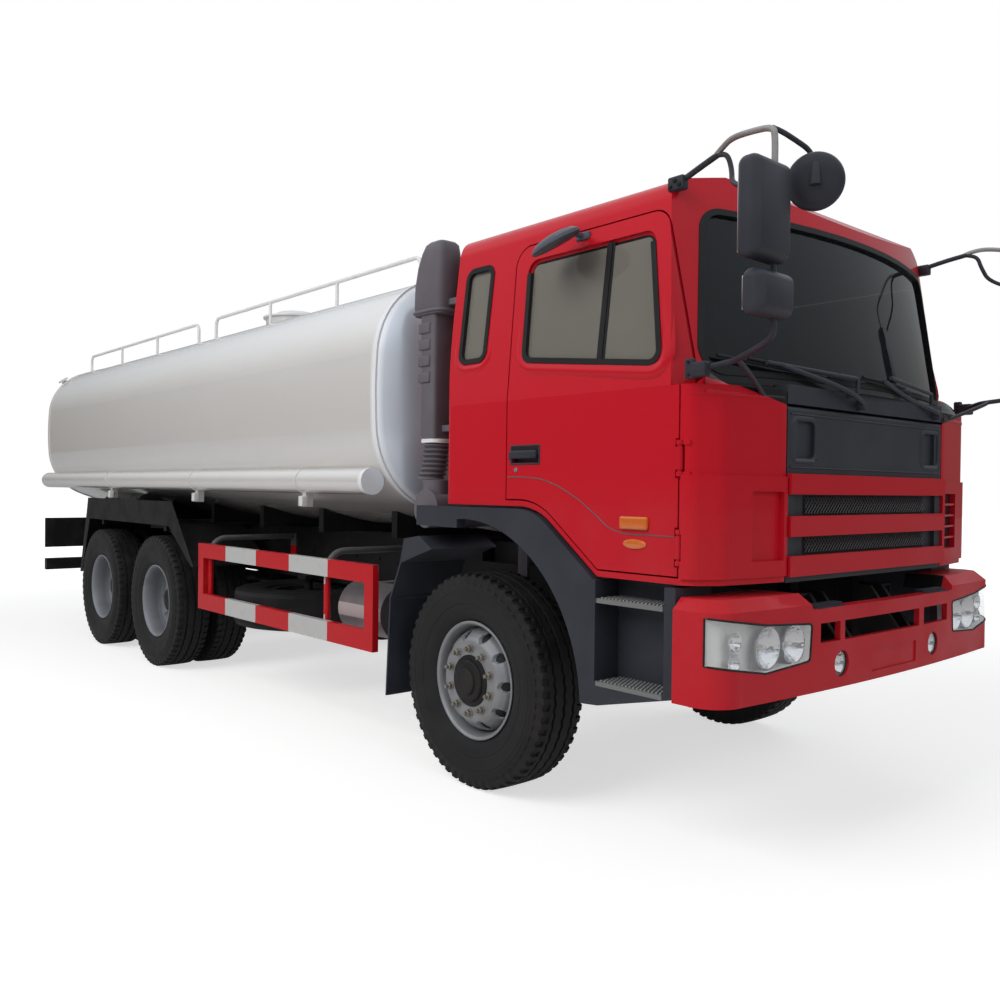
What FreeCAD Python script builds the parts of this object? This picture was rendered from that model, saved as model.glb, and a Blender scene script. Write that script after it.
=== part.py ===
import FreeCAD, Part
import math
import os

# Tanker truck: three axles, flat-roofed tilting cab and a rounded box-section tank.
# Millimetres. X runs forward from the front axle while the pieces are made, Y to the truck's
# left, Z up from the ground. At the end the whole truck is moved so that X = 0 is the middle
# of its length.

V = FreeCAD.Vector
ORIGIN = V(0, 0, 0)
AXIS_X = V(1, 0, 0)
AXIS_Y = V(0, 1, 0)
AXIS_Z = V(0, 0, 1)

# Clearances
SEAT_GAP = 0.3
RUNNING_GAP = 0.05
MOVING_GAP = 8.0
OVERRUN = 20.0

# Wheels
TYRE_RADIUS = 542.5
TYRE_WIDTH = 293.0
BEAD_RADIUS = 254.0
FLANGE_RADIUS = 298.5
RIM_WIDTH = 229.0
RIM_WALL = 12.0
DISC_THICKNESS = 14.0
DISC_OFFSET = 166.0
HUB_BORE_RADIUS = 60.0
HUB_RADIUS = 105.0
HUB_CAP_LENGTH = 95.0
DRUM_RADIUS = 215.0
DRUM_WIDTH = 190.0
FRONT_DRUM_WIDTH = 125.0
DRUM_WALL = 16.0
HAND_HOLE_RADIUS = 24.0
HAND_HOLE_CIRCLE = 207.0
HAND_HOLE_COUNT = 10
DISC_FLAT_RADIUS = 173.0

# Axle places
WHEELBASE = 4100.0
TANDEM_SPACING = 1350.0
FRONT_WHEEL_Y = 1040.0
REAR_WHEEL_Y = 933.0
TWIN_SPACING = 340.0

# Front axle and steering
KINGPIN_Y = 850.0
KINGPIN_RADIUS = 25.0
KINGPIN_HEIGHT = 250.0
BEAM_EYE_RADIUS = 50.0
BEAM_EYE_HEIGHT = 130.0
BEAM_DROP = 95.0
BEAM_WIDTH = 90.0
BEAM_DEPTH = 110.0
BEAM_BEND_Y = 620.0
BEAM_FLUTE = 28.0
LUG_HEIGHT = 45.0
LUG_GAP = 6.0
SPINDLE_ROOT_RADIUS = 75.0
STEER_ARM_LENGTH = 200.0
STEER_ARM_THICKNESS = 34.0
STEER_ARM_DROP = 20.0
TIE_ROD_RADIUS = 18.0
TIE_PIN_RADIUS = 11.0
TIE_EYE_RADIUS = 28.0

# Leaf springs
FRONT_SPRING_Y = 420.0
LEAF_WIDTH = 80.0
LEAF_THICKNESS = 12.0
FRONT_LEAF_COUNT = 7
FRONT_SPRING_LENGTH = 1500.0
SPRING_CAMBER = 90.0
REAR_SPRING_Y = 520.0
REAR_LEAF_COUNT = 9

# Rear axles
CASING_RADIUS = 75.0
DIFF_RADIUS = 225.0
DIFF_WIDTH = 230.0
SHAFT_RADIUS = 45.0
SHAFT_HEIGHT = 640.0

# Chassis frame
FRAME_TOP = 1060.0
FRAME_FRONT_X = 1380.0
FRAME_REAR_X = -7150.0
RAIL_OUTER_Y = 430.0
RAIL_FACE_Y = RAIL_OUTER_Y + SEAT_GAP
RAIL_HEIGHT = 280.0
RAIL_FLANGE = 80.0
RAIL_WALL = 10.0
CROSS_WIDTH = 90.0
CROSS_SHARES = (0.10, 0.24, 0.42, 0.56, 0.70)
COUPLING_SPACING_Y = 160.0
COUPLING_SPACING_Z = 100.0
COUPLING_HOLE_RADIUS = 10.5
SUBFRAME_HEIGHT = 130.0
SUBFRAME_WIDTH = 70.0
SADDLE_COUNT = 7
SADDLE_THICKNESS = 60.0
SADDLE_Y = 780.0

# Tank
TANK_FRONT_X = -800.0
TANK_REAR_X = -7150.0
TANK_HALF_WIDTH = 1235.0
TANK_HALF_HEIGHT = 827.5
TANK_CENTRE_Z = 2058.0
TANK_WALL = 6.0
TANK_TOP_ARC = 2400.0
TANK_SIDE_ARC = 3000.0
TANK_CORNER_ARC = 500.0
DOME_DEPTH = 190.0
BEAD_PROUD = 7.0
BEAD_LENGTH = 26.0
MANHOLE_X = -4000.0
MANHOLE_RADIUS = 260.0
MANHOLE_NECK_HEIGHT = 130.0
MANHOLE_DEPTH = 300.0
MANHOLE_WALL = 8.0
LID_RADIUS = 285.0
LID_THICKNESS = 14.0
LID_DOME = 45.0
LID_PIN_RADIUS = 10.0

# Outlet under the tank's rear end
OUTLET_X = -6900.0
OUTLET_DROP = 70.0
OUTLET_PIPE_RADIUS = 60.0
OUTLET_BORE_RADIUS = 50.0
OUTLET_FLANGE_RADIUS = 100.0
OUTLET_FLANGE = 18.0
OUTLET_DEPTH = 200.0
OUTLET_CIRCLE = 80.0
OUTLET_HOLE_RADIUS = 9.0
OUTLET_HOLE_COUNT = 8

# Tank rails
RAIL_TUBE_RADIUS = 13.0
RAIL_Y = 850.0
RAIL_TOP_Z = 2890.0
RAIL_REAR_RUN_X = (-6970.0, -4130.0)
RAIL_FRONT_RUN_X = (-3780.0, -900.0)
RAIL_CORNER = 60.0
RAIL_MID_POSTS = 2

# Hose tubes
HOSE_TUBE_RADIUS = 78.0
HOSE_TUBE_Y = 1200.0
HOSE_TUBE_Z = 1545.0
HOSE_TUBE_REAR_X = -7250.0
HOSE_TUBE_FRONT_X = -866.0
HOSE_RING_PROUD = 5.0
HOSE_RING_LENGTH = 14.0
HOSE_RING_SHARES = (0.32, 0.62, 0.88)
HOSE_LAMP_SIZE = 50.0
HOSE_LAMP_HEIGHT = 85.0

# Side guards
GUARD_REAR_X = -3280.0
GUARD_FRONT_X = -851.0
GUARD_TOP = 1066.0
GUARD_BOTTOM = 566.0
GUARD_Y = 1200.0
GUARD_FRAME = 40.0
GUARD_TOP_BAR = 108.0
GUARD_LOW_BAR = 119.0
GUARD_END = 92.0
GUARD_POSTS_X = (-3190.0, -1460.0)
GUARD_ARM_RADIUS = 21.0

# Rear mudguards
MUDGUARD_REAR_X = -6080.0
MUDGUARD_FRONT_X = -3310.0
MUDGUARD_TOP_REAR_X = -5850.0
MUDGUARD_TOP_FRONT_X = -3760.0
MUDGUARD_TOP = 1375.0
MUDGUARD_SHEET_Z = 1180.0
MUDGUARD_REAR_BOTTOM = 640.0
MUDGUARD_FRONT_BOTTOM = 880.0
MUDGUARD_INNER_Y = 600.0
MUDGUARD_OUTER_Y = 1225.0
MUDGUARD_WALL = 5.0
MUDGUARD_LIP = 55.0

# Cab body
CAB_REAR_X = -200.0
CAB_FRONT_X = 1490.0
CAB_SIDE_Y = 1200.0
CAB_BOTTOM_REAR = 1430.0
CAB_BOTTOM_FRONT = 1140.0
CAB_SHOULDER = 1930.0
CAB_ROOF = 2880.0
CAB_LEAN = 95.0
CAB_ROOF_EDGE_Y = 1075.0
CAB_ROOF_EDGE_Z = 2720.0
CAB_EDGE_RISE = 75.0
CAB_CROWN_Y = 500.0
CAB_CROWN_RISE = 10.0
CAB_ROOF_ROUND = 130.0
CAB_ROOF_DROP = 85.0
CAB_ROOF_CREST_X = 900.0
CAB_BROW_X = 1230.0
CAB_BROW_DROP = 25.0
CAB_BROW_FRONT_X = 1410.0
CAB_BROW_FRONT_Z = 2730.0
CAB_WALL = 50.0
CAB_CORNER_ROUND = 60.0
CAB_ARCH_REAR_X = 505.0
CAB_ARCH_FRONT_X = 885.0
CAB_SILL_ROUND = 350.0
SCREEN_CENTRE_X = 1515.0
SCREEN_CORNER_X = 1270.0
SCREEN_RAKE = 150.0
PANEL_FLAT_Y = 750.0
PANEL_CORNER_X = 1365.0
PANEL_MID_Y = 1080.0
PANEL_MID_X = 1440.0
PANEL_ROUND = 140.0
CORNER_PROUD = 12.0
CORNER_TOP = 1575.0
CORNER_BOTTOM = 1165.0
CORNER_EDGE = 14.0
POCKET_TOP = 1512.0
POCKET_BOTTOM = 1230.0
POCKET_INNER_Y = 745.0
POCKET_OUTER_Y = 930.0
POCKET_DEPTH = 26.0

# Windscreen opening, seen from the front
SCREEN_BOTTOM = 1985.0
SCREEN_BOTTOM_Y = 1085.0
SCREEN_TOP = 2690.0
SCREEN_TOP_Y = 985.0
SCREEN_ROUND = 110.0
SEAL_WIDTH = 26.0
SEAL_PROUD = 5.0
SEAL_DEPTH = 24.0
GLASS_DEPTH = 14.0
GLASS_THICKNESS = 6.0

# Doors, seen from the side
DOOR_REAR_X = 285.0
DOOR_REAR_TOP_X = 250.0
DOOR_TOP = 2675.0
DOOR_TOP_FRONT_X = 1185.0
DOOR_FRONT_X = 1320.0
DOOR_WAIST = 1930.0
DOOR_BOTTOM = 1165.0
DOOR_ROUND = 100.0
DOOR_GAP = 7.0
DOOR_SKIN = 16.0
DOOR_REBATE = 26.0
DOOR_THICKNESS = 60.0
DOOR_WINDOW_REAR_X = 365.0
DOOR_WINDOW_TOP_REAR_X = 345.0
DOOR_WINDOW_FRONT_X = 1220.0
DOOR_WINDOW_TOP_FRONT_X = 1115.0
DOOR_WINDOW_REAR_BOTTOM = 2105.0
DOOR_WINDOW_FRONT_BOTTOM = 2010.0
DOOR_WINDOW_TOP = 2595.0
DOOR_DIVIDER_X = 870.0
DOOR_DIVIDER_WIDTH = 26.0
WINDOW_ROUND = 60.0
HANDLE_X = 420.0
HANDLE_Z = 1670.0
HANDLE_LENGTH = 190.0
HANDLE_HEIGHT = 75.0
HANDLE_DEPTH = 34.0
HINGE_PIN_RADIUS = 9.0
HINGE_HEIGHT = 90.0
HINGE_SHARES = (0.16, 0.62)
HINGE_BARREL_RADIUS = 14.0
HINGE_LUG_HEIGHT = 18.0
HINGE_LEAF = 46.0
QUARTER_REAR_X = -122.0
QUARTER_FRONT_X = 98.0
QUARTER_BOTTOM = 2135.0
QUARTER_TOP = 2630.0

# Front flap
FLAP_HALF_WIDTH = 712.0
FLAP_TOP = 1870.0
FLAP_BOTTOM = 1135.0
FLAP_THICKNESS = 36.0
FLAP_BAY_DEPTH = 90.0
FLAP_PIN_RADIUS = 8.0
FLAP_PIN_DEPTH = 60.0
SLAT_TOPS = (1588.0, 1412.0, 1246.0)
SLAT_HEIGHT = 86.0
SLAT_THICKNESS = 24.0
MESH_INSET_Y = 60.0
MESH_THICKNESS = 4.0
MESH_DEPTH = 18.0
GRIP_Y = 560.0
GRIP_WIDTH = 150.0
GRIP_HEIGHT = 170.0
GRIP_DEPTH = 16.0
GRIP_Z = 1730.0

# Cowl and wipers
COWL_HEIGHT = 110.0
COWL_DEPTH = 60.0
WIPER_PIVOTS_Y = (620.0, -230.0)
WIPER_RADIUS = 9.0
WIPER_LIFT = 30.0
WIPER_REACH = 560.0

# Mirrors
MIRROR_ARM_RADIUS = 13.0
MIRROR_BEND = 35.0
MIRROR_X = 1795.0
MIRROR_Y = 1360.0
MIRROR_TOP_Z = 2800.0
MIRROR_LOW_Z = 2010.0
MIRROR_HEIGHT = 375.0
MIRROR_WIDTH = 210.0
MIRROR_DEPTH = 75.0
WIDE_MIRROR_HEIGHT = 180.0
WIDE_MIRROR_GAP = 18.0
MIRROR_ROUND = 28.0
ROUND_MIRROR_RADIUS = 90.0
ROUND_MIRROR_DEPTH = 40.0
ROUND_MIRROR_X = 1870.0
ROUND_MIRROR_Y = 1150.0
ROUND_MIRROR_Z = 2600.0
MIRROR_FOOT_Z = 1975.0
KERB_MIRROR_X = 710.0
KERB_MIRROR_Y = 1275.0
KERB_MIRROR_Z = 2600.0
KERB_MIRROR_LENGTH = 160.0
KERB_MIRROR_WIDTH = 130.0
KERB_MIRROR_HEIGHT = 90.0

# Cab interior
FLOOR_THICKNESS = 40.0
SEAT_X = 300.0
SEAT_Y = 640.0
SEAT_WIDTH = 500.0
SEAT_LENGTH = 480.0
SEAT_CUSHION_HEIGHT = 130.0
SEAT_CUSHION_TOP = 1850.0
SEAT_BACK_HEIGHT = 610.0
SEAT_BACK_THICKNESS = 120.0
HEADREST_WIDTH = 280.0
HEADREST_HEIGHT = 170.0
HEADREST_THICKNESS = 90.0
DASH_TOP = 1960.0
DASH_BOTTOM = 1640.0
DASH_DEPTH = 280.0
STEERING_X = 960.0
STEERING_Z = 2020.0
STEERING_RADIUS = 235.0
STEERING_RIM_RADIUS = 15.0
STEERING_TILT = 62.0
COLUMN_RADIUS = 35.0
COLUMN_PIN_RADIUS = 12.0

# Cab tilt hinge
TILT_X = 1500.0
TILT_Z = 800.0
TILT_KNEE_X = 1235.0
TILT_KNEE_Z = 985.0
TILT_ARM_Y = 280.0
TILT_ARM_WIDTH = 70.0
TILT_EYE_RADIUS = 42.0
TILT_PIN_RADIUS = 20.0
TILT_EAR_THICKNESS = 24.0

# Front bumper
BUMPER_FRONT_X = 1600.0
BUMPER_REAR_X = 1335.0
BUMPER_HALF_WIDTH = 1250.0
BUMPER_TOP = 1095.0
BUMPER_BOTTOM = 685.0
BUMPER_EDGE_Z = 1050.0
BUMPER_EDGE_INSET = 50.0
BUMPER_BAR_TOP = 1030.0
BUMPER_MIDDLE_Y = 650.0
BUMPER_SHOULDER = 40.0
BUMPER_WALL = 26.0
BUMPER_FLANGE = 60.0
STAY_Z = 850.0
BUMPER_BOW = 45.0
BUMPER_ROUND = 150.0
LAMP_DEPTH = 150.0
LAMP_GAP = SEAT_GAP
LAMP_REAR_X = 1475.0
LAMP_ROUND = 18.0
LAMP_OUTLINE = ((655.0, 972.0), (668.0, 820.0), (960.0, 800.0), (1275.0, 853.0), (1275.0, 1035.0), (960.0, 990.0))
GRILLE_TOP = 968.0
GRILLE_BOTTOM = 886.0
GRILLE_SPANS = ((-594.0, -446.0), (-410.0, 272.0), (322.0, 594.0))
PLATE_Y = 30.0
PLATE_WIDTH = 420.0
PLATE_TOP = 820.0
PLATE_BOTTOM = 722.0
PLATE_RECESS = 9.0
FOG_Y = 430.0
FOG_Z = 785.0
FOG_RADIUS = 56.0
FOG_DEPTH = 70.0
PAD_Y = 500.0
PAD_WIDTH = 230.0
PAD_THICKNESS = 14.0
PAD_DEPTH = 42.0
PAD_EDGE = 36.0

# Arches and steps
ARCH_OUTER_Y = 1222.0
ARCH_INNER_Y = 1000.0
ARCH_WALL = 12.0
ARCH_GAP = 12.0
ARCH_RADIUS = 815.0
FLARE_INNER_Y = 1165.0
ARCH_TAIL_HEIGHT = 104.0
ARCH_LIP_X = -148.0
ARCH_LIP_Z = 1311.0
ARCH_TURN_X = -60.0
ARCH_TOE_X = 790.0
ARCH_REAR_X = -405.0
ARCH_FRONT_X = 840.0
ARCH_BOTTOM = 584.0
STEP_FRONT_X = 1325.0
STEP_BOTTOM = 690.0
STEP_DEPTH = 232.0
STEP_WALL = 8.0
STEP_HEEL_X = 917.0
STEP_HEEL_Z = 594.0
STAY_WIDTH = 60.0
TREAD_HEIGHTS = (1050.0, 697.0)
TREAD_REAR_X = 905.0
TREAD_FRONT_X = 1262.0
TREAD_DEPTH = 150.0
TREAD_THICKNESS = 20.0
GUARD_INNER_Y = 760.0
GUARD_WALL = 12.0
GUARD_CAP = ((-537.0, 1233.0), (-396.0, 1255.0), (-284.0, 1190.0), (-420.0, 1147.0))
GUARD_SHEET = ((-560.0, 1100.0), (-655.0, 900.0), (-687.0, 352.0))

# Things beside the frame
SILENCER_RADIUS = 165.0
SILENCER_LENGTH = 470.0
SILENCER_X = -1400.0
SILENCER_Y = 930.0
SILENCER_Z = 760.0
PIPE_RADIUS = 55.0
SPARE_X = -2650.0
SPARE_Y = 600.0
SPARE_Z = 620.0
SPARE_ARM_HEIGHT = 60.0
FUEL_TANK_REAR_X = -2650.0
FUEL_TANK_FRONT_X = -1560.0
FUEL_TANK_BOTTOM = 520.0
FUEL_TANK_TOP = 1010.0
FUEL_TANK_INNER_Y = 490.0
FUEL_TANK_OUTER_Y = 1130.0
FUEL_TANK_ROUND = 80.0
ENGINE_REAR_X = -1100.0
ENGINE_FRONT_X = 800.0
ENGINE_HALF_WIDTH = 330.0
ENGINE_BOTTOM = 600.0
ENGINE_TOP = 1180.0

# Snorkel and air intake
SNORKEL_X = -420.0
SNORKEL_BRACKET = 40.0
SNORKEL_Y = 1080.0
SNORKEL_TOP = 2830.0
SNORKEL_HEAD_BOTTOM = 2440.0
SNORKEL_HEAD_LENGTH = 230.0
SNORKEL_HEAD_WIDTH = 170.0
SNORKEL_DUCT_LENGTH = 130.0
SNORKEL_DUCT_WIDTH = 150.0
BELLOWS_TOP = 1770.0
BELLOWS_BOTTOM = 1560.0
BELLOWS_RADIUS = 72.0
BELLOWS_GROOVE = 10.0
BELLOWS_COUNT = 7
CLEANER_RADIUS = 105.0
CLEANER_LENGTH = 420.0
CLEANER_Z = 1400.0

# Rear underrun and panel
REAR_PANEL_X = -7340.0
REAR_PANEL_TOP = 1130.0
REAR_PANEL_BOTTOM = 810.0
REAR_BAR_TOP = 689.0
REAR_BAR_BOTTOM = 568.0
REAR_HALF_WIDTH = 1220.0
REAR_BAR_DEPTH = 80.0
REAR_PANEL_THICKNESS = 30.0
REAR_LAMP_WIDTH = 300.0
REAR_LAMP_HEIGHT = 110.0
REAR_LAMP_DEPTH = 40.0


def block(x0, x1, y0, y1, z0, z1):
    """Box between two corners."""
    return Part.makeBox(x1 - x0, y1 - y0, z1 - z0, V(x0, y0, z0))


def rod(start, end, radius):
    """Round bar between two points."""
    run = end - start
    return Part.makeCylinder(radius, run.Length, start, run)


def mirrored(shape):
    """The same shape on the other side of the centre plane."""
    return shape.mirror(ORIGIN, AXIS_Y)


def fused(shapes):
    """One shape from touching or overlapping ones, with merged faces."""
    shapes = list(shapes)
    if len(shapes) == 1:
        return shapes[0]
    return shapes[0].fuse(shapes[1:]).removeSplitter()


def corner_arcs(points, radii, closed=True):
    """Edges along points, each corner rounded to its radius."""
    count = len(points)
    if not isinstance(radii, (list, tuple)):
        radii = [radii] * count
    stops = []
    for i, point in enumerate(points):
        end = not closed and i in (0, count - 1)
        if end or radii[i] == 0:
            stops.append((point, None, point))
            continue
        back = (points[i - 1] - point).normalize()
        ahead = (points[(i + 1) % count] - point).normalize()
        half = back.getAngle(ahead) / 2
        reach = radii[i] / math.tan(half)
        middle = (back + ahead).normalize() * (radii[i] / math.sin(half) - radii[i])
        stops.append((point + back * reach, point + middle, point + ahead * reach))
    edges = []
    for i in range(count if closed else count - 1):
        start, arc, leave = stops[i]
        if arc is not None:
            edges.append(Part.Arc(start, arc, leave).toShape())
        following = stops[(i + 1) % count][0]
        if (following - leave).Length > RUNNING_GAP:
            edges.append(Part.makeLine(leave, following))
    return edges


def rounded_face(points, radii=0):
    """Flat face inside a closed outline with rounded corners."""
    return Part.Face(Part.Wire(corner_arcs(points, radii)))


def side_prism(outline, radii, y0, y1):
    """Outline of (x, z) points carried from y0 to y1."""
    face = rounded_face([V(x, y0, z) for x, z in outline], radii)
    return face.extrude(V(0, y1 - y0, 0))


def front_prism(outline, radii, x0, x1):
    """Outline of (y, z) points carried from x0 to x1."""
    face = rounded_face([V(x0, y, z) for y, z in outline], radii)
    return face.extrude(V(x1 - x0, 0, 0))


def plan_prism(outline, radii, z0, z1):
    """Outline of (x, y) points carried from z0 to z1."""
    face = rounded_face([V(x, y, z0) for x, y in outline], radii)
    return face.extrude(V(0, 0, z1 - z0))


def tube(points, radius, bend):
    """Round bar along straight runs joined by arcs."""
    pieces = []
    for edge in corner_arcs(points, bend, closed=False):
        start = edge.valueAt(edge.FirstParameter)
        end = edge.valueAt(edge.LastParameter)
        if isinstance(edge.Curve, Part.Circle):
            along = edge.tangentAt(edge.FirstParameter)
            disc = Part.Face(Part.Wire(Part.makeCircle(radius, start, along)))
            sweep = math.degrees(edge.Length / edge.Curve.Radius)
            centre = edge.Curve.Center
            pieces.append(disc.revolve(centre, (start - centre).cross(along), sweep))
        else:
            pieces.append(rod(start, end, radius))
    return fused(pieces)


def turned_y(profile, y0=0):
    """Closed outline of (radius, y) points turned about the Y axis."""
    face = Part.Face(Part.makePolygon([V(r, y0 + y, 0) for r, y in profile + profile[:1]]))
    return face.revolve(ORIGIN, AXIS_Y, 360)


def ring_of(shape, count, centre, axis):
    """Copies of a shape turned evenly round an axis."""
    copies = []
    for i in range(count):
        copy = shape.copy()
        copy.rotate(centre, axis, 360.0 * i / count)
        copies.append(copy)
    return copies


def moved(shape, x=0, y=0, z=0):
    """A copy moved by x, y and z."""
    copy = shape.copy()
    copy.translate(V(x, y, z))
    return copy


# Wheels. Each is made round the Y axis at the origin, its outer side towards +Y.

TYRE_PROFILE_SHARES = (
    (0.0, 0.68), (0.158, 0.68), (0.20, 0.84), (0.45, 0.98), (0.64, 1.0), (0.86, 0.92), (0.965, 0.84), (1.0, 0.68),
)


def tyre_ring():
    """Tyre section from its bead to its tread, turned about the axle."""
    height = TYRE_RADIUS - BEAD_RADIUS
    half = TYRE_WIDTH / 2
    outer = [(BEAD_RADIUS + r * height, y * half) for r, y in TYRE_PROFILE_SHARES]
    inner = [(r, -y) for r, y in reversed(outer)]
    return turned_y(outer + inner)


def rim_barrel():
    """Rim bed with a flange at each side."""
    half = RIM_WIDTH / 2
    seat = TYRE_WIDTH / 2 * TYRE_PROFILE_SHARES[0][1] + RUNNING_GAP
    bed = BEAD_RADIUS - RIM_WALL
    profile = [
        (bed, -half), (FLANGE_RADIUS, -half), (FLANGE_RADIUS, -half + RIM_WALL),
        (BEAD_RADIUS + RIM_WALL, -seat), (BEAD_RADIUS - RUNNING_GAP, -seat),
        (BEAD_RADIUS - RUNNING_GAP, seat), (BEAD_RADIUS + RIM_WALL, seat),
        (FLANGE_RADIUS, half - RIM_WALL), (FLANGE_RADIUS, half), (bed, half),
    ]
    return turned_y(profile)


def rim_disc(face_y):
    """Disc with a raised hub face at face_y, joined to the bed nearer the middle."""
    bed = BEAD_RADIUS - RIM_WALL / 2
    root_y = face_y - math.copysign(RIM_WIDTH / 4, face_y)
    profile = [
        (HUB_BORE_RADIUS + RIM_WALL, face_y - DISC_THICKNESS / 2),
        (HUB_BORE_RADIUS + RIM_WALL, face_y + DISC_THICKNESS / 2),
        (DISC_FLAT_RADIUS, face_y + DISC_THICKNESS / 2),
        (bed, root_y + DISC_THICKNESS / 2), (bed, root_y - DISC_THICKNESS / 2),
        (DISC_FLAT_RADIUS, face_y - DISC_THICKNESS / 2),
    ]
    disc = turned_y(profile)
    hole = Part.makeCylinder(HAND_HOLE_RADIUS, RIM_WIDTH, V(HAND_HOLE_CIRCLE, -RIM_WIDTH / 2, 0), AXIS_Y)
    return disc.cut(ring_of(moved(hole, y=face_y), HAND_HOLE_COUNT, ORIGIN, AXIS_Y))


def hub(y0, y1):
    """Hub barrel closed by a cap at y1, bored for its spindle."""
    body = Part.makeCylinder(HUB_RADIUS, y1 - y0, V(0, y0, 0), AXIS_Y)
    bore = Part.makeCylinder(HUB_BORE_RADIUS, y1 - y0 - RIM_WALL, V(0, y0, 0), AXIS_Y)
    return body.cut(bore)


def brake_drum(y0, y1):
    """Drum open at its inner end y0."""
    drum = Part.makeCylinder(DRUM_RADIUS, y1 - y0, V(0, y0, 0), AXIS_Y)
    inside = Part.makeCylinder(DRUM_RADIUS - DRUM_WALL, y1 - y0 - DRUM_WALL, V(0, y0, 0), AXIS_Y)
    bore = Part.makeCylinder(HUB_BORE_RADIUS, y1 - y0, V(0, y0, 0), AXIS_Y)
    return drum.cut([inside, bore])


FRONT_DISC_Y = RIM_WIDTH / 2 - RIM_WIDTH / 8
FRONT_DRUM_END = FRONT_DISC_Y - RIM_WIDTH / 4 - DISC_THICKNESS
FRONT_DRUM_START = FRONT_DRUM_END - FRONT_DRUM_WIDTH
REAR_DRUM_END = -RIM_WIDTH / 4 - DISC_THICKNESS * 2
REAR_DRUM_START = REAR_DRUM_END - DRUM_WIDTH


def front_rim():
    """Front rim with its disc near the outer flange, hub and drum."""
    cap_y = FRONT_DISC_Y + HUB_CAP_LENGTH
    parts = [rim_barrel(), rim_disc(FRONT_DISC_Y), hub(FRONT_DRUM_START + DRUM_WALL, cap_y),
             brake_drum(FRONT_DRUM_START, FRONT_DRUM_END)]
    return fused(parts)


def twin_rims():
    """Two rims back to back on one hub, the dished side of the outer one outwards."""
    half = TWIN_SPACING / 2
    outer = moved(fused([rim_barrel(), rim_disc(-half + DISC_THICKNESS / 2)]), y=half)
    inner = moved(fused([rim_barrel(), rim_disc(half - DISC_THICKNESS / 2)]), y=-half)
    parts = [outer, inner, hub(REAR_DRUM_START + DRUM_WALL, HUB_CAP_LENGTH + half / 2),
             brake_drum(REAR_DRUM_START, REAR_DRUM_END)]
    return fused(parts)


def set_on_axle(shape, x, y, side):
    """Put a wheel at its axle; side is 1 on the left and -1 on the right."""
    placed = shape.copy() if side > 0 else mirrored(shape)
    placed.translate(V(x, side * y, TYRE_RADIUS))
    return placed


def wheels(nodes):
    """Tyres and rims of the steered and driven wheels."""
    tyre = tyre_ring()
    pair = Part.Compound([moved(tyre, y=TWIN_SPACING / 2), moved(tyre, y=-TWIN_SPACING / 2)])
    single_rim = front_rim()
    twin_rim = twin_rims()
    places = {"mid": -WHEELBASE, "rear": -WHEELBASE - TANDEM_SPACING}
    for side_name, side in (("left", 1), ("right", -1)):
        nodes["tyre_front_" + side_name] = set_on_axle(tyre, 0, FRONT_WHEEL_Y, side)
        nodes["rim_front_" + side_name] = set_on_axle(single_rim, 0, FRONT_WHEEL_Y, side)
        for place, x in places.items():
            nodes["tyres_%s_%s" % (place, side_name)] = set_on_axle(pair, x, REAR_WHEEL_Y, side)
            nodes["rims_%s_%s" % (place, side_name)] = set_on_axle(twin_rim, x, REAR_WHEEL_Y, side)


# Front axle, steering and springs

LUG_RADIUS = BEAM_EYE_RADIUS
SPINDLE_RADIUS = HUB_BORE_RADIUS - RUNNING_GAP
SPINDLE_ROOT_Y = KINGPIN_Y + BEAM_EYE_RADIUS + LUG_GAP
TIE_ROD_X = -STEER_ARM_LENGTH
TIE_ROD_Z = TYRE_RADIUS - BEAM_EYE_HEIGHT / 2 - LUG_GAP - LUG_HEIGHT + STEER_ARM_DROP


def knuckle():
    """Left knuckle: two lugs round the kingpin, spindle and steering arm."""
    eye = BEAM_EYE_HEIGHT / 2 + LUG_GAP
    lugs = []
    for low in (eye, -eye - LUG_HEIGHT):
        lug = Part.makeCylinder(LUG_RADIUS, LUG_HEIGHT, V(0, KINGPIN_Y, low))
        plate = block(-LUG_RADIUS, LUG_RADIUS, KINGPIN_Y, SPINDLE_ROOT_Y + LUG_HEIGHT / 2, low, low + LUG_HEIGHT)
        lugs += [lug, plate]
    web = block(-LUG_RADIUS, LUG_RADIUS, SPINDLE_ROOT_Y, SPINDLE_ROOT_Y + LUG_HEIGHT / 2,
                -eye - LUG_HEIGHT, eye + LUG_HEIGHT)
    spindle_end = FRONT_WHEEL_Y + FRONT_DISC_Y + HUB_CAP_LENGTH - RIM_WALL - MOVING_GAP
    spindle = rod(V(0, SPINDLE_ROOT_Y, 0), V(0, spindle_end, 0), SPINDLE_RADIUS)
    arm_top = -eye - LUG_HEIGHT + STEER_ARM_THICKNESS
    arm = block(-STEER_ARM_LENGTH, 0, KINGPIN_Y - LUG_RADIUS, KINGPIN_Y + LUG_RADIUS, arm_top - STEER_ARM_THICKNESS,
                arm_top)
    end = Part.makeCylinder(LUG_RADIUS, STEER_ARM_THICKNESS, V(-STEER_ARM_LENGTH, KINGPIN_Y,
                                                              arm_top - STEER_ARM_THICKNESS))
    body = fused(lugs + [web, spindle, arm, end])
    bore = Part.makeCylinder(KINGPIN_RADIUS + RUNNING_GAP, KINGPIN_HEIGHT + OVERRUN,
                             V(0, KINGPIN_Y, -(KINGPIN_HEIGHT + OVERRUN) / 2))
    pin_low = arm_top - STEER_ARM_THICKNESS - TIE_EYE_RADIUS * 2
    pin = Part.makeCylinder(TIE_PIN_RADIUS, arm_top - pin_low, V(-STEER_ARM_LENGTH, KINGPIN_Y, pin_low))
    return moved(fused([body.cut(bore), pin]), z=TYRE_RADIUS)


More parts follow.
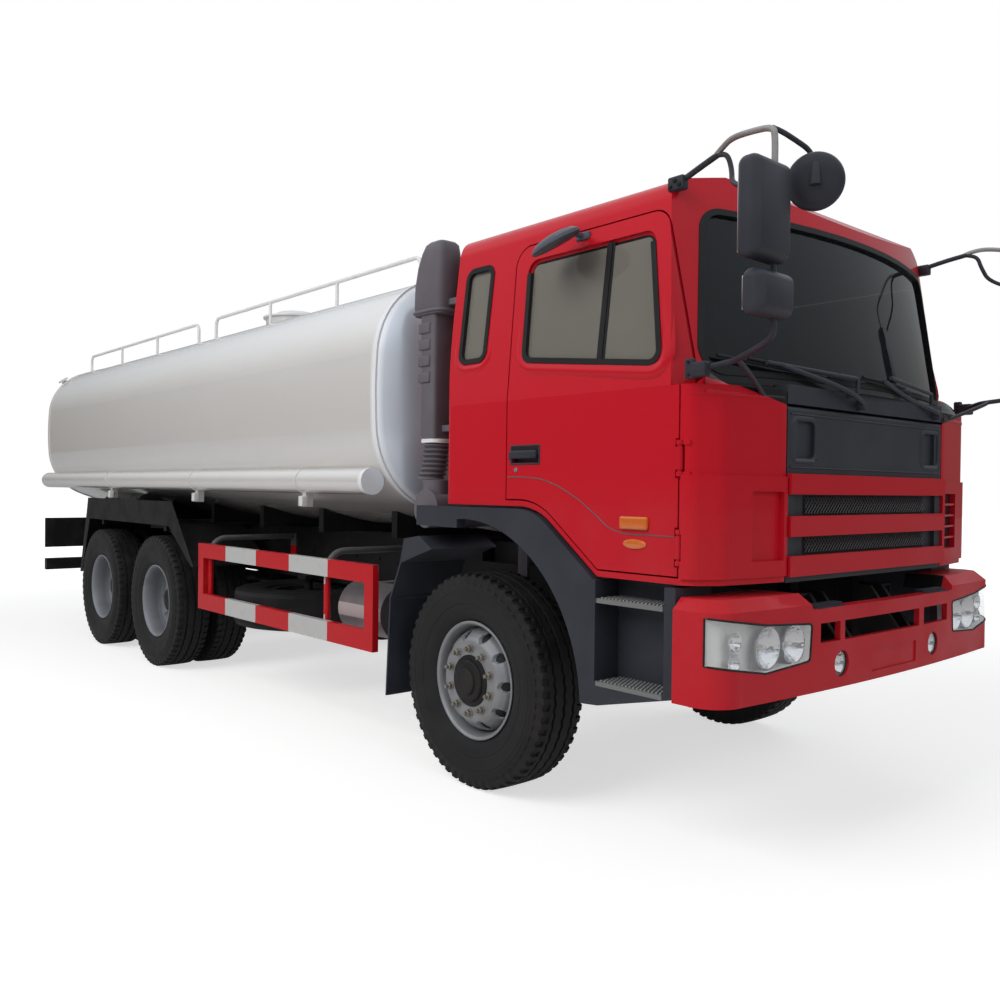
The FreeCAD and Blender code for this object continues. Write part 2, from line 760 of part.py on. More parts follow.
def tie_rod():
    """Rod between the two steering arms, with an eye round each arm's pin."""
    top = TYRE_RADIUS - BEAM_EYE_HEIGHT / 2 - LUG_GAP - LUG_HEIGHT - SEAT_GAP
    low = top - TIE_EYE_RADIUS * 1.5
    middle = (top + low) / 2
    bar = rod(V(TIE_ROD_X, -KINGPIN_Y, middle), V(TIE_ROD_X, KINGPIN_Y, middle), TIE_ROD_RADIUS)
    eyes = [Part.makeCylinder(TIE_EYE_RADIUS, top - low, V(TIE_ROD_X, y, low)) for y in (-KINGPIN_Y, KINGPIN_Y)]
    bores = [Part.makeCylinder(TIE_PIN_RADIUS + RUNNING_GAP, top - low, V(TIE_ROD_X, y, low))
             for y in (-KINGPIN_Y, KINGPIN_Y)]
    return fused([bar] + eyes).cut(bores)


def front_beam():
    """Dropped I-section beam with an eye and kingpin at each end."""
    low = -BEAM_DROP
    half = BEAM_DEPTH / 2
    end_y = KINGPIN_Y
    outline = [(-end_y, half), (-BEAM_BEND_Y, half), (-BEAM_BEND_Y + BEAM_DROP, low + half),
               (BEAM_BEND_Y - BEAM_DROP, low + half), (BEAM_BEND_Y, half), (end_y, half),
               (end_y, -half), (BEAM_BEND_Y, -half), (BEAM_BEND_Y - BEAM_DROP, low - half),
               (-BEAM_BEND_Y + BEAM_DROP, low - half), (-BEAM_BEND_Y, -half), (-end_y, -half)]
    beam = front_prism(outline, 0, -BEAM_WIDTH / 2, BEAM_WIDTH / 2)
    web_half = BEAM_WIDTH / 2 - BEAM_FLUTE
    flute_outline = [(-BEAM_BEND_Y + BEAM_DROP, low + half / 2), (BEAM_BEND_Y - BEAM_DROP, low + half / 2),
                     (BEAM_BEND_Y - BEAM_DROP, low - half / 2), (-BEAM_BEND_Y + BEAM_DROP, low - half / 2)]
    flutes = [front_prism(flute_outline, 0, web_half, BEAM_WIDTH),
              front_prism(flute_outline, 0, -BEAM_WIDTH, -web_half)]
    beam = beam.cut(flutes)
    eyes = [Part.makeCylinder(BEAM_EYE_RADIUS, BEAM_EYE_HEIGHT, V(0, y, -BEAM_EYE_HEIGHT / 2))
            for y in (-KINGPIN_Y, KINGPIN_Y)]
    pins = [Part.makeCylinder(KINGPIN_RADIUS, KINGPIN_HEIGHT, V(0, y, -KINGPIN_HEIGHT / 2))
            for y in (-KINGPIN_Y, KINGPIN_Y)]
    return moved(fused([beam] + eyes + pins), z=TYRE_RADIUS)


def leaf_pack(length, count, camber, low_z):
    """Bent leaves under each other, each shorter, centred on x = 0; the ends stand camber higher."""
    leaves = []
    for i in range(count):
        half = length / 2 * (1 - i / (count + 1.0))
        rise = camber * (half * 2 / length) ** 2
        top = low_z + (count - i) * LEAF_THICKNESS
        under = top - LEAF_THICKNESS
        upper = Part.Arc(V(-half, 0, top + rise), V(0, 0, top), V(half, 0, top + rise)).toShape()
        lower = Part.Arc(V(half, 0, under + rise), V(0, 0, under), V(-half, 0, under + rise)).toShape()
        ends = [Part.makeLine(V(half, 0, top + rise), V(half, 0, under + rise)),
                Part.makeLine(V(-half, 0, under + rise), V(-half, 0, top + rise))]
        face = Part.Face(Part.Wire([upper, ends[0], lower, ends[1]]))
        leaves.append(moved(face.extrude(V(0, LEAF_WIDTH, 0)), y=-LEAF_WIDTH / 2))
    return fused(leaves)


def front_springs():
    """Leaf pack, clamp and frame hangers on each side of the front axle."""
    seat = TYRE_RADIUS - BEAM_DROP + BEAM_DEPTH / 2
    frame_low = FRAME_TOP - RAIL_HEIGHT
    pack = leaf_pack(FRONT_SPRING_LENGTH, FRONT_LEAF_COUNT, SPRING_CAMBER, seat)
    pack_top = seat + FRONT_LEAF_COUNT * LEAF_THICKNESS
    clamp = block(-BEAM_WIDTH / 2, BEAM_WIDTH / 2, -LEAF_WIDTH * 0.7, LEAF_WIDTH * 0.7, seat, pack_top + LEAF_THICKNESS)
    parts = [pack, clamp]
    for end in (-1, 1):
        x = end * (FRONT_SPRING_LENGTH / 2 - LEAF_WIDTH / 2)
        z = pack_top + SPRING_CAMBER - LEAF_THICKNESS
        parts.append(block(x - LEAF_WIDTH / 2, x + LEAF_WIDTH / 2, -LEAF_WIDTH / 2, LEAF_WIDTH / 2, z, frame_low))
    side = moved(fused(parts), y=FRONT_SPRING_Y)
    return [side, mirrored(side)]


def rear_springs():
    """Inverted leaf pack on each side of the tandem, resting on both casings."""
    middle_x = -WHEELBASE - TANDEM_SPACING / 2
    rest = TYRE_RADIUS + CASING_RADIUS
    pack = leaf_pack(TANDEM_SPACING + LEAF_WIDTH * 1.5, REAR_LEAF_COUNT, SPRING_CAMBER, 0)
    pack = pack.mirror(ORIGIN, AXIS_Z)
    top = rest + LEAF_THICKNESS + SPRING_CAMBER + LEAF_THICKNESS * REAR_LEAF_COUNT / 2
    pack = moved(pack, x=middle_x, z=top)
    saddle = block(middle_x - LEAF_WIDTH, middle_x + LEAF_WIDTH, -LEAF_WIDTH / 2, LEAF_WIDTH / 2,
                   TYRE_RADIUS - CASING_RADIUS, top)
    trunnion = moved(fused([pack, saddle]), y=REAR_SPRING_Y)
    bar = rod(V(middle_x, -REAR_SPRING_Y, TYRE_RADIUS), V(middle_x, REAR_SPRING_Y, TYRE_RADIUS), CASING_RADIUS * 0.6)
    posts = []
    for y in (RAIL_OUTER_Y - RAIL_FLANGE, -RAIL_OUTER_Y):
        posts.append(block(middle_x - LEAF_WIDTH, middle_x + LEAF_WIDTH, y, y + RAIL_FLANGE,
                           TYRE_RADIUS - CASING_RADIUS * 0.6, FRAME_TOP - RAIL_HEIGHT))
    return fused([trunnion, mirrored(trunnion), bar] + posts)


def drive_axle(x):
    """Casing with a spindle into each twin hub and a differential bowl."""
    hub_end = REAR_WHEEL_Y + HUB_CAP_LENGTH + TWIN_SPACING / 4 - RIM_WALL - MOVING_GAP
    drum_start = REAR_WHEEL_Y + REAR_DRUM_START
    casing = rod(V(x, -drum_start + MOVING_GAP, TYRE_RADIUS), V(x, drum_start - MOVING_GAP, TYRE_RADIUS), CASING_RADIUS)
    spindle = rod(V(x, -hub_end, TYRE_RADIUS), V(x, hub_end, TYRE_RADIUS), SPINDLE_RADIUS)
    bowl = rod(V(x, -DIFF_WIDTH / 2, TYRE_RADIUS), V(x, DIFF_WIDTH / 2, TYRE_RADIUS), DIFF_RADIUS)
    bowl = bowl.makeFillet(DIFF_WIDTH / 3, [e for e in bowl.Edges if e.Closed and e.Curve.TypeId == "Part::GeomCircle"])
    return fused([casing, spindle, bowl])


def propeller_shafts():
    """Shaft from the engine to the first drive axle and between the two drive axles."""
    z = SHAFT_HEIGHT
    return [rod(V(ENGINE_REAR_X, 0, z), V(-WHEELBASE + DIFF_RADIUS - OVERRUN, 0, z), SHAFT_RADIUS),
            rod(V(-WHEELBASE - DIFF_RADIUS + OVERRUN, 0, z),
                V(-WHEELBASE - TANDEM_SPACING + DIFF_RADIUS - OVERRUN, 0, z), SHAFT_RADIUS)]


def axles(nodes):
    """Knuckles, tie rod, front beam with springs, and the drive axles."""
    left = knuckle()
    nodes["knuckle_left"] = left
    nodes["knuckle_right"] = mirrored(left)
    nodes["tie_rod"] = tie_rod()
    nodes["front_axle"] = fused([front_beam()] + front_springs())
    rear = [drive_axle(-WHEELBASE), drive_axle(-WHEELBASE - TANDEM_SPACING)]
    nodes["rear_axles"] = fused(rear + [rear_springs()] + propeller_shafts())


# Chassis

def frame_rail():
    """Left C-section rail, open towards the centre."""
    low = FRAME_TOP - RAIL_HEIGHT
    outline = [(RAIL_OUTER_Y, low), (RAIL_OUTER_Y, FRAME_TOP), (RAIL_OUTER_Y - RAIL_FLANGE, FRAME_TOP),
               (RAIL_OUTER_Y - RAIL_FLANGE, FRAME_TOP - RAIL_WALL), (RAIL_OUTER_Y - RAIL_WALL, FRAME_TOP - RAIL_WALL),
               (RAIL_OUTER_Y - RAIL_WALL, low + RAIL_WALL), (RAIL_OUTER_Y - RAIL_FLANGE, low + RAIL_WALL),
               (RAIL_OUTER_Y - RAIL_FLANGE, low)]
    return front_prism(outline, 0, FRAME_REAR_X, FRAME_FRONT_X)


def cross_members():
    """Members seated between the rails' webs, under their top flanges."""
    length = FRAME_FRONT_X - FRAME_REAR_X
    half = RAIL_OUTER_Y - RAIL_WALL - SEAT_GAP
    top = FRAME_TOP - RAIL_WALL - SEAT_GAP
    members = []
    for share in CROSS_SHARES:
        x = FRAME_REAR_X + share * (length - CROSS_WIDTH)
        members.append(block(x, x + CROSS_WIDTH, -half, half, top - CROSS_WIDTH, top))
    return members


def tank_section(x, inset):
    """Closed wire of four wide arcs and four corner arcs, at x."""
    a = TANK_HALF_WIDTH - inset
    b = TANK_HALF_HEIGHT - inset
    top = TANK_TOP_ARC - inset
    side = TANK_SIDE_ARC - inset
    corner = TANK_CORNER_ARC - inset
    top_z = b - top
    side_y = a - side
    reach_top = top - corner
    reach_side = side - corner
    span = math.hypot(side_y, top_z)
    along = (reach_side ** 2 - reach_top ** 2 + span ** 2) / (2 * span)
    off = math.sqrt(reach_side ** 2 - along ** 2)
    unit_y, unit_z = -side_y / span, top_z / span
    corner_y = side_y + along * unit_y - off * unit_z
    corner_z = along * unit_z + off * unit_y

    def away(from_y, from_z, radius):
        reach = math.hypot(corner_y - from_y, corner_z - from_z)
        return (from_y + (corner_y - from_y) * radius / reach, from_z + (corner_z - from_z) * radius / reach)

    top_join = away(0, top_z, top)
    side_join = away(side_y, 0, side)
    diagonal = math.radians(45)
    knee = (corner_y + corner * math.cos(diagonal), corner_z + corner * math.sin(diagonal))
    quarter = [top_join, knee, side_join]

    def at(point, sy, sz):
        return V(x, point[0] * sy, TANK_CENTRE_Z + point[1] * sz)

    edges = []
    turns = ((1, 1), (1, -1), (-1, -1), (-1, 1))
    for i, (sy, sz) in enumerate(turns):
        order = quarter if sy * sz > 0 else quarter[::-1]
        p, q, r = [at(point, sy, sz) for point in order]
        edges.append(Part.Arc(p, q, r).toShape())
        ny, nz = turns[(i + 1) % 4]
        following = quarter[0] if ny * nz > 0 else quarter[-1]
        middle = V(x, sy * a, TANK_CENTRE_Z) if ny == sy else V(x, 0, TANK_CENTRE_Z + sz * b)
        edges.append(Part.Arc(r, middle, at(following, ny, nz)).toShape())
    return Part.Wire(edges)


DOME_SHARES = (0.0, 0.35, 0.62, 0.82, 0.94)


def tank_end(x, depth, direction, inset):
    """Domed end: sections that shrink as a quarter ellipse."""
    wires = []
    for share in DOME_SHARES:
        shrink = (1 - math.sqrt(1 - share ** 2)) * TANK_HALF_HEIGHT * 0.9
        wires.append(tank_section(x + direction * depth * share, inset + shrink))
    return Part.makeLoft(wires, True, False)


def tank_body(inset):
    """Straight barrel with a dome at each end."""
    barrel = Part.Face(tank_section(TANK_REAR_X, inset)).extrude(V(TANK_FRONT_X - TANK_REAR_X, 0, 0))
    front = tank_end(TANK_FRONT_X, DOME_DEPTH - inset, 1, inset)
    rear = tank_end(TANK_REAR_X, DOME_DEPTH - inset, -1, inset)
    return barrel.fuse([front, rear])


def tank_bead(x):
    """Raised weld band round the barrel's end."""
    ring = Part.Face(tank_section(x - BEAD_LENGTH / 2, -BEAD_PROUD)).extrude(V(BEAD_LENGTH, 0, 0))
    return ring.cut(Part.Face(tank_section(x - BEAD_LENGTH / 2, TANK_WALL / 2)).extrude(V(BEAD_LENGTH, 0, 0)))


def tank_barrel():
    """Solid tank with end bands, an open manhole neck and a flanged outlet under its rear end."""
    top = TANK_CENTRE_Z + TANK_HALF_HEIGHT
    neck = Part.makeCylinder(MANHOLE_RADIUS, MANHOLE_NECK_HEIGHT + MANHOLE_DEPTH, V(MANHOLE_X, 0, top - MANHOLE_DEPTH))
    mouth = Part.makeCylinder(MANHOLE_RADIUS - MANHOLE_WALL, MANHOLE_NECK_HEIGHT + MANHOLE_DEPTH,
                              V(MANHOLE_X, 0, top - MANHOLE_DEPTH + MANHOLE_WALL))
    solid = tank_body(0).fuse([neck, tank_bead(TANK_FRONT_X), tank_bead(TANK_REAR_X)])
    low = TANK_CENTRE_Z - TANK_HALF_HEIGHT
    pipe = Part.makeCylinder(OUTLET_PIPE_RADIUS, OUTLET_DROP + TANK_WALL, V(OUTLET_X, 0, low - OUTLET_DROP))
    flange = Part.makeCylinder(OUTLET_FLANGE_RADIUS, OUTLET_FLANGE, V(OUTLET_X, 0, low - OUTLET_DROP))
    bore = Part.makeCylinder(OUTLET_BORE_RADIUS, OUTLET_DEPTH, V(OUTLET_X, 0, low - OUTLET_DROP))
    hole = Part.makeCylinder(OUTLET_HOLE_RADIUS, OUTLET_FLANGE, V(OUTLET_X + OUTLET_CIRCLE, 0, low - OUTLET_DROP))
    holes = ring_of(hole, OUTLET_HOLE_COUNT, V(OUTLET_X, 0, 0), AXIS_Z)
    return solid.fuse([pipe, flange]).cut([mouth, bore] + holes)


HINGE_X = MANHOLE_X
LID_Z = TANK_CENTRE_Z + TANK_HALF_HEIGHT + MANHOLE_NECK_HEIGHT + SEAT_GAP
LID_HINGE_Y = LID_RADIUS + LID_PIN_RADIUS * 3


def manhole_lid():
    """Dished lid with a hinge arm on its left side."""
    plate = Part.makeCylinder(LID_RADIUS, LID_THICKNESS, V(MANHOLE_X, 0, LID_Z))
    crown = Part.makeCone(LID_RADIUS * 0.85, LID_RADIUS * 0.55, LID_DOME, V(MANHOLE_X, 0, LID_Z + LID_THICKNESS))
    arm = block(MANHOLE_X - LID_PIN_RADIUS * 3, MANHOLE_X + LID_PIN_RADIUS * 3, 0, LID_HINGE_Y, LID_Z,
                LID_Z + LID_THICKNESS)
    barrel = rod(V(MANHOLE_X - LID_PIN_RADIUS * 3, LID_HINGE_Y, LID_Z + LID_PIN_RADIUS),
                 V(MANHOLE_X + LID_PIN_RADIUS * 3, LID_HINGE_Y, LID_Z + LID_PIN_RADIUS), LID_PIN_RADIUS * 2)
    bore = rod(V(MANHOLE_X - LID_PIN_RADIUS * 4, LID_HINGE_Y, LID_Z + LID_PIN_RADIUS),
               V(MANHOLE_X + LID_PIN_RADIUS * 4, LID_HINGE_Y, LID_Z + LID_PIN_RADIUS), LID_PIN_RADIUS + RUNNING_GAP)
    return fused([plate, crown, arm, barrel]).cut(bore)


def lid_ears():
    """Pin on two ears that stand on the tank beside the neck."""
    ears = []
    for end in (-1, 1):
        x = MANHOLE_X + end * (LID_PIN_RADIUS * 3 + MOVING_GAP)
        x0, x1 = sorted((x, x + end * LID_PIN_RADIUS * 2))
        ears.append(block(x0, x1, LID_HINGE_Y - LID_PIN_RADIUS * 2, LID_HINGE_Y + LID_PIN_RADIUS * 2,
                          TANK_CENTRE_Z + TANK_HALF_HEIGHT - TANK_CORNER_ARC / 8, LID_Z + LID_PIN_RADIUS * 2))
    pin = rod(V(MANHOLE_X - LID_PIN_RADIUS * 4, LID_HINGE_Y, LID_Z + LID_PIN_RADIUS),
              V(MANHOLE_X + LID_PIN_RADIUS * 4, LID_HINGE_Y, LID_Z + LID_PIN_RADIUS), LID_PIN_RADIUS)
    return fused(ears + [pin])


def rail_run(x0, x1):
    """One low hand rail with rounded ends and middle posts."""
    foot = TANK_CENTRE_Z + TANK_HALF_HEIGHT * 0.74
    points = [V(x0, RAIL_Y, foot), V(x0, RAIL_Y, RAIL_TOP_Z), V(x1, RAIL_Y, RAIL_TOP_Z), V(x1, RAIL_Y, foot)]
    parts = [tube(points, RAIL_TUBE_RADIUS, RAIL_CORNER)]
    for i in range(1, RAIL_MID_POSTS + 1):
        x = x0 + (x1 - x0) * i / (RAIL_MID_POSTS + 1)
        parts.append(rod(V(x, RAIL_Y, foot), V(x, RAIL_Y, RAIL_TOP_Z), RAIL_TUBE_RADIUS * 0.9))
    return fused(parts)


def tank_rails():
    """Rails along both edges of the tank's top, cut where they meet the tank."""
    runs = [rail_run(*RAIL_REAR_RUN_X), rail_run(*RAIL_FRONT_RUN_X)]
    runs += [mirrored(run) for run in runs]
    body = Part.Face(tank_section(TANK_REAR_X, 0)).extrude(V(TANK_FRONT_X - TANK_REAR_X, 0, 0))
    return Part.Compound([run.cut(body) for run in runs])


def tank_saddles():
    """Cross saddles on the subframe, each shaped to the tank's underside."""
    low = FRAME_TOP + SUBFRAME_HEIGHT + SEAT_GAP
    span = TANK_FRONT_X - TANK_REAR_X
    saddles = []
    for i in range(SADDLE_COUNT):
        x = TANK_REAR_X + span * (i + 0.5) / SADDLE_COUNT
        saddles.append(block(x - SADDLE_THICKNESS / 2, x + SADDLE_THICKNESS / 2, -SADDLE_Y, SADDLE_Y,
                             low, TANK_CENTRE_Z - TANK_HALF_HEIGHT / 2))
    return [saddle.cut(tank_body(0)) for saddle in saddles]


def rear_plate():
    """Plate across the frame's rear end with four bolt holes for a coupling."""
    y = RAIL_OUTER_Y - RAIL_WALL - SEAT_GAP
    low = FRAME_TOP - RAIL_HEIGHT + RAIL_WALL + SEAT_GAP
    plate = block(FRAME_REAR_X, FRAME_REAR_X + RAIL_WALL, -y, y, low, FRAME_TOP - RAIL_WALL - SEAT_GAP)
    middle = FRAME_TOP - RAIL_HEIGHT / 2
    holes = []
    for y in (-COUPLING_SPACING_Y / 2, COUPLING_SPACING_Y / 2):
        for z in (-COUPLING_SPACING_Z / 2, COUPLING_SPACING_Z / 2):
            holes.append(rod(V(FRAME_REAR_X - OVERRUN, y, middle + z), V(FRAME_REAR_X + OVERRUN, y, middle + z),
                             COUPLING_HOLE_RADIUS))
    return plate.cut(holes)


def rear_ends():
    """Rear panel, underrun bar and the posts that hang them on the frame."""
    x = REAR_PANEL_X
    panel = block(x, x + REAR_PANEL_THICKNESS, -REAR_HALF_WIDTH, REAR_HALF_WIDTH, REAR_PANEL_BOTTOM, REAR_PANEL_TOP)
    bar = block(x, x + REAR_BAR_DEPTH, -REAR_HALF_WIDTH, REAR_HALF_WIDTH, REAR_BAR_BOTTOM, REAR_BAR_TOP)
    parts = [panel.cut(block(x - OVERRUN, x + CROSS_WIDTH, -COUPLING_SPACING_Y, COUPLING_SPACING_Y, REAR_PANEL_BOTTOM - OVERRUN,
                             REAR_PANEL_TOP - CROSS_WIDTH / 2)), bar, rear_plate()]
    for side in (-1, 1):
        y0, y1 = sorted((side * RAIL_OUTER_Y, side * (RAIL_OUTER_Y - RAIL_FLANGE)))
        end = FRAME_REAR_X - SEAT_GAP
        top = REAR_PANEL_BOTTOM + CROSS_WIDTH
        arm = block(x + REAR_PANEL_THICKNESS + SEAT_GAP, end, y0, y1, REAR_PANEL_BOTTOM, top)
        post = block(x + REAR_BAR_DEPTH + SEAT_GAP, end, y0, y1, REAR_BAR_BOTTOM, top)
        parts.append(arm.fuse(post))
    return parts


def chassis_frame():
    """Rails, cross members, subframe, saddles, rear end and tilt bearing, each seated on the next."""
    rails = [frame_rail(), mirrored(frame_rail())]
    sub = block(TANK_REAR_X, TANK_FRONT_X, RAIL_OUTER_Y - SUBFRAME_WIDTH, RAIL_OUTER_Y, FRAME_TOP + SEAT_GAP,
                FRAME_TOP + SUBFRAME_HEIGHT)
    bearing = fused(tilt_ears())
    return Part.Compound(rails + cross_members() + [sub, mirrored(sub)] + tank_saddles() + rear_ends() + [bearing])


TILT_EAR_Y = TILT_ARM_Y + TILT_ARM_WIDTH / 2 + MOVING_GAP


def tilt_ears():
    """Pin across the front of the frame that the cab tilts on, and its ears."""
    parts = []
    for side in (-1, 1):
        for inner in (TILT_EAR_Y, TILT_ARM_Y - TILT_ARM_WIDTH / 2 - MOVING_GAP - TILT_EAR_THICKNESS):
            y0, y1 = sorted((side * inner, side * (inner + TILT_EAR_THICKNESS)))
            outline = [(FRAME_FRONT_X - CROSS_WIDTH, FRAME_TOP - RAIL_HEIGHT), (FRAME_FRONT_X - CROSS_WIDTH, FRAME_TOP),
                       (FRAME_FRONT_X, FRAME_TOP), (TILT_X + TILT_EYE_RADIUS, TILT_Z + TILT_EYE_RADIUS),
                       (TILT_X + TILT_EYE_RADIUS, TILT_Z - TILT_EYE_RADIUS),
                       (TILT_X - TILT_EYE_RADIUS, TILT_Z - TILT_EYE_RADIUS)]
            parts.append(side_prism(outline, 0, y0, y1))
        y0, y1 = sorted((side * (TILT_ARM_Y - TILT_ARM_WIDTH), side * (TILT_ARM_Y + TILT_ARM_WIDTH)))
        parts.append(rod(V(TILT_X, y0, TILT_Z), V(TILT_X, y1, TILT_Z), TILT_PIN_RADIUS))
    half = RAIL_OUTER_Y - RAIL_WALL - SEAT_GAP
    low = FRAME_TOP - RAIL_HEIGHT + RAIL_WALL + SEAT_GAP
    tie = block(FRAME_FRONT_X - CROSS_WIDTH / 2, FRAME_FRONT_X, -half, half, low, low + TILT_EAR_THICKNESS)
    return parts + [tie]


def hose_tubes():
    """Closed tube along each side of the tank, with ring joints, brackets and marker lamps."""
    span = HOSE_TUBE_FRONT_X - HOSE_TUBE_REAR_X
    start = V(HOSE_TUBE_REAR_X, HOSE_TUBE_Y, HOSE_TUBE_Z)
    body = rod(start, start + V(span, 0, 0), HOSE_TUBE_RADIUS)
    parts = [body]
    for share in HOSE_RING_SHARES:
        x = HOSE_TUBE_REAR_X + span * share
        ring = rod(V(x, HOSE_TUBE_Y, HOSE_TUBE_Z), V(x + HOSE_RING_LENGTH, HOSE_TUBE_Y, HOSE_TUBE_Z),
                   HOSE_TUBE_RADIUS + HOSE_RING_PROUD)
        hang = block(x, x + HOSE_LAMP_SIZE, HOSE_TUBE_Y - HOSE_LAMP_SIZE / 2, HOSE_TUBE_Y + HOSE_LAMP_SIZE / 2,
                     HOSE_TUBE_Z - HOSE_TUBE_RADIUS - HOSE_LAMP_HEIGHT, HOSE_TUBE_Z)
        bracket = block(x, x + HOSE_LAMP_SIZE, HOSE_TUBE_Y - HOSE_TUBE_RADIUS * 2.2, HOSE_TUBE_Y,
                        HOSE_TUBE_Z - HOSE_TUBE_RADIUS * 0.6, HOSE_TUBE_Z)
        parts += [ring, hang, bracket]
    room = [Part.Face(tank_section(TANK_REAR_X, -SEAT_GAP)).extrude(V(TANK_FRONT_X - TANK_REAR_X, 0, 0))]
    for x in (TANK_REAR_X, TANK_FRONT_X):
        start = x - BEAD_LENGTH / 2 - SEAT_GAP
        room.append(Part.Face(tank_section(start, -BEAD_PROUD - SEAT_GAP)).extrude(V(BEAD_LENGTH + SEAT_GAP * 2, 0, 0)))
    side = fused(parts).cut(room)
    return Part.Compound([side, mirrored(side)])


def guard_side():
    """Open frame of two bars and two ends, on two posts with arms from the chassis rail."""
    inner = GUARD_Y - GUARD_FRAME
    frame = block(GUARD_REAR_X, GUARD_FRONT_X, inner, GUARD_Y, GUARD_BOTTOM, GUARD_TOP)
    window = block(GUARD_REAR_X + GUARD_END, GUARD_FRONT_X - GUARD_END, inner - OVERRUN, GUARD_Y + OVERRUN,
                   GUARD_BOTTOM + GUARD_LOW_BAR, GUARD_TOP - GUARD_TOP_BAR)
    parts = [frame.cut(window)]
    over = GUARD_TOP + GUARD_FRAME
    y = inner - GUARD_ARM_RADIUS
    for x in GUARD_POSTS_X:
        path = [V(x, y, GUARD_BOTTOM), V(x, y, over), V(x, RAIL_FACE_Y + RAIL_WALL / 2, over)]
        parts.append(tube(path, GUARD_ARM_RADIUS, GUARD_FRAME * 3))
        for z in (GUARD_BOTTOM, GUARD_TOP - GUARD_FRAME):
            parts.append(block(x - GUARD_ARM_RADIUS, x + GUARD_ARM_RADIUS, y, inner + GUARD_FRAME / 2, z, z + GUARD_FRAME))
        parts.append(block(x - GUARD_ARM_RADIUS * 2, x + GUARD_ARM_RADIUS * 2, RAIL_FACE_Y, RAIL_FACE_Y + RAIL_WALL,
                           FRAME_TOP - RAIL_HEIGHT / 2, over + GUARD_ARM_RADIUS))
    return fused(parts)


def side_guards():
    """Guards on both sides."""
    side = guard_side()
    return Part.Compound([side, mirrored(side)])


def mudguard_path(drop, inset):
    """Points over the tandem from the rear lower edge to the front one."""
    return [(MUDGUARD_REAR_X + inset, MUDGUARD_REAR_BOTTOM), (MUDGUARD_TOP_REAR_X + inset, MUDGUARD_TOP - drop),
            (MUDGUARD_TOP_FRONT_X - inset, MUDGUARD_TOP - drop), (MUDGUARD_FRONT_X - inset, MUDGUARD_FRONT_BOTTOM)]


def mudguard_side():
    """Bent plate over the tandem, its upright outer face and stays to the frame."""
    drop = MUDGUARD_TOP - MUDGUARD_SHEET_Z
    sheet = side_prism(mudguard_path(drop, 0) + mudguard_path(drop + MUDGUARD_WALL, MUDGUARD_WALL)[::-1], 0,
                       MUDGUARD_INNER_Y, MUDGUARD_OUTER_Y)
    face = side_prism(mudguard_path(0, 0) + mudguard_path(drop + MUDGUARD_WALL, MUDGUARD_LIP)[::-1], 0,
                      MUDGUARD_OUTER_Y - MUDGUARD_WALL, MUDGUARD_OUTER_Y)
    stays = []
    for x in (MUDGUARD_TOP_REAR_X + CROSS_WIDTH * 3, MUDGUARD_TOP_FRONT_X - CROSS_WIDTH * 3):
        stays.append(block(x - MUDGUARD_LIP / 2, x + MUDGUARD_LIP / 2, RAIL_FACE_Y, MUDGUARD_OUTER_Y - MUDGUARD_LIP,
                           MUDGUARD_SHEET_Z - MUDGUARD_LIP, MUDGUARD_SHEET_Z))
    return fused([sheet, face] + stays)


def mudguards():
    """Rear mudguards on both sides."""
    side = mudguard_side()
    return Part.Compound([side, mirrored(side)])


def arch_side():
    """Left arch flare with its liner over the front wheel and the step box in front of it."""
    step_top = CAB_BOTTOM_FRONT - ARCH_GAP
    knee_x = CAB_ARCH_FRONT_X - ARCH_GAP / 3
    top = CAB_BOTTOM_REAR - ARCH_GAP
    box_outline = [(STEP_FRONT_X, step_top), (STEP_FRONT_X, STEP_BOTTOM), (STEP_HEEL_X, STEP_HEEL_Z)]
    outline = [(ARCH_REAR_X, top - ARCH_TAIL_HEIGHT), (ARCH_REAR_X, top), (CAB_ARCH_REAR_X - ARCH_GAP / 3, top),
               (knee_x, step_top)] + box_outline
    inside = ARCH_RADIUS / 2
    outline += [(ARCH_TOE_X, ARCH_BOTTOM), (ARCH_TOE_X, TYRE_RADIUS), (inside, TYRE_RADIUS + inside),
                (ARCH_TURN_X, TYRE_RADIUS + inside), (ARCH_TURN_X, ARCH_LIP_Z), (ARCH_LIP_X, ARCH_LIP_Z)]
    flare = side_prism(outline, [0, 0, CAB_SILL_ROUND - ARCH_GAP] + [0] * (len(outline) - 3), FLARE_INNER_Y, ARCH_OUTER_Y)
    wheel_room = wheel_cylinder(ARCH_RADIUS)
    ahead = block(ARCH_TURN_X, STEP_FRONT_X, 0, ARCH_OUTER_Y + OVERRUN, TYRE_RADIUS, CAB_BOTTOM_REAR)
    flare = flare.cut(wheel_room.common(ahead))
    liner = wheel_cylinder(ARCH_RADIUS + ARCH_WALL).cut(wheel_room)
    liner = liner.common(block(ARCH_TURN_X, ARCH_TOE_X, ARCH_INNER_Y, FLARE_INNER_Y + ARCH_WALL, TYRE_RADIUS + ARCH_WALL,
                               CAB_BOTTOM_REAR))
    box = side_prism([(ARCH_FRONT_X, ARCH_BOTTOM + ARCH_WALL), (ARCH_FRONT_X, step_top)] + box_outline, 0,
                     ARCH_OUTER_Y - STEP_DEPTH, ARCH_OUTER_Y)
    wells = []
    for low, high in ((TREAD_HEIGHTS[1], TREAD_HEIGHTS[0] - TREAD_THICKNESS), (TREAD_HEIGHTS[0], step_top + OVERRUN)):
        wells.append(block(TREAD_REAR_X - STEP_WALL, TREAD_FRONT_X + STEP_WALL, ARCH_OUTER_Y - TREAD_DEPTH,
                           ARCH_OUTER_Y + OVERRUN, low, high))
    return fused([flare, liner, box]).cut(wells + tread_seats())


def wheel_cylinder(radius):
    """Cylinder round the front axle line, out to the left."""
    return rod(V(0, 0, TYRE_RADIUS), V(0, ARCH_OUTER_Y + OVERRUN, TYRE_RADIUS), radius)


